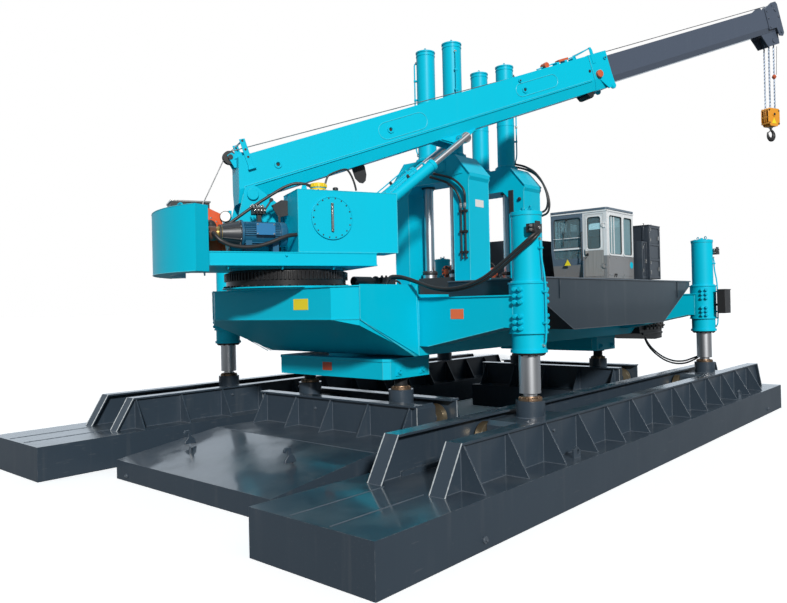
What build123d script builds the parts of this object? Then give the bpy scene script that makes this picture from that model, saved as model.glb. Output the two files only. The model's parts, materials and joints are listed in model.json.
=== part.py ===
"""Hydraulic static pile driver that walks on two long and two short pontoons.

Frame: millimetres, +Z up, the origin on the ground under the pile's axis.
+X runs along the long pontoons from the crane to the cab, and -Y is the near side.
"""
from build123d import *
import math
import os

os.makedirs("parts", exist_ok=True)

# ---------------------------------------------------------------- driving sizes
# Clearances
running = 0.05            # radial, shafts and rods in their bores
seat_gap = 0.3            # between faces that slide or turn on each other

# Long pontoons
long_length = 14350
long_front = -8030        # X of the blunt front end
long_width = 1842
hull_height = 550
long_centre_y = 3630      # pontoon's centreline, and the legs'

# Short pontoons
short_half_width = 1938   # across the machine
short_front = 3430        # from the carriage centre to the thin edge of the toe
short_toe_edge = 300      # thickness of that edge
short_toe_run = 1900      # length of the sloping toe
short_back = 1000         # from the carriage centre to the inner end

# Rails on every pontoon
rail_top = 1100
rail_gauge = 1010         # between the two webs
web = 30
flange = 30
flange_out = 60           # overhang outside the web
flange_in = 130           # overhang inside the web
rail_end_lean = 330       # how far the rail's end leans back
gusset_thickness = 22
gusset_foot = 330
gusset_head = 40
guide_bar_width = 40
guide_bar_height = 60

# Trolleys and wheelsets
wheel_radius = 225
wheel_width = 108
wheel_dish = 14           # depth of the ring-shaped hollow in the wheel's face
wheel_hub = 95
wheel_inner = 332         # from the trolley's centreline to the wheel's inner face
axle_radius = 55
trolley_half_width = 325
trolley_bottom = 640
trolley_top = 1030
boss_radius = 209
boss_top = 1265
leg_trolley_half = 640
leg_axle_offset = 560
short_trolley_half = 470
short_axle_offset = 400
short_boss_y = 1130

# Legs
leg_x = 3740
rod_radius = 155
rod_bottom = 1370
rod_top = 3250
neck_radius = 100
sleeve_radius = 270
sleeve_bottom = 2220
sleeve_top = 2955
collar_radius = 243
collar_bottom = 1950
leg_barrel_radius = 220
leg_barrel_top = 3960
leg_barrel_cap = 40
arm_width = 500
arm_top = 2780
arm_root_bottom = 2010
arm_tip_bottom = 2310
arm_root_run = 165        # level stretch of the arm's underside at the body

# Body
body_half_width = 1800
body_end = 5555
body_deck = 2830
body_bottom = 1860
nose_top = 2970
nose_length = 1485
nose_bottom = 2475
nose_corner_x = 215
nose_corner_y = 360
well_half_x = 1560
well_half_y = 560
carriage_x = 3690         # centre of each short pontoon's carriage

# Turntable boxes that carry the body on the short pontoons
turntable_half_x = 578
turntable_half_y = 1345
turntable_bottom = 1475
turntable_top = 1805
turntable_rim = 45
kingpin_radius = 420

# Ballast trays
tray_outer = 3616
tray_plate = 20
tray_rim = 3035
tray_floor = 2225

# Press tower
portal_near = 676
portal_far = 1358
post_inner = 583
post_outer = 951
lintel = 5110
lintel_haunch = 160
head_top = 5605
head_half = 655
eave_half = 985
eave_z = 5215
eave_plate = 22
eave_drop = 70           # height of the head's edge below the eave
bracket_z = 5080
press_x = 985
press_y = 341
press_rod_radius = 100
press_barrel_radius = 192
press_barrel_wall = 38
press_barrel_top = 7950
press_flange_radius = 250
press_flange = 60

# Clamp box between the portals
clamp_half_x = 1180
clamp_half_y = 535
clamp_bottom = 2560
clamp_top = 3210
pile_hole = 680
ram_radius = 105
ram_z = 3345

# Cab
cab_front = 2880
cab_length = 1490
cab_near = 1801
cab_width = 1430
cab_floor = 3185
cab_roof = 4785
cab_wall = 60
cab_lean = 150            # how far the windscreen's foot stands behind its head
door_width = 470
door_gap = 5
hinge_out = 16            # door hinges' axis in front of the cab's face
hinge_radius = 14
hinge_pin = 6
hinge_height = 60
hinge_heights = (3480, 4420)
pane = 8

# Rear platform and power cabinets
platform_front = 2600
platform_top = 3180
cabinet_front = 4470
cabinet_top = 4530

# Crane
slew_x = -5160
slew_heading = -24        # degrees from +X
ring_radius = 990
ring_bore = 640
ring_teeth = 96
tooth_depth = 26
ring_foot_radius = 958    # the ring's plain foot, under its teeth
seat_plate = 24           # thickness of the body's seat plate under it
teeth_bottom = 3090
ring_top = 3225
race_radius = 900
deck_bottom = 3285
deck_top = 3489
deck_half = 1050
deck_front = 1150
deck_rear = 1790
counter_outer = 2060
counter_thick = 260
counter_bottom = 3198
counter_top = 4130
counter_half_angle = 37.5
tank_rear = -107
tank_front = 1516
tank_inner = 300
tank_step = 480           # inner face beside the lift cylinder
tank_step_from = 560
tank_top = 4430

# Boom: u along it, v up across it, from the foot pin
foot_pin_s = -600
foot_pin_z = 4440
boom_rise = 19.5          # degrees above level
boom_half = 231
boom_top = 615
boom_crease = 135
boom_floor = -65
boom_floor_half = 172
boom_wall = 14
boom_tail_top = 11
boom_tail_bottom = -230
boom_head = 7740
head_reach = 430          # length of the doubler round the mouth
head_doubler = 7
ear_out = 14              # the head's ears reach this far past the mouth
ear_v = -70
ear_radius = 68
foot_pin_radius = 70
cheek_inner = 245
cheek_outer = 285
inner_half = 190
inner_top = 525
inner_crease = 110
inner_floor = -5
inner_floor_half = 142
inner_wall = 12
inner_tail = 5700
inner_head = 12400
tip_end = 13110
tip_top = 622
tip_bottom = -162
sheave_u = 12800
sheave_v = -200

# Hook block, below the boom's tip
fall_length = 1556
block_width = 350
block_depth = 190
block_height = 560
hook_drop = 320

# Lift cylinders beside the boom
lift_n = 355
lift_barrel_radius = 95
lift_rod_radius = 55
lift_eye_radius = 92
lift_eye_half = 50
lift_pin_radius = 50
lift_foot_s = 840
lift_foot_z = 3750
lift_eye_u = 3970
lift_eye_v = -175
lift_barrel_length = 2176
lift_rod_tail = 760       # the rod's hidden end, from the foot pin

# Hoses, held at both ends
hose_radius = 23
bend_share = 0.45         # of the shorter run, that a bend takes up
pipe_radius = 17          # steel pipes clamped to the front portal
pipe_low = 3541
pipe_clamps = (3650, 4050, 4450)
pipe_stand_off = 40       # the pipes' centres, in front of the post


# ---------------------------------------------------------------- shape helpers
def block(x, y, z):
    """A box between three (low, high) pairs."""
    size = Box(x[1] - x[0], y[1] - y[0], z[1] - z[0])
    return Pos((x[0] + x[1]) / 2, (y[0] + y[1]) / 2, (z[0] + z[1]) / 2) * size


def plate(points, low, high, normal):
    """A flat polygon swept between two values of the axis it is normal to."""
    place = {
        "X": lambda p: (low, p[0], p[1]),
        "Y": lambda p: (p[0], low, p[1]),
        "Z": lambda p: (p[0], p[1], low),
    }[normal]
    way = {"X": (1, 0, 0), "Y": (0, 1, 0), "Z": (0, 0, 1)}[normal]
    outline = Polyline(*[place(p) for p in points], close=True)
    return extrude(make_face(outline), amount=high - low, dir=way)


def upright(x, y, low, high, radius):
    """A vertical cylinder."""
    return Pos(x, y, (low + high) / 2) * Cylinder(radius, high - low)


def along_x(y, z, low, high, radius):
    """A cylinder along X."""
    return Pos((low + high) / 2, y, z) * Rot(0, 90, 0) * Cylinder(radius, high - low)


def along_y(x, z, low, high, radius):
    """A cylinder along Y."""
    return Pos(x, (low + high) / 2, z) * Rot(90, 0, 0) * Cylinder(radius, high - low)


def hose(points, radius=hose_radius):
    """A hose along hand-chosen points: straight runs joined by tangent arcs."""
    points = [Vector(*p) for p in points]
    runs = [b - a for a, b in zip(points, points[1:])]
    bends = []
    for before, after in zip(runs, runs[1:]):
        turn = math.radians(before.get_angle(after))
        bends.append(bend_share * min(before.length, after.length) / math.tan(turn / 2))
    path = FilletPolyline(*points, radius=bends)
    tube = sweep(Plane(points[0], z_dir=runs[0]) * Circle(radius), path=path.wire())
    wanted = math.pi * radius ** 2 * path.length
    print("hose bends", [round(b) for b in bends], "volume / length x section",
          round(tube.volume / wanted, 3))
    return tube


def both_sides(shape):
    """The shape and its mirror image across the machine."""
    return [shape, mirror(shape, about=Plane.XZ)]


def both_ends(shape):
    """The shape and its mirror image fore and aft."""
    return [shape, mirror(shape, about=Plane.YZ)]


def save(name, shapes):
    """Write one node, from one shape or a list of shapes that don't touch."""
    solids = []
    for shape in shapes if isinstance(shapes, list) else [shapes]:
        solids += shape.solids()
    export_step(Compound(children=solids) if len(solids) > 1 else solids[0],
                f"parts/{name}.step")


# ---------------------------------------------------------------- rails and pontoons
def rail_wall(start, end, side, gussets, lean_start, lean_end):
    """One rail along X: web, flange, leaning end strips and outer gussets.

    side is +1 or -1, the side of the rail's own centreline that it stands on.
    """
    web_y = side * rail_gauge / 2
    outline = [
        (start, hull_height),
        (end, hull_height),
        (end - lean_end, rail_top - flange),
        (start + lean_start, rail_top - flange),
    ]
    wall = plate(outline, web_y - web / 2, web_y + web / 2, "Y")
    out = web_y + side * (web / 2 + flange_out)
    inn = web_y - side * (web / 2 + flange_in)
    y = (min(out, inn), max(out, inn))
    wall += block((start + lean_start, end - lean_end), y, (rail_top - flange, rail_top))
    for foot, lean in ((start, lean_start), (end, -lean_end)):
        if lean:
            strip = [
                (foot, hull_height),
                (foot + lean, rail_top),
                (foot + lean + math.copysign(flange, lean), rail_top),
                (foot + math.copysign(flange, lean), hull_height),
            ]
            wall += plate(strip, y[0], y[1], "Y")
    face = web_y + side * web / 2
    for x in gussets:
        fin = [
            (face, hull_height),
            (face + side * gusset_foot, hull_height),
            (face + side * gusset_head, rail_top - flange),
            (face, rail_top - flange),
        ]
        wall += plate(fin, x - gusset_thickness / 2, x + gusset_thickness / 2, "X")
    bar = sorted((web_y - side * web / 2, web_y - side * (web / 2 + guide_bar_width)))
    wall += block((start + 500, end - 500), tuple(bar),
                  (hull_height, hull_height + guide_bar_height))
    return wall


def rails(start, end, gussets, lean_start, lean_end):
    """Both walls of a rail pair, on a centreline along X at Y = 0."""
    near = rail_wall(start, end, -1, gussets, lean_start, lean_end)
    far = rail_wall(start, end, 1, gussets, lean_start, lean_end)
    return near + far


def towing_lug(x, y, heading):
    """An upright hooked plate on a hull's top."""
    reach, height, thick = 190, 150, 30
    shape = plate([(-reach / 2, 0), (reach / 2, 0), (reach / 2, height * 0.6),
                   (0, height), (-reach / 2, height * 0.8)], -thick / 2, thick / 2, "Y")
    shape -= along_y(20, height * 0.5, -thick, thick, 36)
    return Pos(x, y, 0) * Rot(0, 0, heading) * shape


def long_pontoon():
    """The near pontoon, centred on Y = 0: hull, rails, gussets and towing lugs."""
    end = long_front + long_length
    hull = block((long_front, end), (-long_width / 2, long_width / 2), (0, hull_height))
    rail_start = long_front + 1485
    rail_end = end - 325
    pitch = 925
    first = rail_start + rail_end_lean + 70
    gussets = [first + pitch * i for i in range(13)]
    hull += rails(rail_start, rail_end, gussets, rail_end_lean, rail_end_lean)
    for x in (gussets[2] + pitch / 2, gussets[10] + pitch / 2):
        lug = towing_lug(x, -(long_width / 2 - 170), 0)
        hull += Pos(0, 0, hull_height) * lug
    return hull


def short_pontoon():
    """The front short pontoon, its rails along Y, centred on its carriage."""
    toe = -short_front
    outline = [
        (toe, 0),
        (short_back, 0),
        (short_back, hull_height),
        (toe + short_toe_run, hull_height),
        (toe, short_toe_edge),
    ]
    hull = plate(outline, -short_half_width, short_half_width, "Y")
    reach = short_half_width - 40
    gussets = [-1780, -890, 0, 890, 1780]
    hull += Rot(0, 0, 90) * rails(-reach, reach, gussets, 0, 0)
    slope = (hull_height - short_toe_edge) / short_toe_run
    for x, y in ((-2680, 1010), (-2310, -1020)):
        z = short_toe_edge + slope * (x - toe) - 8
        hull += Pos(0, 0, z) * towing_lug(x, y, 60)
    return hull


# ---------------------------------------------------------------- trolleys
def trolley(half, axle_offset):
    """A trolley frame that runs along X, with the boss that carries the load."""
    body = block((-half, half), (-trolley_half_width, trolley_half_width),
                 (trolley_bottom, trolley_top))
    body = chamfer(body.edges().filter_by(Axis.Y).sort_by(Axis.Z)[-2:], 60)
    body += upright(0, 0, trolley_top, boss_top, boss_radius)
    wheel_z = hull_height + seat_gap + wheel_radius
    for x in (-axle_offset, axle_offset):
        body -= along_y(x, wheel_z, -trolley_half_width, trolley_half_width,
                        axle_radius + running)
    return body


def wheelset(x, heading):
    """An axle with its two flanged wheels, placed along the trolley's own X."""
    wheel_z = hull_height + seat_gap + wheel_radius
    reach = wheel_inner + wheel_width
    shape = along_y(x, wheel_z, -reach, reach, axle_radius)
    for side in (-1, 1):
        tread = sorted((side * wheel_inner, side * reach))
        dish = sorted((side * (reach - wheel_dish), side * (reach + 1)))
        shape += along_y(x, wheel_z, tread[0], tread[1], wheel_radius)
        shape -= along_y(x, wheel_z, dish[0], dish[1], wheel_radius - 35)
        hub = sorted((side * (reach - wheel_dish - 1), side * (reach + 18)))
        shape += along_y(x, wheel_z, hub[0], hub[1], wheel_hub)
    return heading * shape


def turntable():
    """The box between a short pontoon's trolleys and the body, with its kingpin."""
    box = block((-turntable_half_x, turntable_half_x), (-turntable_half_y, turntable_half_y),
                (turntable_bottom, turntable_top))
    box = chamfer(box.edges().filter_by(Axis.Z), 90)
    rim = block((-turntable_half_x - 14, turntable_half_x + 14),
                (-turntable_half_y - 14, turntable_half_y + 14),
                (turntable_top - turntable_rim, turntable_top))
    box += chamfer(rim.edges().filter_by(Axis.Z), 96)
    box += upright(0, 0, turntable_top, body_bottom - seat_gap, kingpin_radius)
    for y in (-short_boss_y, short_boss_y):
        box += upright(0, y, boss_top, turntable_bottom, neck_radius)
    return box


# ---------------------------------------------------------------- body
def chassis():
    """The body: deck box, crane nose with a sloping underside, and the press well."""
    nose_x = body_end - nose_length
    slope_x = nose_x - 40
    outline = [
        (-body_end, nose_bottom),
        (-body_end, nose_top),
        (-nose_x, nose_top),
        (-nose_x, body_deck),
        (body_end, body_deck),
        (body_end, nose_bottom),
        (slope_x, body_bottom),
        (-slope_x, body_bottom),
    ]
    body = plate(outline, -body_half_width, body_half_width, "Y")
    for end in (-1, 1):
        for side in (-1, 1):
            corner = [
                (end * body_end, side * (body_half_width - nose_corner_y)),
                (end * body_end, side * body_half_width),
                (end * (body_end - nose_corner_x), side * body_half_width),
            ]
            body -= plate(corner, body_bottom - 10, nose_top + 10, "Z")
    body -= block((-well_half_x, well_half_x), (-well_half_y, well_half_y),
                  (body_bottom - 10, nose_top + 10))
    # Cheek plates at the nose, with a rounded upper corner
    for side in (-1, 1):
        y = sorted((side * body_half_width, side * (body_half_width + 20)))
        cheek = plate([(-body_end + nose_corner_x + 5, nose_bottom),
                       (-body_end + nose_corner_x + 5, nose_top + 15),
                       (-nose_x + 30, nose_top + 15),
                       (-nose_x + 60, body_bottom)], y[0], y[1], "Y")
        top_edges = cheek.edges().filter_by(Axis.Y).sort_by(Axis.Z)[-2:]
        body += fillet(top_edges.sort_by(Axis.X)[-1], 170)
    # Round seat plate under the slewing ring
    body += upright(slew_x, 0, nose_top - seat_plate, nose_top, ring_foot_radius - 6)
    return body


def leg_arm():
    """One outrigger at +X +Y: tapered box beam, clamp sleeve and collar, bored."""
    y0 = body_half_width
    x = (leg_x - arm_width / 2, leg_x + arm_width / 2)
    outline = [
        (y0, arm_root_bottom),
        (y0, arm_top),
        (long_centre_y, arm_top),
        (long_centre_y, arm_tip_bottom),
        (long_centre_y - sleeve_radius, arm_tip_bottom),
        (y0 + arm_root_run, arm_root_bottom),
    ]
    beam = plate(outline, x[0], x[1], "X")
    beam += block((x[0] - 25, x[1] + 25), (y0, long_centre_y - 60), (arm_top - 22, arm_top))
    arm = beam + upright(leg_x, long_centre_y, sleeve_bottom, sleeve_top, sleeve_radius)
    arm += upright(leg_x, long_centre_y, collar_bottom, sleeve_bottom, collar_radius)
    arm += upright(leg_x, long_centre_y, collar_bottom, collar_bottom + 45,
                   collar_radius + 22)
    arm -= upright(leg_x, long_centre_y, collar_bottom - 5, sleeve_top + 5,
                   rod_radius + running)
    return arm


def leg_barrel():
    """The leg cylinder above its sleeve at +X +Y, closed at the top."""
    shape = upright(leg_x, long_centre_y, sleeve_top, leg_barrel_top, leg_barrel_radius)
    shape -= upright(leg_x, long_centre_y, sleeve_top - 5,
                     leg_barrel_top - leg_barrel_cap, rod_radius + 12)
    shape += upright(leg_x, long_centre_y, leg_barrel_top, leg_barrel_top + 26, 70)
    return shape


def leg_rod():
    """The leg's rod and neck at +X +Y, standing on the trolley's boss."""
    shape = upright(leg_x, long_centre_y, rod_bottom, rod_top, rod_radius)
    shape += upright(leg_x, long_centre_y, boss_top, rod_bottom, neck_radius)
    return shape


# Tray outline along X: the rear slope is longer than the front one
tray_points = [
    (-3200, tray_rim),
    (-3200, 2630),
    (-2340, tray_floor),
    (1430, tray_floor),
    (2920, 2935),
    (2920, tray_rim),
]


def ballast_tray():
    """A plated trough on the +Y side, open on top, welded to the body's side."""
    low, high = body_half_width, tray_outer
    shell = plate(tray_points, low, high, "Y")
    outline = Polyline(*[(x, low + tray_plate, z) for x, z in tray_points], close=True)
    inside = offset(make_face(outline), amount=-tray_plate, kind=Kind.INTERSECTION)
    room = extrude(inside, amount=high - low - 2 * tray_plate, dir=(0, 1, 0))
    shell -= room
    shell -= Pos(0, 0, tray_plate) * room
    return shell


# ---------------------------------------------------------------- press tower
def portal():
    """The +X portal: two posts under a gabled head, with bores for the rods."""
    outline = [
        (post_outer, body_deck),
        (post_outer, bracket_z),
        (eave_half, eave_z - eave_drop),
        (eave_half, eave_z),
        (head_half, head_top),
        (-head_half, head_top),
        (-eave_half, eave_z),
        (-eave_half, eave_z - eave_drop),
        (-post_outer, bracket_z),
        (-post_outer, body_deck),
        (-post_inner, body_deck),
        (-post_inner, lintel - lintel_haunch),
        (-post_inner + lintel_haunch, lintel),
        (post_inner - lintel_haunch, lintel),
        (post_inner, lintel - lintel_haunch),
        (post_inner, body_deck),
    ]
    shape = plate(outline, portal_near, portal_far, "X")
    for side in (-1, 1):
        eaves = [
            (side * head_half, head_top),
            (side * eave_half, eave_z),
            (side * eave_half, eave_z - eave_plate),
            (side * head_half, head_top - eave_plate),
        ]
        shape += plate(eaves, portal_near - 30, portal_far + 30, "X")
        foot_y = sorted((side * post_inner, side * (post_outer + 90)))
        shape += block((portal_near - 40, portal_far + 60), tuple(foot_y),
                       (body_deck, body_deck + 36))
    for y in (-press_y, press_y):
        shape -= upright(press_x, y, lintel - lintel_haunch, head_top + 20,
                         press_rod_radius + running)
    return shape


def press_barrel():
    """One press cylinder at +X +Y: flange, tube and closed cap."""
    bore = press_barrel_radius - press_barrel_wall
    shape = upright(press_x, press_y, head_top, press_barrel_top, press_barrel_radius)
    shape += upright(press_x, press_y, head_top, head_top + press_flange,
                     press_flange_radius)
    shape -= upright(press_x, press_y, head_top - 1, press_barrel_top - 50, bore)
    shape += upright(press_x, press_y, press_barrel_top, press_barrel_top + 24, 60)
    return shape


def press_rod():
    """One press rod at +X +Y with its piston, standing on the clamp box."""
    bore = press_barrel_radius - press_barrel_wall
    shape = upright(press_x, press_y, clamp_top, head_top + 240, press_rod_radius)
    shape += upright(press_x, press_y, head_top + press_flange, head_top + 200,
                     bore - running)
    shape += upright(press_x, press_y, clamp_top, clamp_top + 70, press_rod_radius + 45)
    return shape


def clamp_box():
    """The crosshead that grips the pile, with a square hole through it."""
    shape = block((-clamp_half_x, clamp_half_x), (-clamp_half_y, clamp_half_y),
                  (clamp_bottom, clamp_top))
    shape = chamfer(shape.edges().filter_by(Axis.Z), 60)
    hole = pile_hole / 2
    shape -= block((-hole, hole), (-hole, hole), (clamp_bottom - 5, clamp_top + 5))
    for z in (clamp_bottom + 170, clamp_top - 190):
        for y in (-clamp_half_y, clamp_half_y):
            groove = sorted((y - math.copysign(14, y), y))
            shape -= block((-clamp_half_x + 130, clamp_half_x - 130), tuple(groove),
                           (z - 60, z + 60))
    return shape


def clamp_ram():
    """One clamping ram on its cradle, lying on top of the clamp box at +X +Y."""
    y = 0
    x0, x1 = 470, 830
    shape = along_x(y, ram_z, x0, x1, ram_radius)
    shape += along_x(y, ram_z, x1, x1 + 40, ram_radius + 16)
    shape += block((x0 + 40, x0 + 110), (y - 90, y + 90), (clamp_top, ram_z))
    shape += block((x1 - 90, x1 - 20), (y - 90, y + 90), (clamp_top, ram_z))
    return shape


# ---------------------------------------------------------------- cab and power deck
cab_rear = cab_front + cab_length
cab_far = -cab_near + cab_width
sill = cab_floor + 560
window_head = cab_roof - 130
door_low_y = -cab_near + cab_wall + 20
door_high_y = door_low_y + door_width


def cab_frame():
    """The cab's floor and walls, the windscreen's foot set back, windows cut."""
    lean = cab_lean
    outline = [(cab_front + lean, cab_floor), (cab_front, sill + 120), (cab_front, cab_roof),
               (cab_rear, cab_roof), (cab_rear, cab_floor)]
    outer = plate(outline, -cab_near, cab_far, "Y")
    straight = block((cab_front, cab_front + lean + 5), (-cab_near, door_high_y + 60),
                     (cab_floor, cab_roof))
    outer += straight
    inner_points = [(cab_front + lean + cab_wall, cab_floor + 50),
                    (cab_front + cab_wall, sill + 120),
                    (cab_front + cab_wall, cab_roof + 5),
                    (cab_rear - cab_wall, cab_roof + 5),
                    (cab_rear - cab_wall, cab_floor + 50)]
    room = plate(inner_points, -cab_near + cab_wall, cab_far - cab_wall, "Y")
    room += block((cab_front + cab_wall, cab_front + lean + cab_wall + 5),
                  (-cab_near + cab_wall, door_high_y), (cab_floor + 50, cab_roof + 5))
    shell = outer - room
    # Door opening in the front, beside the near corner
    shell -= block((cab_front - 5, cab_front + cab_wall + 1), (door_low_y, door_high_y),
                   (cab_floor + 50, window_head + 40))
    # Windscreen and its lower pane, in the front's far part
    screen_y = (door_high_y + 90, cab_far - 70)
    shell -= block((cab_front - 5, cab_front + cab_wall + 1), screen_y,
                   (sill + 190, window_head))
    shell -= block((cab_front - 5, cab_front + lean + cab_wall), screen_y,
                   (sill - 60, sill + 150))
    # Side windows: a wide sliding one and a narrow one
    for x0, x1 in ((cab_front + 110, cab_front + 820), (cab_front + 900, cab_rear - 90)):
        for y in (-cab_near, cab_far - cab_wall):
            shell -= block((x0, x1), (y - 1, y + cab_wall + 1), (sill, window_head))
    # Rear window
    shell -= block((cab_rear - cab_wall - 1, cab_rear + 1), (-cab_near + 250, cab_far - 250),
                   (sill + 120, window_head))
    # The frame's halves of the door hinges, with their pins
    axis_x = cab_front - hinge_out
    for z in hinge_heights:
        shell += upright(axis_x, door_low_y, z - hinge_height, z + hinge_height, hinge_pin)
        for low in (z - hinge_height, z + hinge_height / 2 + 1):
            high = low + hinge_height / 2 - 1
            shell += upright(axis_x, door_low_y, low, high, hinge_radius)
            shell += block((axis_x - 4, cab_front), (door_low_y - 55, door_low_y), (low, high))
    return shell


def cab_roof_cap():
    """The roof, a slab with rounded edges on top of the walls."""
    cap = block((cab_front - 20, cab_rear + 20), (-cab_near - 20, cab_far + 20),
                (cab_roof, cab_roof + 45))
    return fillet(cap.edges().filter_by(Axis.Z), 60)


def cab_glass():
    """The fixed panes, each in the middle of its wall and let into it all round."""
    panes = []
    mid = cab_front + cab_wall / 2
    screen_y = (door_high_y + 90, cab_far - 70)
    panes.append(block((mid - pane / 2, mid + pane / 2), screen_y, (sill + 190, window_head)))
    for x0, x1 in ((cab_front + 110, cab_front + 820), (cab_front + 900, cab_rear - 90)):
        for y in (-cab_near + cab_wall / 2, cab_far - cab_wall / 2):
            panes.append(block((x0, x1), (y - pane / 2, y + pane / 2), (sill, window_head)))
    mid = cab_rear - cab_wall / 2
    panes.append(block((mid - pane / 2, mid + pane / 2), (-cab_near + 250, cab_far - 250),
                       (sill + 120, window_head)))
    lean = cab_lean * (sill + 120 - (sill - 60)) / (sill + 120 - cab_floor)
    low = [(cab_front + cab_wall / 2 + lean, sill - 60),
           (cab_front + cab_wall / 2, sill + 120),
           (cab_front + cab_wall / 2, sill + 150),
           (cab_front + cab_wall / 2 + pane, sill + 150),
           (cab_front + cab_wall / 2 + pane, sill + 120),
           (cab_front + cab_wall / 2 + pane + lean, sill - 60)]
    panes.append(plate(low, screen_y[0], screen_y[1], "Y"))
    return panes


def cab_door():
    """The door leaf with its window cut, 5 mm clear of its frame."""
    y = (door_low_y + door_gap, door_high_y - door_gap)
    z = (cab_floor + 50 + door_gap, window_head + 40 - door_gap)
    leaf = block((cab_front - 2, cab_front + cab_wall - 12), y, z)
    leaf -= block((cab_front - 5, cab_front + cab_wall), (y[0] + 60, y[1] - 60),
                  (sill + 130, window_head - 20))
    handle = block((cab_front - 38, cab_front - 2), (y[1] - 50, y[1] - 20),
                   (sill + 20, sill + 150))
    leaf += handle
    axis_x = cab_front - hinge_out
    for z in hinge_heights:
        low, high = z - hinge_height / 2, z + hinge_height / 2
        leaf += upright(axis_x, door_low_y, low, high, hinge_radius)
        leaf += block((axis_x - 4, cab_front - 2), (door_low_y, door_low_y + 55), (low, high))
        leaf -= upright(axis_x, door_low_y, low - 1, high + 1, hinge_pin + running)
    return leaf


def cab_door_glass():
    """The door's pane."""
    y = (door_low_y + door_gap + 60, door_high_y - door_gap - 60)
    mid = cab_front + (cab_wall - 14) / 2
    return block((mid - pane / 2, mid + pane / 2), y, (sill + 130, window_head - 20))


def cab_seat():
    """Seat on its pedestal and the two consoles beside it."""
    x, y = cab_front + 820, (-cab_near + cab_far) / 2
    floor = cab_floor + 50
    shape = block((x - 130, x + 130), (y - 130, y + 130), (floor, floor + 330))
    shape += block((x - 260, x + 250), (y - 250, y + 250), (floor + 330, floor + 450))
    shape += block((x + 170, x + 290), (y - 230, y + 230), (floor + 450, floor + 1060))
    for side in (-1, 1):
        arm = sorted((y + side * 290, y + side * 430))
        shape += block((x - 320, x + 160), tuple(arm), (floor, floor + 640))
        joined = sorted((y + side * 130, y + side * 290))
        shape += block((x - 60, x + 60), tuple(joined), (floor, floor + 80))
    return shape


def power_platform():
    """The raised frame on the rear deck that carries the cab and the cabinets."""
    shape = block((platform_front, body_end - 40), (-body_half_width + 10, body_half_width - 10),
                  (body_deck, platform_top))
    for x in range(4):
        x0 = platform_front + 130 + x * 720
        for y in (-body_half_width + 10, body_half_width - 110):
            shape -= block((x0, x0 + 560), (y - 1, y + 101), (body_deck + 50, platform_top - 50))
    shape += block((cab_front + 60, cab_rear - 60), (-cab_near + 60, cab_far - 60),
                   (platform_top, cab_floor))
    return shape


def power_cabinets():
    """Closed cabinets behind and beside the cab, over the pump motors."""
    rear = body_end - 60
    tall = block((cabinet_front + 330, rear), (-2010, 300), (platform_top, cabinet_top))
    low = block((cabinet_front, cabinet_front + 320), (-1960, 300),
                (platform_top, cabinet_top - 420))
    far = block((cab_front + 100, rear), (420, 1700), (platform_top, cabinet_top - 260))
    return [tall + block((cabinet_front + 319, cabinet_front + 331), (-1900, 250),
                         (platform_top + 60, cabinet_top - 480)) + low, far]


# ---------------------------------------------------------------- slewing crane
to_crane = Pos(slew_x, 0, 0) * Rot(0, 0, slew_heading)


def slew_ring():
    """The fixed toothed ring."""
    disc = upright(0, 0, teeth_bottom, ring_top, ring_radius - tooth_depth)
    disc += upright(0, 0, nose_top, teeth_bottom, ring_foot_radius)
    pitch = 2 * math.pi * ring_radius / ring_teeth
    tooth = plate([(ring_radius - tooth_depth - 4, -pitch * 0.27),
                   (ring_radius, -pitch * 0.16), (ring_radius, pitch * 0.16),
                   (ring_radius - tooth_depth - 4, pitch * 0.27)],
                  teeth_bottom + 4, ring_top - 10, "Z")
    ring = disc.fuse(*[Rot(0, 0, 360 / ring_teeth * i) * tooth for i in range(ring_teeth)])
    ring -= upright(0, 0, nose_top - 1, ring_top + 1, ring_bore)
    return Pos(slew_x, 0, 0) * ring


def crane_deck():
    """The turning deck: race, side beams and the cheeks that hold the boom's foot."""
    outline = [(-deck_rear, -760), (-deck_rear, 760), (-1430, deck_half),
               (deck_front, deck_half), (deck_front, -deck_half), (-1430, -deck_half)]
    deck = plate(outline, deck_bottom, deck_top, "Z")
    deck &= upright(0, 0, deck_bottom, deck_top, counter_outer - counter_thick)
    deck += upright(0, 0, ring_top + seat_gap, deck_bottom, race_radius)
    r = 140
    ridge = math.radians(38)
    for side in (-1, 1):
        y = sorted((side * cheek_inner, side * cheek_outer))
        cheek = plate([(-960, deck_top), (700, deck_top), (640, deck_top + 190),
                       (foot_pin_s + r * math.sin(ridge), foot_pin_z + r * math.cos(ridge)),
                       (foot_pin_s - r, foot_pin_z)], y[0], y[1], "Y")
        deck += cheek
        deck += along_y(foot_pin_s, foot_pin_z, y[0], y[1], r)
        foot = plate([(lift_foot_s - 230, deck_top), (lift_foot_s + 230, deck_top),
                      (lift_foot_s + 90, lift_foot_z + 30),
                      (lift_foot_s - 90, lift_foot_z + 30)], y[0], y[1], "Y")
        deck += foot
        deck += along_y(lift_foot_s, lift_foot_z, y[0], y[1], 95)
        reach = sorted((side * cheek_outer, side * (lift_n + lift_eye_half + 20)))
        deck += along_y(lift_foot_s, lift_foot_z, reach[0], reach[1], lift_pin_radius)
    deck += block((-960, -920), (-cheek_inner - 1, cheek_inner + 1), (deck_top, 4180))
    deck += along_y(foot_pin_s, foot_pin_z, -cheek_outer - 20, cheek_outer + 20,
                    foot_pin_radius)
    return to_crane * deck


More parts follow.
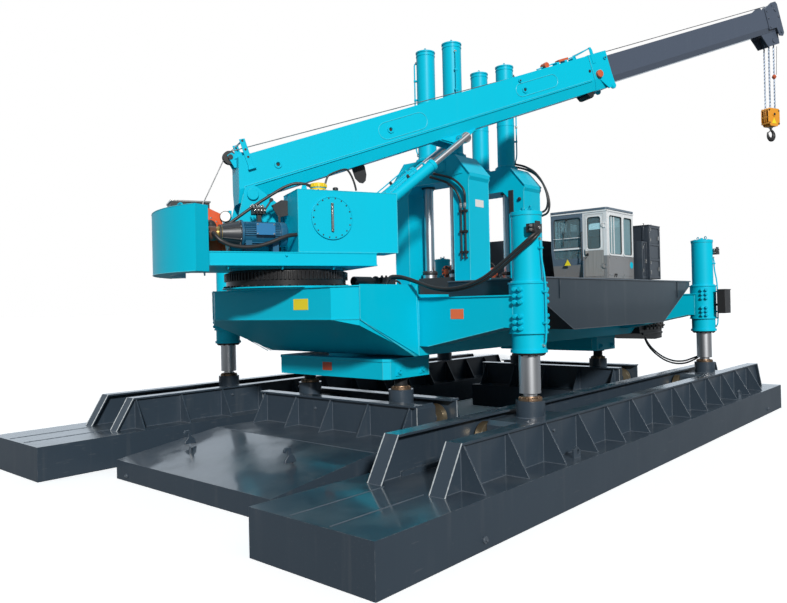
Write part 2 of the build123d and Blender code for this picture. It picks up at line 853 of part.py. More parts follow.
def oil_tank():
    """The oil tank on the near side, stepped back beside the lift cylinder."""
    outline = [(tank_rear, -deck_half), (tank_front, -deck_half), (tank_front, -tank_step),
               (tank_step_from, -tank_step), (tank_step_from, -tank_inner),
               (tank_rear, -tank_inner)]
    tank = plate(outline, deck_top, tank_top, "Z")
    tank += along_y(424, 4011, -deck_half - 22, -deck_half, 327)
    tank += upright(300, -800, tank_top, tank_top + 105, 110)
    tank += upright(300, -800, tank_top + 60, tank_top + 130, 122)
    return to_crane * tank


def counterweight():
    """A curved slab behind the winch, about the slewing axis."""
    ring = upright(0, 0, counter_bottom, counter_top, counter_outer)
    ring -= upright(0, 0, counter_bottom - 1, counter_top + 1, counter_outer - counter_thick)
    reach = 3000
    a = math.radians(counter_half_angle)
    wedge = plate([(0, 0), (-reach * math.cos(a), reach * math.sin(a)),
                   (-reach * math.cos(a), -reach * math.sin(a))],
                  counter_bottom - 2, counter_top + 2, "Z")
    return to_crane * (ring & wedge)


def winch():
    """Hoist winch: drum with rope, two flanges, side plates and its motor."""
    s, z = -1330, 3880
    frames = []
    for y in (-470, 430):
        frames.append(plate([(s - 270, deck_top), (s + 270, deck_top), (s + 210, z + 210),
                             (s - 60, z + 330), (s - 210, z + 210)], y, y + 40, "Y"))
    drum = along_y(s, z, -430, 430, 165)
    for y in (-400, 360):
        drum += along_y(s, z, y, y + 40, 250)
    drum += along_y(s, z, -640, -470, 120)
    shape = drum
    for frame in frames:
        shape += frame
    return to_crane * shape


def pump_unit():
    """Electric motor, bell housing and pump in line, on two feet."""
    y, z = -800, 3765
    unit = along_x(y, z, -900, -260, 165)
    unit += along_x(y, z, -925, -895, 205)
    bell = Pos(-1060, y, z) * Rot(0, 90, 0) * Cone(105, 172, 290)
    unit += bell
    unit += along_x(y, z, -1400, -1200, 78)
    unit += block((-700, -480), (y - 215, y - 130), (z - 20, z + 130))
    for x in (-820, -420):
        unit += block((x - 45, x + 45), (y - 130, y + 130), (deck_top, z - 90))
    return to_crane * unit


# ---------------------------------------------------------------- boom
to_boom = to_crane * Pos(foot_pin_s, 0, foot_pin_z) * Rot(0, -boom_rise, 0)


def boom_section(half, top, crease, floor, floor_half, u0, u1):
    """A closed six-sided boom section between two values of u."""
    points = [(-half, top), (half, top), (half, crease), (floor_half, floor),
              (-floor_half, floor), (-half, crease)]
    return plate(points, u0, u1, "X")


def boom_base():
    """The outer section: plated box, foot boss, tail pulley, head collar and lug."""
    w = boom_wall
    solid = boom_section(boom_half, boom_top, boom_crease, boom_floor, boom_floor_half,
                         boom_tail_bottom, boom_head)
    tail_cut = plate([(boom_tail_bottom - 10, boom_floor - 5),
                      (boom_tail_bottom - 10, boom_top + 5),
                      (boom_tail_top, boom_top + 5), (boom_tail_bottom, boom_floor - 5)],
                     -300, 300, "Y")
    hollow = boom_section(boom_half - w, boom_top - w, boom_crease + 4, boom_floor + w,
                          boom_floor_half - w, 260, boom_head + 10)
    shape = solid - tail_cut - hollow
    # Foot: solid root, bored for the pin
    shape += along_y(0, 0, -boom_half, boom_half, 125)
    # Head: a doubler round the mouth, and a rounded ear below on each side
    d = head_doubler
    collar = boom_section(boom_half + d, boom_top + d, boom_crease, boom_floor - d,
                          boom_floor_half + d, boom_head - head_reach, boom_head + 30)
    collar -= boom_section(boom_half - 1, boom_top - 1, boom_crease, boom_floor + 1,
                           boom_floor_half - 1, boom_head - head_reach - 1, boom_head + 31)
    shape += collar
    for side in (-1, 1):
        y = sorted((side * (boom_half - 20), side * (boom_half + d)))
        ear = plate([(boom_head - 330, boom_crease + 10), (boom_head + 30, boom_crease + 10),
                     (boom_head + 30 + ear_out, ear_v), (boom_head - 130, boom_floor - 40)],
                    y[0], y[1], "Y")
        ear += along_y(boom_head - 30 + ear_out, ear_v, y[0], y[1], ear_radius)
        ear -= along_y(boom_head - 30 + ear_out, ear_v, y[0] - 1, y[1] + 1, 22)
        shape += ear
    # Wear pads in the mouth
    for v0, v1 in ((inner_top + seat_gap, boom_top - w),
                   (boom_floor + w, inner_floor - seat_gap)):
        shape += block((boom_head - 240, boom_head - 20), (-110, 110), (v0, v1))
    for side in (-1, 1):
        y = sorted((side * (inner_half + seat_gap), side * (boom_half - w + 1)))
        shape += block((boom_head - 240, boom_head - 20), tuple(y), (230, 430))
    # Bracket for the lift cylinders' rods, with a short pin each side
    bracket = [(lift_eye_u - 420, boom_floor + 8), (lift_eye_u - 110, lift_eye_v - 70),
               (lift_eye_u + 40, lift_eye_v - 90), (lift_eye_u + 110, lift_eye_v - 30),
               (lift_eye_u + 400, boom_floor + 8)]
    for side in (-1, 1):
        y = sorted((side * (boom_floor_half - 40), side * boom_floor_half))
        shape += plate(bracket, y[0], y[1], "Y")
    pin_reach = lift_n - lift_eye_half - 8
    shape += along_y(lift_eye_u, lift_eye_v, -pin_reach, pin_reach, lift_pin_radius)
    shape += along_y(lift_eye_u, lift_eye_v, -pin_reach + 14, pin_reach - 14, 80)
    # Tail pulley between two ears
    for side in (-1, 1):
        y = sorted((side * 60, side * 84))
        ear = plate([(boom_tail_top - 40, boom_top - 130), (boom_tail_top + 60, boom_top + 10),
                     (-30, boom_top + 110), (-110, boom_top + 90),
                     (boom_tail_top - 80, boom_top - 130)], y[0], y[1], "Y")
        shape += ear
    shape += along_y(-70, boom_top + 50, -90, 90, 24)
    shape += along_y(-70, boom_top + 50, -40, 40, 92)
    # Collared holes along the side
    for u, v in ((575, 330), (2680, 345), (5620, 335)):
        for side in (-1, 1):
            y = sorted((side * (boom_half - boom_wall), side * (boom_half + 9)))
            shape += along_y(u, v, y[0], y[1], 62)
        shape -= along_y(u, v, -boom_half - 10, boom_half + 10, 30)
    shape -= hollow_rest()
    shape -= along_y(0, 0, -boom_half - 1, boom_half + 1, foot_pin_radius + running)
    return to_boom * shape


def hollow_rest():
    """The way kept open inside the outer section, for the inner one."""
    return boom_section(inner_half + 6, inner_top + 0.2, inner_crease, inner_floor - 0.2,
                        inner_floor_half + 6, 300, boom_head - 250)


def boom_inner():
    """The inner section with its tail pads, tip plates and the upper sheaves."""
    w = inner_wall
    shape = boom_section(inner_half, inner_top, inner_crease, inner_floor, inner_floor_half,
                         inner_tail, tip_end - 120)
    shape -= boom_section(inner_half - w, inner_top - w, inner_crease + 3, inner_floor + w,
                          inner_floor_half - w, inner_tail - 10, inner_head)
    clear = 4
    for v0, v1 in ((inner_top - 2, boom_top - boom_wall - clear),
                   (boom_floor + boom_wall + clear, inner_floor + 2)):
        shape += block((inner_tail + 20, inner_tail + 240), (-110, 110), (v0, v1))
    for side in (-1, 1):
        y = sorted((side * (inner_half - 2), side * (boom_half - boom_wall - clear)))
        shape += block((inner_tail + 20, inner_tail + 240), tuple(y), (230, 430))
    for side in (-1, 1):
        y = sorted((side * (inner_half - 6), side * (inner_half + 16)))
        cheek = plate([(inner_head + 260, inner_floor + 60), (inner_head + 260, inner_top),
                       (tip_end - 190, tip_top), (tip_end - 40, tip_top),
                       (tip_end, tip_top - 60), (tip_end, tip_bottom + 60),
                       (tip_end - 60, tip_bottom), (tip_end - 170, tip_bottom + 30),
                       (tip_end - 200, inner_floor + 60)], y[0], y[1], "Y")
        shape += cheek
        y = sorted((side * 118, side * 140))
        housing = plate([(inner_head + 20, inner_floor + 10), (inner_head + 170, -300),
                         (inner_head + 560, -300), (inner_head + 600, inner_floor + 10)],
                        y[0], y[1], "Y")
        shape += housing
    shape += along_y(tip_end - 100, tip_top - 160, -inner_half, inner_half, 30)
    shape += along_y(tip_end - 100, tip_top - 160, -45, 45, 135)
    shape += along_y(sheave_u, sheave_v, -150, 150, 30)
    return to_boom * shape


def hook_block():
    """Four rope falls, the block and the hook, hanging from the upper sheaves."""
    top = 0
    low = -fall_length
    shape = along_y(0, top, -100, 100, 92)
    shape -= along_y(0, top, -151, 151, 30 + running)
    for x in (-80, 80):
        for y in (-60, 60):
            shape += upright(x, y, low - 60, top, 11)
    block_top = low
    half = block_width / 2
    body = plate([(-half, block_top), (half, block_top), (half, block_top - 330),
                  (60, block_top - block_height), (-60, block_top - block_height),
                  (-half, block_top - 330)], -block_depth / 2, block_depth / 2, "Y")
    shape += body
    shank_low = block_top - block_height - hook_drop + 190
    shape += upright(0, 0, shank_low - 40, block_top - block_height + 5, 34)
    ring = Pos(0, 0, shank_low - 70) * Rot(90, 0, 0) * Torus(95, 34)
    gap = block((-150, -20), (-40, 40), (shank_low - 60, shank_low + 60))
    shape += ring - gap
    return shape


def place_hook(shape):
    """Put the hook block under the sheaves, upright in the crane's heading."""
    a = math.radians(boom_rise)
    s = foot_pin_s + sheave_u * math.cos(a) - sheave_v * math.sin(a)
    z = foot_pin_z + sheave_u * math.sin(a) + sheave_v * math.cos(a)
    return to_crane * Pos(s, 0, z) * shape


# ---------------------------------------------------------------- lift cylinders
def lift_line():
    """Rod eye in the crane's own frame, and the cylinder's rise in degrees."""
    a = math.radians(boom_rise)
    s = foot_pin_s + lift_eye_u * math.cos(a) - lift_eye_v * math.sin(a)
    z = foot_pin_z + lift_eye_u * math.sin(a) + lift_eye_v * math.cos(a)
    run, climb = s - lift_foot_s, z - lift_foot_z
    return math.hypot(run, climb), math.degrees(math.atan2(climb, run))


lift_length, lift_rise = lift_line()
to_lift = to_crane * Pos(lift_foot_s, 0, lift_foot_z) * Rot(0, -lift_rise, 0)


def lift_barrels():
    """Both barrels, each on its foot eye, joined to none of the boom's parts."""
    shapes = []
    for y in (-lift_n, lift_n):
        tube = along_x(y, 0, 150, lift_barrel_length, lift_barrel_radius)
        tube += along_x(y, 0, 60, 160, 60)
        tube += along_y(0, 0, y - lift_eye_half, y + lift_eye_half, lift_eye_radius)
        tube -= along_y(0, 0, y - 99, y + 99, lift_pin_radius + running)
        tube -= along_x(y, 0, 240, lift_barrel_length + 5, lift_rod_radius + running)
        shapes.append(to_lift * tube)
    return shapes


def lift_rods():
    """Both rods with their eyes, which end 8 mm outside the boom's pin."""
    shapes = []
    for y in (-lift_n, lift_n):
        rod = along_x(y, 0, lift_rod_tail, lift_length, lift_rod_radius)
        rod += along_y(lift_length, 0, y - lift_eye_half, y + lift_eye_half,
                       lift_eye_radius)
        shapes.append(to_lift * rod)
    return shapes


# ---------------------------------------------------------------- hoses
def tower_hoses():
    """Front: two hoses from the head to pipes down the near post. Rear: two hoses
    from the near press cylinder round the eave to the post's side."""
    face = -portal_far
    stand = face - pipe_stand_off
    shapes = []
    routes = (
        (-886, ((-130, 5297), (-381, 5218), (-598, 5144), (-757, 5036), (-886, 4890),
                (-916, 4780), (-886, 4651))),
        (-788, ((-40, 5240), (-293, 5150), (-500, 5062), (-660, 4943), (-755, 4800),
                (-788, 4646))),
    )
    for pipe_y, route in routes:
        first = route[0]
        points = [(face, first[0], first[1]), (stand - 40, first[0] - 20, first[1] - 8)]
        points += [(stand - 40, y, z) for y, z in route[1:-1]]
        points += [(stand, pipe_y, route[-1][1]), (stand, pipe_y, route[-1][1] - 110)]
        line = hose(points)
        line += upright(stand, pipe_y, pipe_low, route[-1][1] - 100, pipe_radius)
        line += along_x(pipe_y, pipe_low + pipe_radius, face - pipe_stand_off, face, pipe_radius)
        for z in pipe_clamps:
            line += block((stand - pipe_radius - 8, face), (pipe_y - 36, pipe_y + 36),
                          (z, z + 45))
        shapes.append(line - mirror(portal(), about=Plane.YZ))
    barrel = mirror(press_barrel(), about=Plane.XZ)
    for x, z in ((1230, 5760), (1300, 5700)):
        out = math.radians(-60)
        start = (press_x + press_barrel_radius * math.cos(out),
                 -press_y + press_barrel_radius * math.sin(out), z)
        line = hose([start, (x - 80, -700, z - 60), (x, -900, z - 190), (x, -1090, z - 430),
                     (x, -1200, z - 700), (x, -1230, z - 920), (x, -1180, z - 1090),
                     (x, -post_outer, z - 1150)])
        shapes.append(line - barrel - portal())
    return shapes


def leg_hoses():
    """Two hoses from the near front leg's valve to the body's nose."""
    shapes = []
    barrel = mirror(mirror(leg_barrel(), about=Plane.XZ), about=Plane.YZ)
    for out, up in ((0, 0), (62, 30)):
        line = hose([
            (-leg_x - 90, -long_centre_y - leg_barrel_radius + 21, 3660 + up),
            (-3860, -3925, 3655 + up), (-3965 - out, -3890, 3560 + up),
            (-4015 - out, -3700, 3400 + up), (-4040 - out, -3420, 3190 + up),
            (-4060 - out, -3120, 2995 + up), (-4090 - out, -2800, 2890 + up),
            (-4140 - out, -2500, 2860 + up), (-4200 - out, -2230, 2910 + up),
            (-4260 - out, -2000, 3010 + up), (-4320 - out, -1770, 3085 + up),
            (-4390 - out, -1600, 3090 + up), (-4405 - out, -1540, nose_top),
        ])
        shapes.append(line - barrel - chassis())
    return shapes


def crane_hoses():
    """The winch's hose from the tank's top, and the pump's from the tank's side."""
    feed = hose([
        (178, -800, tank_top + 95), (60, -800, tank_top + 125), (-60, -770, tank_top + 130),
        (-220, -735, tank_top + 70), (-430, -705, 4367), (-660, -680, 4214),
        (-870, -650, 4060), (-1050, -610, 3925), (-1211, -600, 3885),
    ])
    suction = hose([
        (-1330, -878, 3765), (-1325, -955, 3740), (-1260, -1005, 3650), (-1110, -1015, 3575),
        (-900, -1018, 3550), (-700, -1012, 3570), (-520, -1010, 3625), (-370, -1010, 3690),
        (-230, -995, 3740), (tank_rear, -970, 3755),
    ], 30)
    shapes = [to_crane * feed, to_crane * suction]
    return [line - oil_tank() - winch() - pump_unit() for line in shapes]


# ---------------------------------------------------------------- write every node
def write_all():
    """Build the pieces and write one file for each node."""
    save("chassis", chassis())
    arms = both_sides(leg_arm())
    save("leg_arms", arms + [mirror(a, about=Plane.YZ) for a in arms])
    barrels = both_sides(leg_barrel())
    save("leg_cylinders", barrels + [mirror(b, about=Plane.YZ) for b in barrels])
    save("ballast_trays", both_sides(ballast_tray()))

    front = mirror(portal(), about=Plane.YZ)
    save("front_portal", front)
    save("rear_portal", portal())
    tubes = both_sides(press_barrel())
    save("press_cylinders", tubes + [mirror(t, about=Plane.YZ) for t in tubes])
    rods = both_sides(press_rod())
    save("press_rods", rods + [mirror(r, about=Plane.YZ) for r in rods])
    save("clamp_box", clamp_box())
    save("clamp_rams", both_ends(clamp_ram()))

    save("cab_frame", cab_frame())
    save("cab_roof", cab_roof_cap())
    save("cab_glass", cab_glass())
    save("cab_door", cab_door())
    save("cab_door_glass", cab_door_glass())
    save("cab_seat", cab_seat())
    save("power_platform", power_platform())
    save("power_cabinets", power_cabinets())

    # Near side is -Y and far side is +Y
    for name, side in (("near", -1), ("far", 1)):
        rod = leg_rod() if side > 0 else mirror(leg_rod(), about=Plane.XZ)
        save(f"{name}_leg_rods", both_ends(rod))
        y = side * long_centre_y
        pontoon = long_pontoon() if side < 0 else mirror(long_pontoon(), about=Plane.XZ)
        save(f"{name}_pontoon", Pos(0, y, 0) * pontoon)
        frame = trolley(leg_trolley_half, leg_axle_offset)
        save(f"{name}_trolleys", [Pos(x, y, 0) * frame for x in (-leg_x, leg_x)])
        for place, x in (("front", -leg_x), ("rear", leg_x)):
            for mark, step in (("a", -leg_axle_offset), ("b", leg_axle_offset)):
                save(f"{name}_{place}_wheelset_{mark}",
                     Pos(x, y, 0) * wheelset(step, Rot(0, 0, 0)))

    for name, end in (("front", -1), ("rear", 1)):
        x = end * carriage_x
        turn = Rot(0, 0, 0) if end < 0 else Rot(0, 0, 180)
        save(f"{name}_short_pontoon", Pos(x, 0, 0) * turn * short_pontoon())
        save(f"{name}_turntable", Pos(x, 0, 0) * turn * turntable())
        frame = Rot(0, 0, 90) * trolley(short_trolley_half, short_axle_offset)
        save(f"{name}_short_trolleys",
             [Pos(x, y, 0) * frame for y in (-short_boss_y, short_boss_y)])
        for place, y in (("near", -short_boss_y), ("far", short_boss_y)):
            for mark, step in (("a", -short_axle_offset), ("b", short_axle_offset)):
                save(f"{name}_{place}_short_wheelset_{mark}",
                     Pos(x, y, 0) * wheelset(step, Rot(0, 0, 90)))

    save("slew_ring", slew_ring())
    save("crane_deck", crane_deck())
    save("oil_tank", oil_tank())
    save("counterweight", counterweight())
    save("winch", winch())
    save("pump_unit", pump_unit())
    save("boom_base", boom_base())
    save("boom_inner", boom_inner())
    save("hook_block", place_hook(hook_block()))
    save("lift_barrels", lift_barrels())
    save("lift_rods", lift_rods())
    save("tower_hoses", tower_hoses())
    save("leg_hoses", leg_hoses())
    save("crane_hoses", crane_hoses())


write_all()
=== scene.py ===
import json
import math
import bmesh
import bpy
from mathutils import Matrix, Vector


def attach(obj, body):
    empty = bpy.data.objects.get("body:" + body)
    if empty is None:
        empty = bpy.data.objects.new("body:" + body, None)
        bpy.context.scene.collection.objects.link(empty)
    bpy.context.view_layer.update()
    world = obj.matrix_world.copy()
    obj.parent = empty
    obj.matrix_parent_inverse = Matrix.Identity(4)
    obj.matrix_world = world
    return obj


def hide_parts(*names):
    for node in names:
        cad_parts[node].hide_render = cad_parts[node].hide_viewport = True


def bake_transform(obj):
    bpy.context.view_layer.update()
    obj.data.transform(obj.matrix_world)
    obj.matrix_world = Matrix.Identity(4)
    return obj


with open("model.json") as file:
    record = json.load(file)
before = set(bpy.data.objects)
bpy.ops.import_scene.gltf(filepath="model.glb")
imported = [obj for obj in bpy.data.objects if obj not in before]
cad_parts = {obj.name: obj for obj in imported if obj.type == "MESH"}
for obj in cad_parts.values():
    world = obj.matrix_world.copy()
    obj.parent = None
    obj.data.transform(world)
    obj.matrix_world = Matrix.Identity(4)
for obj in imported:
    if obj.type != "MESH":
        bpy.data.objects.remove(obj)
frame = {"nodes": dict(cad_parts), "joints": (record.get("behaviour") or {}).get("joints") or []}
nodes = frame["nodes"]
joints = {joint["name"]: joint for joint in frame["joints"]}
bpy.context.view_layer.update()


# ---------------------------------------------------------------- yard, daylight and camera
# The rig stands on a pale floor, lit by one broad soft sun from beyond the crane's near
# corner and by a pale sky. The camera stands low, off the same corner.
def plain_floor():
    """A wide matt floor. The camera sees it brighter, so that it runs into the sky."""
    half = 400.0
    mesh = bpy.data.meshes.new("yard_floor")
    corners = [(-half, -half, 0), (half, -half, 0), (half, half, 0), (-half, half, 0)]
    mesh.from_pydata(corners, [], [(0, 1, 2, 3)])
    floor = bpy.data.objects.new("yard_floor", mesh)
    bpy.context.scene.collection.objects.link(floor)
    look = bpy.data.materials.new("pale_floor")
    look.use_nodes = True
    tree = look.node_tree
    tree.nodes.remove(tree.nodes["Principled BSDF"])
    path = tree.nodes.new("ShaderNodeLightPath")
    mix = tree.nodes.new("ShaderNodeMixShader")
    tree.links.new(path.outputs["Is Camera Ray"], mix.inputs[0])
    for socket, tone in ((mix.inputs[1], 0.30), (mix.inputs[2], 1.55)):
        matt = tree.nodes.new("ShaderNodeBsdfDiffuse")
        matt.inputs["Color"].default_value = (tone, tone, tone, 1)
        tree.links.new(matt.outputs[0], socket)
    tree.links.new(mix.outputs[0], tree.nodes["Material Output"].inputs["Surface"])
    mesh.materials.append(look)


def sky():
    """A pale sky: white to the camera and through glass, brighter ahead in reflections."""
    world = bpy.data.worlds.new("sky")
    bpy.context.scene.world = world
    world.use_nodes = True
    tree = world.node_tree
    light = tree.nodes["Background"]
    light.inputs["Color"].default_value = (0.80, 0.90, 1.0, 1)
    shine = tree.nodes.new("ShaderNodeMapRange")
    shine.inputs["To Min"].default_value = 0.28
    tree.links.new(shine.outputs[0], light.inputs["Strength"])
    seen = tree.nodes.new("ShaderNodeBackground")
    seen.inputs["Color"].default_value = (1, 1, 1, 1)
    path = tree.nodes.new("ShaderNodeLightPath")
    tree.links.new(path.outputs["Is Glossy Ray"], shine.inputs["Value"])
    compass = tree.nodes.new("ShaderNodeTexCoord")
    ahead = tree.nodes.new("ShaderNodeVectorMath")
    ahead.operation = "DOT_PRODUCT"
    ahead.inputs[1].default_value = (0.75, 0.66, 0.10)
    tree.links.new(compass.outputs["Generated"], ahead.inputs[0])
    bright = tree.nodes.new("ShaderNodeMapRange")
    for name, value in (("From Min", -0.3), ("From Max", 0.75), ("To Min", 0.13), ("To Max", 0.95)):
        bright.inputs[name].default_value = value
    tree.links.new(ahead.outputs["Value"], bright.inputs["Value"])
    tree.links.new(bright.outputs[0], shine.inputs["To Max"])
    either = tree.nodes.new("ShaderNodeMath")
    either.operation = "MAXIMUM"
    tree.links.new(path.outputs["Is Camera Ray"], either.inputs[0])
    tree.links.new(path.outputs["Is Transmission Ray"], either.inputs[1])
    mix = tree.nodes.new("ShaderNodeMixShader")
    tree.links.new(either.outputs[0], mix.inputs[0])
    tree.links.new(light.outputs[0], mix.inputs[1])
    tree.links.new(seen.outputs[0], mix.inputs[2])
    tree.links.new(mix.outputs[0], tree.nodes["World Output"].inputs["Surface"])


def sun():
    """A low sun behind the camera, a little to its right."""
    lamp = bpy.data.lights.new("sun", "SUN")
    lamp.energy = 3.6
    lamp.angle = math.radians(5)
    lamp.color = (1.0, 0.98, 0.95)
    holder = bpy.data.objects.new("sun", lamp)
    height, heading = math.radians(24), math.radians(52)
    towards = Vector((math.cos(height) * math.cos(heading),
                      math.cos(height) * math.sin(heading), -math.sin(height)))
    holder.rotation_euler = towards.to_track_quat("-Z", "Y").to_euler()
    bpy.context.scene.collection.objects.link(holder)


def camera():
    """A level camera at eye height on a low bank, 32.5 mm lens, rolled a little."""
    place = Vector((-12.678, -8.950, 2.668))
    heading, pitch, roll = math.radians(41.47), math.radians(0.30), -0.022
    ahead = Vector((math.cos(heading) * math.cos(pitch),
                    math.sin(heading) * math.cos(pitch), math.sin(pitch)))
    right = Vector((math.sin(heading), -math.cos(heading), 0))
    up = right.cross(ahead)
    across = right * math.cos(roll) + up * math.sin(roll)
    upward = up * math.cos(roll) - right * math.sin(roll)
    lens = bpy.data.cameras.new("camera")
    lens.lens = 32.54
    lens.sensor_width = 36.0
    lens.clip_end = 1000.0
    body = bpy.data.objects.new("camera", lens)
    body.matrix_world = Matrix((
        (across.x, upward.x, -ahead.x, place.x),
        (across.y, upward.y, -ahead.y, place.y),
        (across.z, upward.z, -ahead.z, place.z),
        (0, 0, 0, 1),
    ))
    bpy.context.scene.collection.objects.link(body)
    bpy.context.scene.camera = body


bpy.context.scene.view_settings.view_transform = "Standard"
plain_floor()
sky()
sun()
camera()


# ---------------------------------------------------------------- long pontoons
# Two welded steel hulls that the rig walks on. A pair of rails with triangular
# gussets stands on each, and glossy slate paint covers it all, scuffed on top.
def wear_masks():
    """Masks of use on painted plate: mottle, dust that lies on top, runs and rubbed edges."""
    group = bpy.data.node_groups.new("plate wear", "ShaderNodeTree")
    face = group.interface
    face.new_socket("Position", in_out="INPUT", socket_type="NodeSocketVector")
    face.new_socket("Edge Width", in_out="INPUT", socket_type="NodeSocketFloat")
    for name in ("Mottle", "Dust", "Runs", "Scratches", "Edge", "Grain", "Up"):
        face.new_socket(name, in_out="OUTPUT", socket_type="NodeSocketFloat")
    face.new_socket("Rounded", in_out="OUTPUT", socket_type="NodeSocketVector")
    start = group.nodes.new("NodeGroupInput")
    end = group.nodes.new("NodeGroupOutput")
    place = start.outputs["Position"]

    def noise(scale, detail, stretch=(1, 1, 1)):
        turn = group.nodes.new("ShaderNodeMapping")
        turn.inputs["Scale"].default_value = stretch
        group.links.new(place, turn.inputs["Vector"])
        made = group.nodes.new("ShaderNodeTexNoise")
        made.inputs["Scale"].default_value = scale
        made.inputs["Detail"].default_value = detail
        group.links.new(turn.outputs[0], made.inputs["Vector"])
        return made.outputs["Fac"]

    def ramp(value, low, high):
        made = group.nodes.new("ShaderNodeMapRange")
        made.interpolation_type = "SMOOTHSTEP"
        made.inputs["From Min"].default_value = low
        made.inputs["From Max"].default_value = high
        group.links.new(value, made.inputs["Value"])
        return made.outputs["Result"]

    def times(a, b):
        made = group.nodes.new("ShaderNodeMath")
        made.operation = "MULTIPLY"
        group.links.new(a, made.inputs[0])
        group.links.new(b, made.inputs[1])
        return made.outputs[0]

    shape = group.nodes.new("ShaderNodeNewGeometry")
    split = group.nodes.new("ShaderNodeSeparateXYZ")
    group.links.new(shape.outputs["Normal"], split.inputs[0])
    rounded = group.nodes.new("ShaderNodeBevel")
    rounded.samples = 4
    group.links.new(start.outputs["Edge Width"], rounded.inputs["Radius"])
    compare = group.nodes.new("ShaderNodeVectorMath")
    compare.operation = "DOT_PRODUCT"
    group.links.new(rounded.outputs[0], compare.inputs[0])
    group.links.new(shape.outputs["True Normal"], compare.inputs[1])

    upward = ramp(split.outputs["Z"], 0.55, 0.98)
    group.links.new(upward, end.inputs["Up"])
    group.links.new(noise(0.9, 5), end.inputs["Mottle"])
    group.links.new(times(upward, ramp(noise(1.6, 7), 0.40, 0.70)), end.inputs["Dust"])
    group.links.new(ramp(noise(1.0, 6, (7, 7, 0.5)), 0.56, 0.74), end.inputs["Runs"])
    group.links.new(ramp(noise(1.0, 3, (3, 60, 30)), 0.66, 0.70), end.inputs["Scratches"])
    edge = times(ramp(compare.outputs["Value"], 0.985, 0.90), ramp(noise(7, 6), 0.44, 0.60))
    group.links.new(edge, end.inputs["Edge"])
    group.links.new(noise(60, 3), end.inputs["Grain"])
    group.links.new(rounded.outputs[0], end.inputs["Rounded"])
    return group


plate_wear = wear_masks()


class Finish:
    """A material with a Principled shader, built from masks that vary over the piece."""

    def __init__(self, name, slot, roughness, metallic=0.0, coat=0.0, edge_width=0.006):
        self.material = bpy.data.materials.new(name)
        self.material["slot"] = slot
        self.material.use_nodes = True
        self.tree = self.material.node_tree
        self.shader = self.tree.nodes["Principled BSDF"]
        self.shader.inputs["Metallic"].default_value = metallic
        self.shader.inputs["Roughness"].default_value = roughness
        self.shader.inputs["Coat Weight"].default_value = coat
        self.shader.inputs["Coat Roughness"].default_value = 0.10
        self.place = self.tree.nodes.new("ShaderNodeTexCoord").outputs["Object"]
        self.wear = self.tree.nodes.new("ShaderNodeGroup")
        self.wear.node_tree = plate_wear
        self.wear.inputs["Edge Width"].default_value = edge_width
        self.tree.links.new(self.place, self.wear.inputs["Position"])

    def noise(self, scale, detail=3.0, stretch=(1, 1, 1)):
        turn = self.tree.nodes.new("ShaderNodeMapping")
        turn.inputs["Scale"].default_value = stretch
        self.tree.links.new(self.place, turn.inputs["Vector"])
        made = self.tree.nodes.new("ShaderNodeTexNoise")
        made.inputs["Scale"].default_value = scale
        made.inputs["Detail"].default_value = detail
        self.tree.links.new(turn.outputs[0], made.inputs["Vector"])
        return made.outputs["Fac"]

    def ramp(self, value, low, high, to_low=0.0, to_high=1.0):
        made = self.tree.nodes.new("ShaderNodeMapRange")
        made.inputs["From Min"].default_value = low
        made.inputs["From Max"].default_value = high
        made.inputs["To Min"].default_value = to_low
        made.inputs["To Max"].default_value = to_high
        self.tree.links.new(value, made.inputs["Value"])
        return made.outputs["Result"]

    def past(self, point, way, over=0.002):
        """1 beyond a plane through point, on the side that way points to."""
        apart = self.tree.nodes.new("ShaderNodeVectorMath")
        apart.operation = "SUBTRACT"
        self.tree.links.new(self.place, apart.inputs[0])
        apart.inputs[1].default_value = point
        along = self.tree.nodes.new("ShaderNodeVectorMath")
        along.operation = "DOT_PRODUCT"
        self.tree.links.new(apart.outputs[0], along.inputs[0])
        along.inputs[1].default_value = way
        return self.ramp(along.outputs["Value"], 0.0, over)

    def blend(self, under, over, mask, amount=1.0):
        """over laid on under where the mask is high. Both are colours or sockets."""
        made = self.tree.nodes.new("ShaderNodeMix")
        made.data_type = "RGBA"
        share = self.ramp(mask, 0.0, 1.0, 0.0, amount)
        self.tree.links.new(share, made.inputs[0])
        for socket, value in ((made.inputs[6], under), (made.inputs[7], over)):
            if isinstance(value, tuple):
                socket.default_value = (*value, 1)
            else:
                self.tree.links.new(value, socket)
        return made.outputs[2]

    def colour(self, value):
        self.tree.links.new(value, self.shader.inputs["Base Color"])

    def gloss(self, mask, low, high):
        self.tree.links.new(self.ramp(mask, 0.0, 1.0, low, high),
                            self.shader.inputs["Roughness"])

    def relief(self, height, strength, distance):
        bump = self.tree.nodes.new("ShaderNodeBump")
        bump.inputs["Strength"].default_value = strength
        bump.inputs["Distance"].default_value = distance
        self.tree.links.new(height, bump.inputs["Height"])
        self.tree.links.new(self.wear.outputs["Rounded"], bump.inputs["Normal"])
        self.tree.links.new(bump.outputs[0], self.shader.inputs["Normal"])


def plate_paint(name, slot, colour, deep, dusty, bare, gloss, dust, chips, coat, edge_width=0.006):
    """Enamel on steel plate: deeper where it mottles, dusty on top, worn at its edges."""
    finish = Finish(name, slot, roughness=gloss[0], coat=coat, edge_width=edge_width)
    skin = finish.blend(colour, deep, finish.wear.outputs["Mottle"], 0.55)
    skin = finish.blend(skin, dusty, finish.wear.outputs["Runs"], 0.14 * dust)
    skin = finish.blend(skin, dusty, finish.wear.outputs["Dust"], 0.35 * dust)
    skin = finish.blend(skin, dusty, finish.wear.outputs["Scratches"], 0.10 * dust)
    skin = finish.blend(skin, bare, finish.wear.outputs["Edge"], chips)
    finish.colour(skin)
    finish.gloss(finish.wear.outputs["Mottle"], *gloss)
    finish.relief(finish.wear.outputs["Grain"], 0.10, 0.002)
    return finish.material


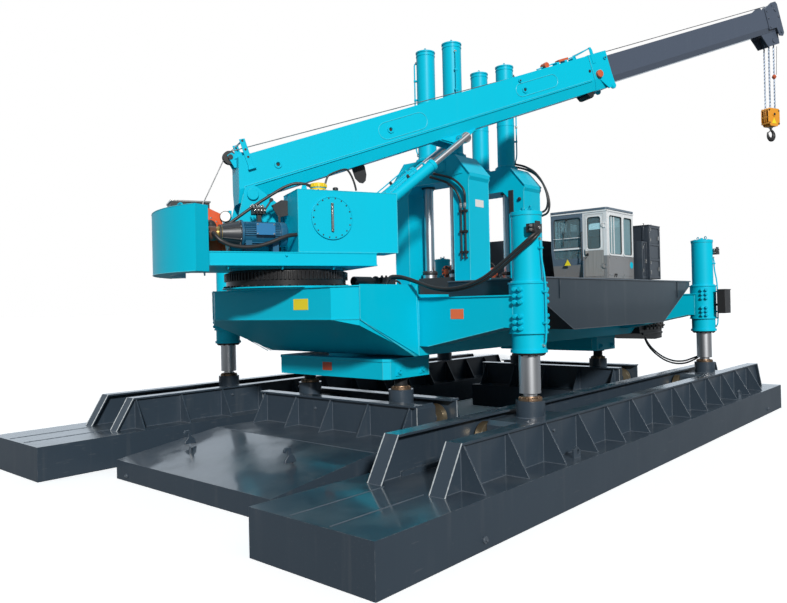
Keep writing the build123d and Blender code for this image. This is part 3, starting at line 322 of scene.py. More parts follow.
def deck_enamel():
    """Slate enamel that is wet-looking on top, where the machine above mirrors in it."""
    finish = Finish("slate_enamel", "slate_paint", roughness=0.3)
    skin = finish.blend((0.036, 0.054, 0.075), (0.026, 0.040, 0.057),
                        finish.wear.outputs["Mottle"], 0.8)
    skin = finish.blend(skin, (0.17, 0.175, 0.18), finish.wear.outputs["Runs"], 0.10)
    skin = finish.blend(skin, (0.16, 0.17, 0.17), finish.wear.outputs["Dust"], 0.22)
    skin = finish.blend(skin, (0.15, 0.16, 0.17), finish.wear.outputs["Scratches"], 0.18)
    skin = finish.blend(skin, (0.26, 0.28, 0.29), finish.wear.outputs["Edge"], 0.55)
    finish.colour(skin)
    finish.gloss(finish.wear.outputs["Mottle"], 0.26, 0.46)
    wet = finish.ramp(finish.wear.outputs["Up"], 0.0, 1.0, 0.05, 0.90)
    finish.tree.links.new(wet, finish.shader.inputs["Coat Weight"])
    rough = finish.ramp(finish.wear.outputs["Dust"], 0.0, 1.0, 0.07, 0.26)
    finish.tree.links.new(rough, finish.shader.inputs["Coat Roughness"])
    finish.relief(finish.wear.outputs["Grain"], 0.08, 0.002)
    return finish.material


slate = deck_enamel()
# Beads, plugs and rims on slate plate take a lighter copy of the slate. The lightness is a painted
# highlight along them, with dust and worn edges laid over it.
weld_highlight_grey = plate_paint("slate_weld_highlight", "slate_paint", (0.080, 0.100, 0.125),
                        (0.045, 0.062, 0.080), (0.17, 0.18, 0.19), (0.22, 0.23, 0.24),
                        (0.30, 0.45), 0.8, 0.6, 0.2, 0.002)
# The beads at the rails' ends take a pale grey that paints the highlight along the rails' slanted
# and upright ends.
rail_end_highlight = plate_paint("rail_end_highlight_weld", "slate_paint", (0.46, 0.50, 0.52),
                      (0.12, 0.14, 0.16), (0.55, 0.56, 0.56), (0.62, 0.63, 0.63),
                      (0.32, 0.45), 0.6, 0.8, 0.1, 0.002)


def dress(node, finish):
    """Give a CAD node its finish."""
    data = nodes[node].data
    data.materials.clear()
    data.materials.append(finish)


def settle(data, name, finish, body, sharp=35):
    """Make a mesh an object of its own, smooth between sharp edges, riding on a body."""
    if not data.materials:
        data.materials.append(finish)
    data.shade_smooth()
    data.set_sharp_from_angle(angle=math.radians(sharp))
    piece = bpy.data.objects.new(name, data)
    bpy.context.scene.collection.objects.link(piece)
    if body:
        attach(piece, body)
    return piece


def grow(name, tree, seed, settings, finish, body):
    """Run a geometry tree on a mesh, its named inputs set, and keep the result as a mesh."""
    holder = bpy.data.objects.new(name + "_seed", seed)
    bpy.context.scene.collection.objects.link(holder)
    growth = holder.modifiers.new("growth", "NODES")
    growth.node_group = tree
    for socket in tree.interface.items_tree:
        if socket.in_out == "INPUT" and socket.name in settings:
            growth[socket.identifier] = settings[socket.name]
        if socket.in_out == "INPUT" and socket.name == "Finish":
            growth[socket.identifier] = finish
    bpy.context.view_layer.update()
    grown = holder.evaluated_get(bpy.context.evaluated_depsgraph_get())
    data = bpy.data.meshes.new_from_object(grown)
    data.name = name
    bpy.data.objects.remove(holder)
    return settle(data, name, finish, body)


def new_tree(name, inputs):
    """A geometry tree with its group input and output and named inputs of its own."""
    tree = bpy.data.node_groups.new(name, "GeometryNodeTree")
    tree.interface.new_socket("Geometry", in_out="INPUT", socket_type="NodeSocketGeometry")
    for label, kind in inputs:
        tree.interface.new_socket(label, in_out="INPUT", socket_type=kind)
    tree.interface.new_socket("Finish", in_out="INPUT", socket_type="NodeSocketMaterial")
    tree.interface.new_socket("Geometry", in_out="OUTPUT", socket_type="NodeSocketGeometry")
    return tree, tree.nodes.new("NodeGroupInput"), tree.nodes.new("NodeGroupOutput")


def weld_tree():
    """A rippled bead along every edge of a mesh, a little uneven from ripple to ripple."""
    tree, given, out = new_tree("weld beads", (("Bead Radius", "NodeSocketFloat"),
                                               ("Ripple", "NodeSocketFloat"),
                                               ("Seed", "NodeSocketInt")))
    links = tree.links
    runs = tree.nodes.new("GeometryNodeMeshToCurve")
    steps = tree.nodes.new("GeometryNodeResampleCurve")
    steps.mode = "LENGTH"
    section = tree.nodes.new("GeometryNodeCurvePrimitiveCircle")
    section.inputs["Resolution"].default_value = 6
    uneven = tree.nodes.new("FunctionNodeRandomValue")
    uneven.inputs[2].default_value = 0.70
    uneven.inputs[3].default_value = 1.20
    swept = tree.nodes.new("GeometryNodeCurveToMesh")
    coat = tree.nodes.new("GeometryNodeSetMaterial")
    links.new(given.outputs["Geometry"], runs.inputs["Mesh"])
    links.new(runs.outputs["Curve"], steps.inputs["Curve"])
    links.new(given.outputs["Ripple"], steps.inputs["Length"])
    links.new(given.outputs["Bead Radius"], section.inputs["Radius"])
    links.new(given.outputs["Seed"], uneven.inputs["Seed"])
    links.new(steps.outputs["Curve"], swept.inputs["Curve"])
    links.new(section.outputs["Curve"], swept.inputs["Profile Curve"])
    links.new(uneven.outputs[1], swept.inputs["Scale"])
    links.new(swept.outputs["Mesh"], coat.inputs["Geometry"])
    links.new(given.outputs["Finish"], coat.inputs["Material"])
    links.new(coat.outputs["Geometry"], out.inputs["Geometry"])
    return tree


beads = weld_tree()


def weld(name, runs, finish, body, radius=0.008, place=None):
    """Weld beads along runs, each a list of points."""
    place = place or Matrix.Identity(4)
    points, edges = [], []
    for run in runs:
        edges += [(len(points) + i, len(points) + i + 1) for i in range(len(run) - 1)]
        points += [place @ Vector(point) for point in run]
    seed = bpy.data.meshes.new(name)
    seed.from_pydata(points, edges, [])
    return grow(name, beads, seed, {"Bead Radius": radius, "Ripple": 0.03, "Seed": 7},
                finish, body)


class Piece:
    """A mesh built up from simple shapes, laid down in one frame of the rig, in metres."""

    def __init__(self, name, place=None):
        self.name = name
        self.place = place or Matrix.Identity(4)
        self.mesh = bmesh.new()

    def turned(self, foot, axis, profile, sides=28, closed=False):
        """A body of revolution. profile lists (distance along the axis, radius)."""
        stand = Vector(axis).to_track_quat("Z", "Y").to_matrix().to_4x4()
        place = self.place @ Matrix.Translation(foot) @ stand
        rings = []
        for along, radius in profile:
            ring = []
            for i in range(sides):
                turn = 2 * math.pi * i / sides
                at = Vector((radius * math.cos(turn), radius * math.sin(turn), along))
                ring.append(self.mesh.verts.new(place @ at))
            rings.append(ring)
        steps = list(zip(rings, rings[1:]))
        if closed:
            steps.append((rings[-1], rings[0]))
        for low, high in steps:
            for i in range(sides):
                j = (i + 1) % sides
                self.mesh.faces.new((low[i], low[j], high[j], high[i]))
        if not closed:
            self.mesh.faces.new(rings[0])
            self.mesh.faces.new(rings[-1])

    def bar(self, start, end, radius, tip=None, sides=20):
        """A round bar, tapering to tip where that is given."""
        way = Vector(end) - Vector(start)
        last = radius if tip is None else tip
        self.turned(start, way, [(0, radius), (way.length, last)], sides)

    def slab(self, low, high):
        """A box between any two opposite corners."""
        low, high = Vector(map(min, low, high)), Vector(map(max, low, high))
        size = Matrix.Diagonal((*(high - low), 1))
        middle = Matrix.Translation((low + high) / 2)
        bmesh.ops.create_cube(self.mesh, size=1.0, matrix=self.place @ middle @ size)

    def plate(self, outline, thick):
        """A flat outline with a thickness, given as the vector from face to face."""
        near = [self.mesh.verts.new(self.place @ Vector(p)) for p in outline]
        far = [self.mesh.verts.new(self.place @ (Vector(p) + Vector(thick))) for p in outline]
        self.mesh.faces.new(near)
        self.mesh.faces.new(far)
        for i in range(len(outline)):
            j = (i + 1) % len(outline)
            self.mesh.faces.new((near[i], near[j], far[j], far[i]))

    def done(self, finish, body, soften=0.003):
        """Close the piece, soften its edges, and let it ride on a body."""
        bmesh.ops.recalc_face_normals(self.mesh, faces=self.mesh.faces)
        data = bpy.data.meshes.new(self.name)
        self.mesh.to_mesh(data)
        self.mesh.free()
        piece = settle(data, self.name, finish, body)
        if soften:
            round_over = piece.modifiers.new("round_over", "BEVEL")
            round_over.width = soften
            round_over.segments = 2
            round_over.limit_method = "ANGLE"
            round_over.angle_limit = math.radians(40)
        return piece


def swept(name, points, radius, kind, sides):
    """A round cable or pipe along a line of points, as a bare mesh."""
    line = bpy.data.curves.new(name, "CURVE")
    line.dimensions = "3D"
    line.bevel_depth = radius
    line.bevel_resolution = sides
    line.use_fill_caps = True
    run = line.splines.new(kind)
    run.points.add(len(points) - 1)
    for knot, point in zip(run.points, points):
        knot.co = (*point, 1)
    if kind == "NURBS":
        run.order_u = 3
        run.use_endpoint_u = True
        run.resolution_u = 5
    holder = bpy.data.objects.new(name + "_line", line)
    bpy.context.scene.collection.objects.link(holder)
    bpy.context.view_layer.update()
    data = bpy.data.meshes.new_from_object(
        holder.evaluated_get(bpy.context.evaluated_depsgraph_get()))
    data.name = name
    data.materials.clear()
    bpy.data.objects.remove(holder)
    return data


def tube(name, points, radius, finish, body, place=None, sides=3):
    """A pipe, rod or cable whose smooth line is led by the given points."""
    place = place or Matrix.Identity(4)
    data = swept(name, [place @ Vector(point) for point in points], radius, "NURBS", sides)
    return settle(data, name, finish, body)


hull_top = 0.550
rail_top = 1.100
flange = 0.030
web = 0.030
half_gauge = 0.505
gusset_foot = 0.330
rail_lean = 0.330
hull_front = -8.030
rail_start = hull_front + 1.485
rail_end = hull_front + 14.350 - 0.325
gussets = [rail_start + rail_lean + 0.070 + 0.925 * i for i in range(13)]
leg_y = 3.630


def pontoon_welds(side, centre):
    """Beads at the foot of each rail and round each gusset, and pale beads up the rails' slanted
    ends that paint their highlight, as runs of points.
    """
    runs, worn = [], []
    for wall in (-1, 1):
        face = centre + wall * (half_gauge + web / 2)
        inner = centre + wall * (half_gauge - web / 2)
        for y in (face, inner):
            runs.append([(rail_start + 0.03, y, hull_top), (rail_end - 0.03, y, hull_top)])
        for x in gussets:
            foot = centre + wall * (half_gauge + web / 2 + gusset_foot)
            for way in (-1, 1):
                runs.append([(x + way * 0.011, face, rail_top - flange),
                             (x + way * 0.011, face, hull_top),
                             (x + way * 0.011, foot, hull_top)])
        low = centre + wall * (half_gauge + web / 2 + 0.060)
        high = centre + wall * (half_gauge - web / 2 - 0.130)
        # The beads up each rail's slanted end go in worn. Their pale grey is a painted highlight.
        for start, lean in ((rail_start, rail_lean), (rail_end, -rail_lean)):
            for y in (low, high):
                worn.append([(start, y, hull_top), (start + lean, y, rail_top)])
            runs.append([(start, low, hull_top), (start, high, hull_top)])
    for y in (-0.28, 0.31):
        runs.append([(hull_front + 0.05, centre + y, hull_top), (rail_start, centre + y, hull_top)])
    return runs, worn


def pontoon_plugs(side, centre):
    """Drain plugs low on the hull, and eye bolts on the rails' webs."""
    piece = Piece(f"{side}_pontoon_plugs")
    for way in (-1, 1):
        wall = centre + way * 0.921
        for x in (-6.30, 5.10):
            piece.turned((x, wall, 0.115), (0, way, 0), [(0, 0.040), (0.022, 0.040)], 20)
            piece.turned((x, wall, 0.115), (0, way, 0), [(0.02, 0.020), (0.045, 0.020)], 4)
        face = centre + way * (half_gauge + web / 2)
        for x in (gussets[2] + 0.25, gussets[9] + 0.25):
            piece.turned((x, face, 0.93), (0, way, 0), [(0, 0.022), (0.030, 0.022)], 6)
    return piece


for side, way in (("near", -1), ("far", 1)):
    centre = way * leg_y
    dress(f"{side}_pontoon", slate)
    # rubbed holds the beads up the rails' slanted ends, which carry the painted highlight.
    seams, rubbed = pontoon_welds(side, centre)
    weld(f"{side}_pontoon_welds", seams, weld_highlight_grey, f"{side}_pontoon", 0.007)
    weld(f"{side}_rail_end_welds", rubbed, rail_end_highlight, f"{side}_pontoon", 0.008)
    pontoon_plugs(side, centre).done(weld_highlight_grey, f"{side}_pontoon")


# ---------------------------------------------------------------- short pontoons
# Two broad sledges across the rig, each with a sloping toe and cross rails. They
# have the same enamel and beads as the long ones, and tow plugs in the toe.
carriage_x = 3.690
short_reach = 1.898
short_gussets = (-1.78, -0.89, 0.0, 0.89, 1.78)
for end, way in (("front", -1), ("rear", 1)):
    dress(f"{end}_short_pontoon", slate)
    seams, rubbed = [], []
    for wall in (-1, 1):
        face = way * carriage_x + wall * (half_gauge + web / 2)
        inner = way * carriage_x + wall * (half_gauge - web / 2)
        for x in (face, inner):
            seams.append([(x, -short_reach, hull_top), (x, short_reach, hull_top)])
        foot = face + wall * gusset_foot
        for y in short_gussets:
            for turn in (-0.011, 0.011):
                seams.append([(face, y + turn, rail_top - flange), (face, y + turn, hull_top),
                              (foot, y + turn, hull_top)])
        # Upright beads at each rail's end, in the pale grey that paints their highlight.
        for y in (-short_reach, short_reach):
            rubbed.append([(face, y, hull_top), (face, y, rail_top - flange)])
    fold = way * (carriage_x + 3.430 - 1.900)
    seams.append([(fold, -1.93, hull_top), (fold, 1.93, hull_top)])
    weld(f"{end}_short_welds", seams, weld_highlight_grey, f"{end}_short_pontoon", 0.007)
    weld(f"{end}_short_rail_ends", rubbed, rail_end_highlight, f"{end}_short_pontoon", 0.006)
    plugs = Piece(f"{end}_short_plugs")
    toe = way * (carriage_x + 3.430)
    for y in (-1.62, 1.62):
        plugs.turned((toe, y, 0.085), (way, 0, 0), [(0, 0.034), (0.020, 0.034)], 20)
        plugs.turned((toe, y, 0.085), (way, 0, 0), [(0.018, 0.018), (0.040, 0.018)], 4)
    web_face = way * (carriage_x + half_gauge + web / 2)
    plugs.turned((web_face, -way * 0.42, 0.885), (way, 0, 0), [(0, 0.026), (0.018, 0.026)], 16)
    plugs.done(weld_highlight_grey, f"{end}_short_pontoon")


# ---------------------------------------------------------------- trolleys and wheelsets
# Welded trolleys roll between the rails on flanged wheels of bare, worn steel. A
# bolted split ring on each boss clamps the neck of the leg that stands on it.
def bolt_tree():
    """A hexagon head on a washer at every point, facing the way its 'away' points."""
    tree, given, out = new_tree("hexagon bolts", (("Across", "NodeSocketFloat"),
                                                  ("Height", "NodeSocketFloat")))
    links = tree.links
    half = tree.nodes.new("ShaderNodeMath")
    half.operation = "MULTIPLY"
    half.inputs[1].default_value = 0.577
    head = tree.nodes.new("GeometryNodeMeshCylinder")
    head.inputs["Vertices"].default_value = 6
    washer = tree.nodes.new("GeometryNodeMeshCylinder")
    washer.inputs["Vertices"].default_value = 18
    wide = tree.nodes.new("ShaderNodeMath")
    wide.operation = "MULTIPLY"
    wide.inputs[1].default_value = 0.72
    thin = tree.nodes.new("ShaderNodeMath")
    thin.operation = "MULTIPLY"
    thin.inputs[1].default_value = 0.36
    both = tree.nodes.new("GeometryNodeJoinGeometry")
    away = tree.nodes.new("GeometryNodeInputNamedAttribute")
    away.data_type = "FLOAT_VECTOR"
    away.inputs["Name"].default_value = "away"
    turn = tree.nodes.new("FunctionNodeAlignRotationToVector")
    turn.axis = "Z"
    placed = tree.nodes.new("GeometryNodeInstanceOnPoints")
    real = tree.nodes.new("GeometryNodeRealizeInstances")
    coat = tree.nodes.new("GeometryNodeSetMaterial")
    links.new(given.outputs["Across"], half.inputs[0])
    links.new(half.outputs[0], head.inputs["Radius"])
    links.new(given.outputs["Height"], head.inputs["Depth"])
    links.new(given.outputs["Across"], wide.inputs[0])
    links.new(wide.outputs[0], washer.inputs["Radius"])
    links.new(given.outputs["Height"], thin.inputs[0])
    links.new(thin.outputs[0], washer.inputs["Depth"])
    links.new(head.outputs["Mesh"], both.inputs["Geometry"])
    links.new(washer.outputs["Mesh"], both.inputs["Geometry"])
    links.new(away.outputs["Attribute"], turn.inputs["Vector"])
    links.new(given.outputs["Geometry"], placed.inputs["Points"])
    links.new(both.outputs["Geometry"], placed.inputs["Instance"])
    links.new(turn.outputs["Rotation"], placed.inputs["Rotation"])
    links.new(placed.outputs["Instances"], real.inputs["Geometry"])
    links.new(real.outputs["Geometry"], coat.inputs["Geometry"])
    links.new(given.outputs["Finish"], coat.inputs["Material"])
    links.new(coat.outputs["Geometry"], out.inputs["Geometry"])
    return tree


bolt_heads = bolt_tree()


def bolts(name, places, across, finish, body, height=None, frame_of=None):
    """Bolt heads at places, each a point on a surface and the direction out of it."""
    height = height or across * 0.62
    frame_of = frame_of or Matrix.Identity(4)
    turn = frame_of.to_3x3()
    seed = bpy.data.meshes.new(name)
    ways = [(turn @ Vector(way)).normalized() for _, way in places]
    points = [frame_of @ Vector(at) + way * height * 0.4 for (at, _), way in zip(places, ways)]
    seed.from_pydata(points, [], [])
    away = seed.attributes.new("away", "FLOAT_VECTOR", "POINT")
    for i, way in enumerate(ways):
        away.data[i].vector = way
    return grow(name, bolt_heads, seed, {"Across": across, "Height": height}, finish, body)


def around(centre, axis, radius, count, first=0.0):
    """count places on a circle, facing along the circle's axis."""
    stand = Vector(axis).to_track_quat("Z", "Y").to_matrix()
    places = []
    for i in range(count):
        turn = 2 * math.pi * i / count + first
        spoke = stand @ Vector((radius * math.cos(turn), radius * math.sin(turn), 0))
        places.append((Vector(centre) + spoke, Vector(axis)))
    return places


def worn_steel(name, tint, deep, shine, gloss):
    """Bare steel rolled bright, with brown grease in rings and streaks."""
    finish = Finish(name, "worn_steel", roughness=0.35, metallic=0.85, edge_width=0.004)
    rings = finish.noise(3.0, 5, (1, 1, 1))
    skin = finish.blend(tint, deep, finish.ramp(rings, 0.35, 0.65), 0.9)
    skin = finish.blend(skin, shine, finish.wear.outputs["Edge"], 0.8)
    finish.colour(skin)
    finish.gloss(rings, *gloss)
    finish.relief(finish.wear.outputs["Grain"], 0.12, 0.002)
    return finish.material


def greasy_black(name, slot, tone, gloss):
    """Black steel or cast iron under grease, a little dusty on top."""
    finish = Finish(name, slot, roughness=gloss[0], edge_width=0.004)
    skin = finish.blend(tone, tuple(c * 0.45 for c in tone), finish.wear.outputs["Mottle"])
    skin = finish.blend(skin, (0.12, 0.11, 0.10), finish.wear.outputs["Dust"], 0.3)
    skin = finish.blend(skin, (0.22, 0.22, 0.22), finish.wear.outputs["Edge"], 0.5)
    finish.colour(skin)
    finish.gloss(finish.wear.outputs["Mottle"], *gloss)
    finish.relief(finish.wear.outputs["Grain"], 0.2, 0.003)
    return finish.material


wheel_steel = worn_steel("worn_wheel_steel", (0.52, 0.42, 0.27), (0.20, 0.14, 0.085),
                         (0.72, 0.66, 0.52), (0.20, 0.45))
ring_steel = worn_steel("brown_clamp_steel", (0.30, 0.20, 0.13), (0.12, 0.085, 0.06),
                        (0.50, 0.42, 0.32), (0.35, 0.6))
black_iron = greasy_black("black_iron", "black_steel", (0.028, 0.028, 0.030), (0.34, 0.58))
for name in nodes:
    if "wheelset" in name:
        dress(name, wheel_steel)
    if "trolleys" in name:
        dress(name, slate)

wheel_z = 0.775
boss_top = 1.265
leg_x = 3.740
stands = []
for side, way in (("near", -1), ("far", 1)):
    for x in (-leg_x, leg_x):
        stands.append((f"{side}_{'front' if x < 0 else 'rear'}_leg", f"{side}_legs", x, way * leg_y,
                       0.560, 0.640, (1, 0)))
for end, way in (("front", -1), ("rear", 1)):
    for y in (-1.130, 1.130):
        stands.append((f"{end}_{'near' if y < 0 else 'far'}_short", f"{end}_carriage",
                       way * carriage_x, y, 0.400, 0.470, (0, 1)))
for name, body, x, y, axle, half, (ax, ay) in stands:
    ring = Piece(f"{name}_split_ring")
    for start in (0, 1):
        arc = [math.pi * (start + (i + 0.12) / 12.24) + 0.4 for i in range(13)]
        outer = [(x + 0.172 * math.cos(a), y + 0.172 * math.sin(a), boss_top) for a in arc]
        inner = [(x + 0.104 * math.cos(a), y + 0.104 * math.sin(a), boss_top) for a in arc]
        ring.plate(outer + inner[::-1], (0, 0, 0.034))
    ring.turned((x, y, boss_top), (0, 0, 1), [(0.034, 0.104), (0.034, 0.128), (0.062, 0.122),
                                              (0.062, 0.104)], 28, closed=True)
    ring.done(ring_steel, body)
    bolts(f"{name}_ring_bolts", around((x, y, boss_top + 0.034), (0, 0, 1), 0.146, 10, 0.2),
          0.028, ring_steel, body)
    caps = Piece(f"{name}_axle_caps")
    for step in (-axle, axle):
        for out in (-1, 1):
            at = (x + ax * step + ay * out * 0.325, y + ay * step + ax * out * 0.325, wheel_z)
            caps.turned(at, (ay * out, ax * out, 0), [(0, 0.090), (0.006, 0.090)], 24)
    caps.done(slate, body, 0)
    welds = []
    welds.append([(x + 0.209 * math.cos(a / 12 * math.pi), y + 0.209 * math.sin(a / 12 * math.pi),
                   1.030) for a in range(25)])
    weld(f"{name}_boss_weld", welds, weld_highlight_grey, body, 0.008)

# Black rubber sleeves cover the bare necks between the carriages and their trolleys
for end, way in (("front", -1), ("rear", 1)):
    sleeves = Piece(f"{end}_neck_sleeves")
    for y in (-1.130, 1.130):
        rows = [(0, 0.104)]
        for i in range(5):
            rows += [(0.010 + i * 0.024, 0.112), (0.022 + i * 0.024, 0.104)]
        sleeves.turned((way * carriage_x, y, boss_top + 0.062), (0, 0, 1), rows, 28)
    sleeves.done(black_iron, f"{end}_carriage", 0)

# Plain tow hooks, bent from flat bar, stand on the toe of the short pontoon
for side, x, y in (("near", -6.122, -1.133), ("far", -6.164, 1.334)):
    hook = Piece(f"{side}_tow_hook")
    hook.plate([(x - 0.11, y - 0.016, 0.470), (x + 0.11, y - 0.016, 0.470),
                (x + 0.07, y - 0.016, 0.560), (x + 0.02, y - 0.016, 0.590),
                (x + 0.02, y - 0.016, 0.665), (x - 0.015, y - 0.016, 0.695),
                (x - 0.085, y - 0.016, 0.695), (x - 0.115, y - 0.016, 0.665),
                (x - 0.115, y - 0.016, 0.625), (x - 0.078, y - 0.016, 0.625),
                (x - 0.065, y - 0.016, 0.650), (x - 0.035, y - 0.016, 0.640),
                (x - 0.035, y - 0.016, 0.575), (x - 0.09, y - 0.016, 0.520)], (0, 0.032, 0))
    hook.done(slate, "front_short_pontoon", 0.005)


# ---------------------------------------------------------------- body
# The turquoise box body with its crane nose, leg arms and turntable boxes: enamel on
# folded and welded plate, with beads along the joints and blank plates riveted on.
turquoise = plate_paint("turquoise_enamel", "cyan_paint", (0.0, 0.500, 0.680),
                        (0.0, 0.440, 0.610), (0.06, 0.50, 0.62), (0.03, 0.09, 0.11),
                        (0.34, 0.48), 0.30, 0.40, 0.04)
turquoise.node_tree.nodes["Principled BSDF"].inputs["Specular IOR Level"].default_value = 0.14
for name in ("chassis", "leg_arms", "leg_cylinders", "front_portal", "rear_portal",
             "press_cylinders", "front_turntable", "rear_turntable", "crane_deck",
             "oil_tank", "counterweight", "boom_base", "lift_barrels"):
    dress(name, turquoise)
# Beads on turquoise plate take a lighter copy of the turquoise. The lightness is a painted
# highlight along them, with dust and chipped edges laid over it.
weld_highlight_cyan = plate_paint("turquoise_weld_highlight", "cyan_paint", (0.05, 0.60, 0.74),
                        (0.002, 0.36, 0.46), (0.25, 0.65, 0.74), (0.30, 0.60, 0.66),
                        (0.25, 0.40), 0.5, 0.4, 0.3, 0.002)


def enamel(name, slot, colour, gloss, coat=0.3, edge=(0.4, 0.4, 0.4), chips=0.3):
    """A plain enamel with a little mottle, for small painted pieces."""
    deep = tuple(c * 0.72 for c in colour)
    return plate_paint(name, slot, colour, deep, (0.40, 0.40, 0.38), edge, gloss, 0.3, chips,
                       coat, 0.003)


sign_yellow = enamel("yellow_sign", "yellow_paint", (0.90, 0.72, 0.02), (0.35, 0.45), 0.1)
sign_orange = enamel("orange_sign", "yellow_paint", (0.86, 0.16, 0.045), (0.35, 0.45), 0.1)
sign_white = enamel("white_sign", "white_paint", (0.80, 0.80, 0.78), (0.35, 0.45), 0.1)
sign_red = enamel("red_sign", "red_primer", (0.62, 0.09, 0.035), (0.35, 0.45), 0.1)


def sign(name, middle, across, up, size, finish, body):
    """A blank plate on a wall, held by four rivets."""
    across, up = Vector(across).normalized(), Vector(up).normalized()
    out = across.cross(up)
    stand = Matrix.Translation(middle) @ Matrix((
        (across.x, up.x, out.x, 0), (across.y, up.y, out.y, 0), (across.z, up.z, out.z, 0),
        (0, 0, 0, 1)))
    wide, high = size[0] / 2, size[1] / 2
    piece = Piece(name, stand)
    piece.slab((-wide, -high, 0), (wide, high, 0.004))
    for x in (-1, 1):
        for y in (-1, 1):
            at = (x * (wide - 0.012), y * (high - 0.012), 0.003)
            piece.turned(at, (0, 0, 1), [(0, 0.005), (0.003, 0.004)], 10)
    piece.done(finish, body, 0.001)


body_end = 5.555
body_side = 1.800
body_bottom = 1.860
nose_top = 2.970
nose_bottom = 2.475
nose_back = body_end - 1.485
corner_x = body_end - 0.215
corner_y = body_side - 0.360

beaded = []
for way in (-1, 1):
    side_face = way * (body_side + 0.020)
    beaded.append([(-corner_x, side_face, nose_bottom + 0.01), (-corner_x, side_face, nose_top)])
    beaded.append([(-corner_x, side_face, nose_bottom),
                   (-nose_back - 0.06, side_face, body_bottom)])
    beaded.append([(-nose_back, side_face, nose_top), (-nose_back + 0.04, side_face, body_bottom)])
    for end in (-1, 1):
        beaded.append([(end * body_end, way * corner_y, nose_bottom),
                       (end * corner_x, way * body_side, nose_bottom),
                       (end * nose_back, way * body_side, body_bottom)])
beaded.append([(-body_end, -corner_y, nose_bottom), (-body_end, corner_y, nose_bottom)])
weld("body_welds", beaded, weld_highlight_cyan, "machine", 0.007)

# Lips of the nose's top and bottom plates, which run round its cut corners
lips = Piece("nose_lips")
for low, high, out in ((nose_top - 0.020, nose_top, 0.026),
                       (nose_bottom, nose_bottom + 0.016, 0.014)):
    lips.slab((-body_end - out, -corner_y, low), (-body_end + 0.002, corner_y, high))
    for way in (-1, 1):
        lips.plate([(-body_end - out, way * corner_y, low),
                    (-corner_x - out * 0.5, way * (body_side + out * 0.8), low),
                    (-corner_x + 0.004, way * (body_side - 0.004), low),
                    (-body_end + 0.004, way * (corner_y - 0.004), low)], (0, 0, high - low))
lips.done(turquoise, "machine")

sign("nose_plate", (-body_end, -0.784, 2.710), (0, -1, 0), (0, 0, 1), (0.33, 0.166),
     sign_yellow, "machine")
arm_face = leg_x + 0.250
sign("arm_plate", (-arm_face, -2.548, 2.514), (0, -1, 0), (0, 0, 1), (0.24, 0.15),
     sign_orange, "machine")

# Turntable boxes: beads under the rim, a blank plate on the front one, lifting lugs
turn_x, turn_y = 0.578, 1.345
turn_top, turn_bottom, turn_rim = 1.805, 1.475, 0.045
for end, way in (("front", -1), ("rear", 1)):
    middle = way * carriage_x
    rim_low = turn_top - turn_rim
    ring = [(turn_x - 0.09, -turn_y), (turn_x, -turn_y + 0.09), (turn_x, turn_y - 0.09),
            (turn_x - 0.09, turn_y), (0.09 - turn_x, turn_y), (-turn_x, turn_y - 0.09),
            (-turn_x, 0.09 - turn_y), (0.09 - turn_x, -turn_y)]
    loop = [(middle + x, y, rim_low) for x, y in ring + ring[:1]]
    drops = [[(middle + x, y, rim_low), (middle + x, y, turn_bottom)] for x, y in ring]
    weld(f"{end}_turntable_welds", [loop] + drops, weld_highlight_cyan, f"{end}_carriage", 0.006)
    lugs = Piece(f"{end}_turntable_lugs")
    for x in (-0.30, 0.30):
        for out in (-1, 1):
            face = out * turn_y
            at = middle + x
            lugs.plate([(at - 0.07, face, 1.52), (at + 0.07, face, 1.52), (at + 0.05, face, 1.64),
                        (at - 0.05, face, 1.64)], (0, out * 0.020, 0))
            lugs.turned((at, face + out * 0.02, 1.59), (0, out, 0),
                        [(0, 0.022), (0, 0.042), (0.03, 0.042), (0.03, 0.022)], 20, closed=True)
    lugs.done(turquoise, f"{end}_carriage")
    brackets = Piece(f"{end}_neck_guards")
    for y in (-1.130, 1.130):
        brackets.turned((middle, y, turn_bottom - 0.030), (0, 0, 1),
                        [(0, 0.101), (0, 0.150), (0.030, 0.165), (0.030, 0.101)], 28, closed=True)
    brackets.done(black_iron, f"{end}_carriage")
sign("turntable_plate", (-carriage_x - turn_x, 0.036, 1.647), (0, -1, 0), (0, 0, 1),
     (0.23, 0.14), sign_red, "front_carriage")

# Under the rear of the body hangs a black valve bank with its guard plates; forward of
# it, a pump motor and its valves stand dark on the body beside the slewing ring
bank = Piece("rear_valve_bank")
bank.plate([(4.22, -1.92, 2.32), (5.79, -1.92, 2.24), (5.77, -1.92, 1.68), (5.33, -1.92, 1.66),
            (4.36, -1.92, 1.84)], (0, 1.05, 0))
for i in range(5):
    x = 4.62 + i * 0.24
    bank.slab((x, -1.985, 1.92), (x + 0.15, -1.915, 2.10))
    bank.turned((x + 0.075, -1.985, 2.01), (0, -1, 0), [(0, 0.034), (0.035, 0.034), (0.035, 0.018),
                                                       (0.06, 0.018)], 12)
bank.slab((4.45, -1.97, 1.80), (5.70, -1.93, 1.85))
bank.done(black_iron, "machine", 0.006)
pump = Piece("deck_pump_group")
pump.turned((-4.26, -0.62, 3.080), (1, 0, 0), [(0, 0.060), (0.020, 0.082), (0.420, 0.082),
                                              (0.440, 0.064), (0.520, 0.058), (0.540, 0.096),
                                              (0.570, 0.096)], 32)
pump.slab((-3.68, -0.76, 2.970), (-3.34, -0.48, 3.150))
pump.slab((-4.20, -0.70, 2.970), (-3.80, -0.54, 3.020))
for x in (-3.62, -3.51, -3.40):
    pump.turned((x, -0.69, 3.145), (0, 0, 1), [(0, 0.028), (0.020, 0.028), (0.020, 0.018),
                                              (0.042, 0.018)], 12)
pump.done(black_iron, "machine", 0.005)
tube("deck_pump_hose", [(-3.35, -0.62, 3.08), (-3.26, -0.62, 3.10), (-3.18, -0.64, 3.10),
                        (-3.10, -0.66, 3.06), (-3.08, -0.66, 2.97)], 0.020,
     black_iron, "machine")


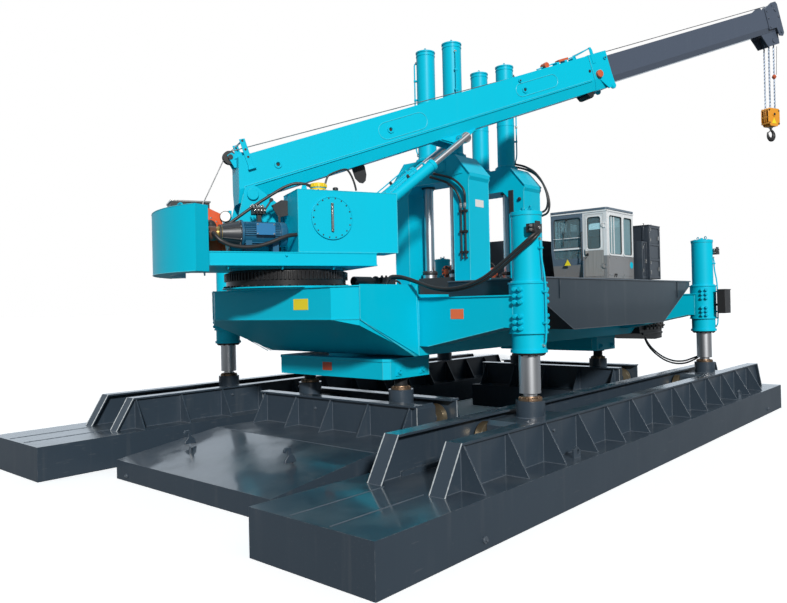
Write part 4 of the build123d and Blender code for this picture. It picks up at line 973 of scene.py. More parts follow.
# ---------------------------------------------------------------- legs
# Hydraulic leg cylinders clamped in split sleeves at the arms' ends: hard chrome rods,
# big clamp bolts, a gland ring below, a cap with lifting eyes and oil pipes outside.
def chrome(name, centre, spreads, axis):
    """Hard chrome on a set of parallel rods, shaded as true cylinders about their axes.

    centre lies midway between the rods, and each of spreads leads from it half-way
    across the set.
    """
    finish = Finish(name, "chrome", roughness=0.16, metallic=1.0, edge_width=0.003)
    tree = finish.tree

    def vector(operation, a, b):
        made = tree.nodes.new("ShaderNodeVectorMath")
        made.operation = operation
        for socket, value in ((made.inputs[0], a), (made.inputs[1], b)):
            if hasattr(value, "links"):
                tree.links.new(value, socket)
            else:
                socket.default_value = value
        return made

    def scaled(way, amount):
        made = tree.nodes.new("ShaderNodeVectorMath")
        made.operation = "SCALE"
        made.inputs[0].default_value = way
        tree.links.new(amount, made.inputs["Scale"])
        return made.outputs[0]

    apart = vector("SUBTRACT", finish.place, centre).outputs[0]
    for spread in spreads:
        along = vector("DOT_PRODUCT", apart, spread).outputs["Value"]
        side = tree.nodes.new("ShaderNodeMath")
        side.operation = "SIGN"
        tree.links.new(along, side.inputs[0])
        apart = vector("SUBTRACT", apart, scaled(spread, side.outputs[0])).outputs[0]
    axial = vector("DOT_PRODUCT", apart, axis).outputs["Value"]
    radial = vector("SUBTRACT", apart, scaled(axis, axial)).outputs[0]
    spoke = vector("NORMALIZE", radial, (0, 0, 0)).outputs[0]
    shape = tree.nodes.new("ShaderNodeNewGeometry")
    facing = vector("DOT_PRODUCT", shape.outputs["True Normal"], spoke).outputs["Value"]
    curved = finish.ramp(facing, 0.60, 0.70)
    normal = tree.nodes.new("ShaderNodeMix")
    normal.data_type = "VECTOR"
    tree.links.new(curved, normal.inputs[0])
    tree.links.new(shape.outputs["Normal"], normal.inputs[4])
    tree.links.new(spoke, normal.inputs[5])
    tree.links.new(normal.outputs[1], finish.shader.inputs["Normal"])

    streak = finish.noise(1.0, 4, (14, 14, 0.6))
    skin = finish.blend((0.78, 0.80, 0.83), (0.46, 0.48, 0.51), finish.ramp(streak, 0.35, 0.7), 0.5)
    finish.colour(skin)
    finish.gloss(streak, 0.30, 0.40)
    return finish.material


leg_chrome = chrome("leg_chrome", (0, 0, 0), ((leg_x, 0, 0), (0, leg_y, 0)), (0, 0, 1))
dress("near_leg_rods", leg_chrome)
dress("far_leg_rods", leg_chrome)
dress("press_rods", chrome("press_chrome", (0, 0, 0), ((0.985, 0, 0), (0, 0.341, 0)), (0, 0, 1)))
zinc = worn_steel("zinc_fittings", (0.70, 0.70, 0.69), (0.38, 0.37, 0.34), (0.9, 0.9, 0.9),
                  (0.18, 0.32))

sleeve = 0.270
sleeve_low, sleeve_high = 2.220, 2.955
collar = 0.243
collar_low = 1.950
barrel = 0.220
barrel_top = 3.960
rod = 0.155
rod_low = 1.370
for side, way in (("near", -1), ("far", 1)):
    for place, end in (("front", -1), ("rear", 1)):
        x, y = end * leg_x, way * leg_y
        tag = f"{side}_{place}_leg"
        # Clamp bolts: two columns of ears, on the outer diagonals of the sleeve
        for heading in (math.radians(180), math.radians(-22)):
            spoke = Vector((math.cos(heading), math.sin(heading), 0))
            spoke.x *= -end
            spoke.y *= -way
            side_of = Vector((-spoke.y, spoke.x, 0))
            face = Vector((x, y, 0)) + spoke * sleeve
            mark = f"{tag}_{'inner' if heading > 1 else 'outer'}"
            ears = Piece(f"{mark}_clamp_ears")
            studs = []
            for z in (2.302, 2.390, 2.472, 2.673, 2.763, 2.853):
                for turn in (-1, 1):
                    foot = face + side_of * turn * 0.045
                    ears.bar(foot - spoke * 0.02 + Vector((0, 0, z)),
                             foot + spoke * 0.028 + Vector((0, 0, z)), 0.034, sides=20)
                    studs.append((foot + spoke * 0.028 + Vector((0, 0, z)), spoke))
            ears.done(turquoise, "machine")
            bolts(f"{mark}_clamp_bolts", studs, 0.046, turquoise, "machine", 0.034)
        # Sleeve lips, gland ring under the collar, wiper at the rod
        rings = Piece(f"{tag}_sleeve_rings")
        for z, r, high in ((sleeve_high - 0.026, sleeve, 0.026), (sleeve_low, sleeve, 0.026)):
            rings.turned((x, y, z), (0, 0, 1), [(0, r - 0.004), (0, r + 0.014), (high, r + 0.014),
                                                (high, r - 0.004)], 40, closed=True)
        rings.turned((x, y, sleeve_high), (0, 0, 1), [(0, barrel - 0.004), (0, barrel + 0.030),
                                                     (0.022, barrel + 0.022),
                                                     (0.022, barrel - 0.004)], 40, closed=True)
        rings.turned((x, y, 3.905), (0, 0, 1), [(0, barrel - 0.004), (0, barrel + 0.010),
                                                (0.055, barrel + 0.010), (0.055, barrel - 0.004)],
                     40, closed=True)
        rings.done(turquoise, "machine")
        gland = Piece(f"{tag}_gland")
        gland.turned((x, y, collar_low - 0.030), (0, 0, 1),
                     [(0, rod + 0.002), (0, collar - 0.012), (0.030, collar - 0.004),
                      (0.030, rod + 0.002)], 40, closed=True)
        gland.done(black_iron, "machine")
        bolts(f"{tag}_gland_bolts", around((x, y, collar_low - 0.030), (0, 0, -1), 0.198, 12),
              0.030, black_iron, "machine")
        foot = Piece(f"{tag}_rod_foot")
        foot.turned((x, y, rod_low - 0.006), (0, 0, 1),
                    [(0, 0.101), (0, rod - 0.006), (0.006, rod), (0.006, 0.101)], 40, closed=True)
        foot.done(black_iron, f"{side}_legs")
        # Cap with its ring of screws, two lifting eyes and the vent
        bolts(f"{tag}_cap_bolts", around((x, y, barrel_top), (0, 0, 1), 0.165, 10), 0.028,
              turquoise, "machine")
        eyes = Piece(f"{tag}_lifting_eyes")
        for turn in (math.radians(60), math.radians(240)):
            at = Vector((x + 0.115 * math.cos(turn), y + 0.115 * math.sin(turn), barrel_top))
            eyes.turned(at, (0, 0, 1), [(0, 0.020), (0.018, 0.016)], 16)
            hoop = [at + Vector((0.030 * math.cos(a) * math.cos(turn),
                                 0.030 * math.cos(a) * math.sin(turn),
                                 0.046 + 0.030 * math.sin(a)))
                    for a in [2 * math.pi * i / 20 for i in range(20)]]
            for a, b in zip(hoop, hoop[1:] + hoop[:1]):
                eyes.bar(a, b, 0.009, sides=8)
        eyes.turned((x, y, barrel_top + 0.024), (0, 0, 1),
                    [(0, 0.030), (0.02, 0.030), (0.03, 0.02)], 6)
        eyes.done(turquoise, "machine", 0)
        # Oil pipes down the outside, from a valve near the cap to the gland
        pipe_x = x + end * 0.029
        out = y + way * (barrel + 0.022)
        ends = [(pipe_x, y + way * (barrel - 0.01), 3.560), (pipe_x, out, 3.560),
                (pipe_x, out, 3.30),
                (pipe_x, y + way * (sleeve + 0.030), 3.02),
                (pipe_x, y + way * (sleeve + 0.030), 2.60),
                (pipe_x, y + way * (sleeve + 0.030), 2.16),
                (pipe_x, y + way * (collar + 0.035), 2.06),
                (pipe_x, y + way * (collar - 0.01), 2.055)]
        tube(f"{tag}_oil_pipe", ends, 0.014, turquoise, "machine")
        clips = Piece(f"{tag}_pipe_clips")
        for z in (2.36, 2.80):
            clips.slab((pipe_x - 0.045, y + way * sleeve, z),
                       (pipe_x + 0.045, y + way * (sleeve + 0.05), z + 0.03))
        clips.slab((pipe_x - 0.04, y + way * barrel * 0.98, 3.42),
                   (pipe_x + 0.04, out + way * 0.02, 3.45))
        clips.done(turquoise, "machine")
        knuckle = Piece(f"{tag}_pipe_unions")
        knuckle.turned((pipe_x, y + way * (barrel - 0.006), 3.560), (0, way, 0),
                       [(0, 0.026), (0.030, 0.026)], 6)
        knuckle.turned((pipe_x, y + way * (collar - 0.006), 2.055), (0, way, 0),
                       [(0, 0.026), (0.034, 0.026)], 6)
        knuckle.done(zinc, "machine", 0.001)
        # Valve block on the outer face, with its unions
        valve = Piece(f"{tag}_valve")
        mid = x + end * 0.165
        inner = y + way * 0.150
        low, high = sorted((inner, y + way * 0.290))
        valve.slab((mid - 0.10, low, 3.640), (mid + 0.10, high, 3.765))
        valve.slab((mid - 0.05, low, 3.765), (mid + 0.06, (low + high) / 2 + way * 0.04, 3.800))
        valve.done(black_iron, "machine", 0.004)
        taps = Piece(f"{tag}_valve_unions")
        for z in (3.675, 3.730):
            for turn in (-1, 1):
                taps.turned((mid + turn * 0.10, y + way * 0.245, z), (turn, 0, 0),
                            [(0, 0.022), (0.030, 0.022), (0.030, 0.016), (0.052, 0.016)], 6)
        taps.turned((mid, y + way * 0.29, 3.705), (0, way, 0), [(0, 0.024), (0.022, 0.024)], 6)
        taps.done(zinc, "machine", 0.001)
        seam = [(x + (barrel + 0.002) * math.cos(i / 20 * math.pi),
                 y + (barrel + 0.002) * math.sin(i / 20 * math.pi), 3.905) for i in range(41)]
        low_seam = [(x + collar * math.cos(i / 20 * math.pi),
                     y + collar * math.sin(i / 20 * math.pi),
                     sleeve_low) for i in range(41)]
        weld(f"{tag}_welds", [seam, low_seam], weld_highlight_cyan, "machine", 0.007)

# Arms: top plate's edge beads and the seam where the sleeve meets the beam
arm_top, arm_root, arm_tip = 2.780, 2.010, 2.310
for way in (-1, 1):
    for end in (-1, 1):
        runs = []
        for turn in (-1, 1):
            x = end * leg_x + turn * 0.250
            runs.append([(x, way * body_side, arm_root), (x, way * body_side, arm_top)])
            runs.append([(x, way * 1.965, arm_root), (x, way * (leg_y - sleeve), arm_tip)])
            runs.append([(x, way * (leg_y - 0.105), arm_tip), (x, way * (leg_y - 0.105), arm_top)])
        name = f"{'near' if way < 0 else 'far'}_{'front' if end < 0 else 'rear'}_arm_welds"
        weld(name, runs, weld_highlight_cyan, "machine", 0.007)

# Two hoses hang from the valve bank to the rear near leg's foot
for i, drop in enumerate((0.0, 0.055)):
    hang = [(4.560, -1.960, 1.760 - drop), (4.45, -2.06, 1.60 - drop),
            (4.20, -2.45, 1.34 - drop), (4.02, -2.80, 1.23 - drop), (3.88, -3.12, 1.24 - drop),
            (3.80, -3.36, 1.33 - drop), (3.775, -3.48, 1.38 - drop / 2)]
    hose = tube(f"foot_hose_{i + 1}", hang, 0.019, black_iron, None)
    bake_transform(hose)


# ---------------------------------------------------------------- ballast trays
# Open plated troughs along both sides of the body, for loose ballast: a folded rim
# round the mouth, ribs inside and out, slate enamel as on the pontoons.
tray_slate = plate_paint("tray_enamel", "slate_paint", (0.016, 0.030, 0.044), (0.012, 0.023, 0.034),
                         (0.15, 0.16, 0.165), (0.26, 0.29, 0.30), (0.34, 0.50), 0.6, 0.5, 0.25)
dress("ballast_trays", tray_slate)
tray_in, tray_out = 1.800, 3.616
tray_rim = 3.035
tray_front, tray_rear = -3.200, 2.920
for side, way in (("near", -1), ("far", 1)):
    rim = Piece(f"{side}_tray_rim")
    outer = sorted((way * (tray_out - 0.030), way * (tray_out + 0.026)))
    rim.slab((tray_front - 0.020, outer[0], tray_rim - 0.010),
             (tray_rear + 0.020, outer[1], tray_rim + 0.012))
    for x in (tray_front, tray_rear):
        across = sorted((way * tray_in, way * tray_out))
        rim.slab((x - 0.022, across[0], tray_rim - 0.010), (x + 0.022, across[1], tray_rim + 0.012))
    rim.done(weld_highlight_grey, "machine")
    ribs = Piece(f"{side}_tray_ribs")
    for x in (-1.90, -0.95, 0.0, 0.95):
        wall = sorted((way * (tray_out - 0.020), way * (tray_out - 0.085)))
        ribs.slab((x - 0.008, wall[0], 2.245), (x + 0.008, wall[1], tray_rim - 0.010))
    for x in (-2.78, 2.20):
        low = 2.72 if x < 0 else 2.70
        face = way * (tray_out + 0.001)
        ribs.slab((x - 0.006, face, low), (x + 0.006, face + way * 0.014, tray_rim - 0.01))
    ribs.done(tray_slate, "machine")
    outline = [(tray_front, tray_rim), (tray_front, 2.630), (-2.340, 2.225), (1.430, 2.225),
               (tray_rear, 2.935), (tray_rear, tray_rim)]
    edge = [(x, way * tray_out, z) for x, z in outline]
    weld(f"{side}_tray_welds", [edge], weld_highlight_grey, "machine", 0.006)

# A steel box for chains stands on brackets outside the rear near leg
locker = Piece("chain_locker")
locker.slab((leg_x - 0.19, -leg_y - 0.52, 2.338), (leg_x + 0.19, -leg_y - 0.362, 2.843))
locker.slab((leg_x - 0.20, -leg_y - 0.53, 2.843), (leg_x + 0.20, -leg_y - 0.352, 2.862))
locker.slab((leg_x - 0.10, -leg_y - 0.362, 2.50), (leg_x - 0.06, -leg_y - 0.250, 2.55))
locker.slab((leg_x + 0.06, -leg_y - 0.362, 2.50), (leg_x + 0.10, -leg_y - 0.250, 2.55))
locker.done(black_iron, "machine")




# ---------------------------------------------------------------- press tower
# Two welded portals carry four press cylinders. The cylinders stand on bolted flanges;
# hose clamps and pipes hang on the near posts.
portal_face = 1.358
portal_back = 0.676
post_side = 0.951
post_in = 0.583
lintel_low = 5.110
head_half = 0.655
head_top = 5.605
press_x, press_y = 0.985, 0.341
press_r = 0.192
press_top = 7.950
press_pipe = 0.015
for place, way in (("front", -1), ("rear", 1)):
    out = way * portal_face
    back = way * portal_back
    runs = []
    for side in (-1, 1):
        runs.append([(out, side * post_side, 2.87), (out, side * post_side, 5.08),
                     (out, side * 0.985, 5.145)])
        runs.append([(back, side * post_side, 2.87), (back, side * post_side, 5.08),
                     (back, side * 0.985, 5.145)])
        runs.append([(out, side * post_in, 2.87), (out, side * post_in, 4.95),
                     (out, side * (post_in - 0.16), lintel_low)])
        runs.append([(out, side * 0.985, 5.195), (out, side * head_half, 5.583)])
        foot = side * (post_side + 0.004)
        runs.append([(back, foot, 2.866), (out, foot, 2.866), (out + way * 0.004, foot, 2.866),
                     (out + way * 0.004, side * post_in, 2.866)])
    runs.append([(out, -(post_in - 0.16), lintel_low), (out, post_in - 0.16, lintel_low)])
    weld(f"{place}_portal_welds", runs, weld_highlight_cyan, "machine", 0.008)
    # Foot gussets, lifting eyes on the head and studs on the outer faces
    trim = Piece(f"{place}_portal_gussets")
    for side in (-1, 1):
        for x in (back + way * 0.12, back + way * 0.56):
            trim.plate([(x, side * (post_side + 0.001), 2.866),
                        (x, side * (post_side + 0.086), 2.866),
                        (x, side * (post_side + 0.020), 3.03),
                        (x, side * (post_side + 0.001), 3.03)],
                       (way * 0.018, 0, 0))
        trim.plate([(out, side * 0.63, 5.32), (out, side * 0.82, 5.22), (out, side * 0.60, 5.20)],
                   (way * 0.014, 0, 0))
    trim.plate([(out, -0.40, 5.30), (out, 0.40, 5.30), (out, 0.40, 5.54), (out, -0.40, 5.54)],
               (way * 0.012, 0, 0))
    trim.done(turquoise, "machine")
    bolts(f"{place}_foot_bolts", [((back + way * x, side * (post_side + 0.055), 2.866), (0, 0, 1))
                                  for side in (-1, 1) for x in (0.04, 0.22, 0.44, 0.66)],
          0.036, black_iron, "machine")
    bolts(f"{place}_head_bolts", [((out + way * 0.012, y, z), (way, 0, 0))
                                  for y in (-0.36, -0.18, 0, 0.18, 0.36) for z in (5.33, 5.51)],
          0.026, turquoise, "machine")

# Each cylinder: flange bolts, tie bands, cap screws, lifting eye, outer oil pipe, union
for place, way in (("front", -1), ("rear", 1)):
    for side_name, side in (("near", -1), ("far", 1)):
        x, y = way * press_x, side * press_y
        tag = f"{place}_{side_name}_press"
        bolts(f"{tag}_flange_bolts", around((x, y, head_top + 0.060), (0, 0, 1), 0.222, 12),
              0.036, turquoise, "machine", 0.030)
        bolts(f"{tag}_cap_bolts", around((x, y, press_top), (0, 0, 1), 0.150, 8), 0.026,
              turquoise, "machine")
        bands = Piece(f"{tag}_bands")
        for z, high, grown in ((head_top + 0.060, 0.045, 0.016), (6.60, 0.030, 0.006),
                               (press_top - 0.100, 0.020, 0.008),
                               (press_top - 0.030, 0.030, 0.012)):
            bands.turned((x, y, z), (0, 0, 1),
                         [(0, press_r - 0.004), (0, press_r + grown), (high, press_r + grown),
                          (high, press_r - 0.004)], 44, closed=True)
        bands.turned((x, y, press_top + 0.024), (0, 0, 1), [(0, 0.030), (0.014, 0.024)], 20)
        hoop = [Vector((x + 0.030 * math.cos(a), y, press_top + 0.062 + 0.030 * math.sin(a)))
                for a in [2 * math.pi * i / 20 for i in range(21)]]
        for a, b in zip(hoop, hoop[1:]):
            bands.bar(a, b, 0.008, sides=8)
        bands.done(turquoise, "machine", 0.002)
        # The pipe comes out of a union near the cap and goes back in at the flange
        spoke = Vector((way * 0.55, side * 0.83, 0)).normalized()
        skin = Vector((x, y, 0)) + spoke * press_r
        run = [skin - spoke * 0.006 + Vector((0, 0, 7.74)),
               skin + spoke * 0.045 + Vector((0, 0, 7.74)),
               skin + spoke * 0.045 + Vector((0, 0, 7.60)),
               skin + spoke * 0.045 + Vector((0, 0, 6.9)),
               skin + spoke * 0.045 + Vector((0, 0, 6.2)),
               skin + spoke * 0.045 + Vector((0, 0, 5.86)),
               skin - spoke * 0.006 + Vector((0, 0, 5.80))]
        tube(f"{tag}_pipe", run, press_pipe, turquoise, "machine")
        unions = Piece(f"{tag}_unions")
        for z in (7.74, 5.80):
            unions.turned(skin + Vector((0, 0, z)), spoke, [(-0.006, 0.030), (0.026, 0.030)], 6)
        unions.turned(skin + spoke * 0.045 + Vector((0, 0, 6.56)), (0, 0, 1),
                      [(0, 0.024), (0.055, 0.024)], 6)
        unions.done(zinc, "machine", 0.001)
        clips = Piece(f"{tag}_pipe_clips")
        for z in (7.35, 6.95, 6.25):
            at = skin + Vector((0, 0, z))
            across = Vector((-spoke.y, spoke.x, 0))
            clips.plate([at - across * 0.032 - spoke * 0.006, at + across * 0.032 - spoke * 0.006,
                         at + across * 0.032 + spoke * 0.064, at - across * 0.032 + spoke * 0.064],
                        (0, 0, 0.030))
        clips.done(turquoise, "machine", 0.002)
        # Where the rod meets the clamp box: a black split coupling with its screws
        joint = Piece(f"{tag}_rod_coupling")
        joint.turned((x, y, 3.280), (0, 0, 1), [(0, 0.101), (0, 0.152), (0.012, 0.158),
                                                (0.060, 0.158),
                                               (0.072, 0.150), (0.072, 0.101)], 36, closed=True)
        joint.done(black_iron, "press", 0.002)
        bolts(f"{tag}_coupling_bolts", around((x, y, 3.352), (0, 0, 1), 0.128, 8), 0.024,
              black_iron, "press")
        gland = Piece(f"{tag}_wiper")
        gland.turned((x, y, lintel_low - 0.030), (0, 0, 1),
                     [(0, 0.104), (0, 0.138), (0.030, 0.146), (0.030, 0.104)], 36, closed=True)
        gland.done(black_iron, "machine", 0.002)
        seam = [(x + (press_r + 0.001) * math.cos(i * math.pi / 16),
                 y + (press_r + 0.001) * math.sin(i * math.pi / 16), head_top + 0.108)
                for i in range(33)]
        weld(f"{tag}_seam", [seam], weld_highlight_cyan, "machine", 0.007)

# A blank white plate on the front near post, a knob and its guide on the rear post
sign("portal_plate", (-1.000, -post_side, 4.640), (1, 0, 0), (0, 0, 1), (0.28, 0.143), sign_white,
     "machine")
guide = Piece("rear_post_guide")
guide.slab((portal_back - 0.020, -0.700, 4.620), (portal_back + 0.001, -0.583, 5.120))
guide.turned((portal_back, -0.861, 4.903), (-1, 0, 0), [(0, 0.026), (0.012, 0.040), (0.040, 0.040),
                                                       (0.052, 0.030)], 24)
guide.done(black_iron, "machine")
dress("tower_hoses", black_iron)
ferrules = Piece("tower_hose_ferrules")
for y in (-0.886, -0.788):
    ferrules.turned((-1.398, y, 4.535), (0, 0, 1), [(0, 0.026), (0.030, 0.026)], 6)
    ferrules.turned((-1.398, y, 4.565), (0, 0, 1), [(0, 0.026), (0.060, 0.027)], 20)
for y, z in ((-0.130, 5.297), (-0.040, 5.240)):
    ferrules.turned((-portal_face + 0.001, y, z), (-1, 0, 0), [(0, 0.034), (0.022, 0.034)], 6)
ferrules.done(zinc, "machine", 0.001)


# ---------------------------------------------------------------- clamp box
# The crosshead that the press rods drive down: a scuffed black casting with a square
# hole for the pile. Primer-red rams lie on top and push the clamping jaws.
cast_black = greasy_black("clamp_casting", "black_steel", (0.050, 0.052, 0.056), (0.30, 0.5))
primer = enamel("primer_red", "red_primer", (0.62, 0.115, 0.040), (0.35, 0.5), 0.15,
                (0.35, 0.30, 0.27), 0.5)
dress("clamp_box", cast_black)
dress("clamp_rams", primer)
clamp_top, clamp_low = 3.210, 2.560
jaws = Piece("clamp_jaws")
for way in (-1, 1):
    jaws.slab((way * 0.315, -0.24, clamp_low + 0.06), (way * 0.345, 0.24, clamp_top - 0.05))
    for z in range(9):
        at = clamp_low + 0.10 + 0.058 * z
        jaws.slab((way * 0.3, -0.22, at), (way * 0.316, 0.22, at + 0.03))
jaws.done(ring_steel, "press", 0.002)
hold = []
for way in (-1, 1):
    for x in (-1.05, -0.80, -0.55, 0.55, 0.80, 1.05):
        hold.append(((x, way * 0.44, clamp_top), (0, 0, 1)))
    hold += around((way * 0.870, 0, 3.345), (way, 0, 0), 0.088, 8)
bolts("clamp_bolts", hold, 0.036, black_iron, "press")
for way in (-1, 1):
    rings = Piece(f"clamp_ram_bands_{'rear' if way > 0 else 'front'}")
    for x in (0.500, 0.760):
        rings.turned((way * x, 0, 3.345), (way, 0, 0),
                     [(0, 0.101), (0, 0.112), (0.022, 0.112), (0.022, 0.101)], 36, closed=True)
    for x in (0.545, 0.700):
        rings.turned((way * x, 0, 3.447), (0, 0, 1), [(0, 0.022), (0.036, 0.022)], 6)
    rings.done(primer, "press", 0.001)
    tube(f"clamp_hose_{'rear' if way > 0 else 'front'}",
         [(way * 0.545, 0, 3.475), (way * 0.545, -0.01, 3.53), (way * 0.60, -0.10, 3.58),
          (way * 0.64, -0.20, 3.50), (way * 0.69, -0.20, 3.33), (way * 0.71, -0.18, 3.22),
          (way * 0.715, -0.17, clamp_top - 0.004)], 0.014, black_iron, "press")
hoops = Piece("clamp_lifting_eyes")
for x in (-0.45, 0.45):
    for y in (-0.46, 0.46):
        hoops.turned((x, y, clamp_top), (0, 0, 1), [(0, 0.024), (0.012, 0.020)], 16)
        ring = [Vector((x + 0.034 * math.cos(a), y, clamp_top + 0.044 + 0.034 * math.sin(a)))
                for a in [2 * math.pi * i / 16 for i in range(17)]]
        for a, b in zip(ring, ring[1:]):
            hoops.bar(a, b, 0.010, sides=8)
hoops.done(cast_black, "press", 0)


# ---------------------------------------------------------------- cab
# The operator's cab: pale enamel on pressed panels, a slate roof and windscreen frame,
# rounded window frames in rubber, a sliding pane, grab rails and a wiper.
cab_x0, cab_x1 = 2.880, 4.370
cab_y0, cab_y1 = -1.801, -0.371
cab_low, cab_high = 3.185, 4.785
sill, window_head = 3.745, 4.655
door_y0, door_y1 = -1.721, -1.251
screen_y0, screen_y1 = door_y1 + 0.090, cab_y1 - 0.070


def cab_enamel():
    """Pale posts, mid-grey lower panels and a slate windscreen frame, in one finish."""
    finish = Finish("cab_enamel", "white_paint", roughness=0.35, coat=0.2, edge_width=0.004)
    low = finish.past((0, 0, sill - 0.03), (0, 0, -1))
    far = finish.past((0, door_y1 + 0.045, 0), (0, 1, 0))
    front = finish.past((cab_x0 + 0.075, 0, 0), (-1, 0, 0))
    pale = finish.blend((0.72, 0.74, 0.75), (0.62, 0.64, 0.66), finish.wear.outputs["Mottle"])
    skin = finish.blend(pale, (0.20, 0.20, 0.205), low)
    both = finish.tree.nodes.new("ShaderNodeMath")
    both.operation = "MULTIPLY"
    finish.tree.links.new(far, both.inputs[0])
    finish.tree.links.new(front, both.inputs[1])
    skin = finish.blend(skin, (0.105, 0.150, 0.200), both.outputs[0])
    skin = finish.blend(skin, (0.30, 0.29, 0.27), finish.wear.outputs["Runs"], 0.12)
    skin = finish.blend(skin, (0.40, 0.39, 0.37), finish.wear.outputs["Dust"], 0.25)
    skin = finish.blend(skin, (0.20, 0.20, 0.20), finish.wear.outputs["Edge"], 0.25)
    finish.colour(skin)
    finish.gloss(finish.wear.outputs["Mottle"], 0.28, 0.42)
    finish.relief(finish.wear.outputs["Grain"], 0.08, 0.001)
    return finish.material


def door_enamel():
    """The door's leaf: a pale frame round a worn warm-grey lower panel."""
    finish = Finish("door_enamel", "white_paint", roughness=0.38, coat=0.15, edge_width=0.004)
    low = finish.past((0, 0, sill + 0.10), (0, 0, -1))
    brushed = finish.noise(1.0, 5, (40, 60, 1.2))
    panel = finish.blend((0.30, 0.29, 0.28), (0.22, 0.215, 0.21), finish.ramp(brushed, 0.35, 0.7))
    skin = finish.blend((0.60, 0.62, 0.63), panel, low)
    skin = finish.blend(skin, (0.20, 0.20, 0.20), finish.wear.outputs["Edge"], 0.35)
    finish.colour(skin)
    finish.gloss(brushed, 0.30, 0.46)
    finish.relief(brushed, 0.06, 0.001)
    return finish.material


def window_glass():
    """Clear safety glass with a pale green body and a film of dust."""
    finish = Finish("cab_window", "glass", roughness=0.02, edge_width=0.002)
    finish.colour(finish.blend((0.66, 0.86, 0.90), (0.58, 0.80, 0.85),
                               finish.wear.outputs["Mottle"]))
    finish.shader.inputs["IOR"].default_value = 1.45
    finish.gloss(finish.ramp(finish.wear.outputs["Runs"], 0.0, 1.0), 0.01, 0.05)
    clear = finish.tree.nodes.new("ShaderNodeBsdfTransparent")
    clear.inputs["Color"].default_value = (0.80, 0.93, 0.96, 1)
    rim = finish.tree.nodes.new("ShaderNodeFresnel")
    rim.inputs["IOR"].default_value = 1.5
    share = finish.ramp(rim.outputs[0], 0.0, 1.0, 0.10, 0.85)
    mix = finish.tree.nodes.new("ShaderNodeMixShader")
    finish.tree.links.new(share, mix.inputs[0])
    finish.tree.links.new(clear.outputs[0], mix.inputs[1])
    finish.tree.links.new(finish.shader.outputs[0], mix.inputs[2])
    finish.tree.links.new(mix.outputs[0], finish.tree.nodes["Material Output"].inputs["Surface"])
    return finish.material


def ribbed_rubber():
    finish = Finish("window_rubber", "black_rubber", roughness=0.6, edge_width=0.002)
    finish.colour(finish.blend((0.020, 0.020, 0.022), (0.050, 0.050, 0.052),
                               finish.wear.outputs["Mottle"]))
    finish.gloss(finish.wear.outputs["Mottle"], 0.5, 0.72)
    finish.relief(finish.noise(220, 2), 0.15, 0.001)
    return finish.material


cab_paint = cab_enamel()
door_paint = door_enamel()
glass = window_glass()
rubber = ribbed_rubber()
frame_white = enamel("window_frame_white", "white_paint", (0.80, 0.82, 0.83), (0.28, 0.4), 0.25)
slate_blue = enamel("slate_blue_enamel", "slate_paint", (0.105, 0.150, 0.200), (0.3, 0.42), 0.25)
dress("cab_frame", cab_paint)
dress("cab_roof", slate_blue)
dress("cab_door", door_paint)
dress("cab_glass", glass)
dress("cab_door_glass", glass)


def ring_outline(across0, across1, low, high, corner, steps=5):
    """Points of a rounded rectangle, as (across, height)."""
    points = []
    for cx, cy, first in ((across1 - corner, high - corner, 0),
                          (across0 + corner, high - corner, 1),
                          (across0 + corner, low + corner, 2), (across1 - corner, low + corner, 3)):
        for i in range(steps + 1):
            turn = math.pi / 2 * (first + i / steps)
            points.append((cx + corner * math.cos(turn), cy + corner * math.sin(turn)))
    return points


def window_frame(name, place, across0, across1, low, high, finish, body, wide=0.032, deep=0.016,
                 corner=0.070):
    """A pressed frame with round corners, standing proud of its wall, round one opening."""
    outer = ring_outline(across0 - wide, across1 + wide, low - wide, high + wide, corner + wide)
    inner = ring_outline(across0 + 0.006, across1 - 0.006, low + 0.006, high - 0.006, corner)
    piece = Piece(name, place)
    levels = ((outer, 0.0), (outer, deep), (inner, deep), (inner, -0.020))
    rings = [[piece.mesh.verts.new(place @ Vector((a, b, d))) for a, b in line]
             for line, d in levels]
    for low_ring, high_ring in zip(rings, rings[1:] + rings[:1]):
        for i in range(len(low_ring)):
            j = (i + 1) % len(low_ring)
            piece.mesh.faces.new((low_ring[i], low_ring[j], high_ring[j], high_ring[i]))
    return piece.done(finish, body, 0.003)


def wall(origin, across, up):
    """A frame on a wall: X across, Y up and Z out of it."""
    across, up = Vector(across), Vector(up)
    out = across.cross(up)
    return Matrix.Translation(origin) @ Matrix((
        (across.x, up.x, out.x, 0), (across.y, up.y, out.y, 0), (across.z, up.z, out.z, 0),
        (0, 0, 0, 1)))


near_wall = wall((0, cab_y0, 0), (1, 0, 0), (0, 0, 1))
far_wall = wall((0, cab_y1, 0), (-1, 0, 0), (0, 0, 1))
front_wall = wall((cab_x0, 0, 0), (0, -1, 0), (0, 0, 1))
rear_wall = wall((cab_x1, 0, 0), (0, 1, 0), (0, 0, 1))
spans = ((cab_x0 + 0.110, cab_x0 + 0.820), (cab_x0 + 0.900, cab_x1 - 0.090))
for number, (x0, x1) in enumerate(spans):
    for tag, place, turn in (("near", near_wall, 1), ("far", far_wall, -1)):
        across = sorted((turn * x0, turn * x1))
        window_frame(f"cab_{tag}_window_{number}", place, across[0], across[1], sill, window_head,
                     frame_white, "machine")
        window_frame(f"cab_{tag}_seal_{number}", place, across[0] + 0.010, across[1] - 0.010,
                     sill + 0.010, window_head - 0.010, rubber, "machine", 0.010, 0.004, 0.060)
window_frame("cab_windscreen_frame", front_wall, -screen_y1, -screen_y0, sill + 0.190, window_head,
             slate_blue, "machine", 0.030, 0.010, 0.060)
window_frame("cab_windscreen_seal", front_wall, -screen_y1 + 0.01, -screen_y0 - 0.01, sill + 0.200,
             window_head - 0.010, rubber, "machine", 0.012, 0.004, 0.050)
window_frame("cab_rear_frame", rear_wall, cab_y0 + 0.250, cab_y1 - 0.250, sill + 0.120, window_head,
             frame_white, "machine")
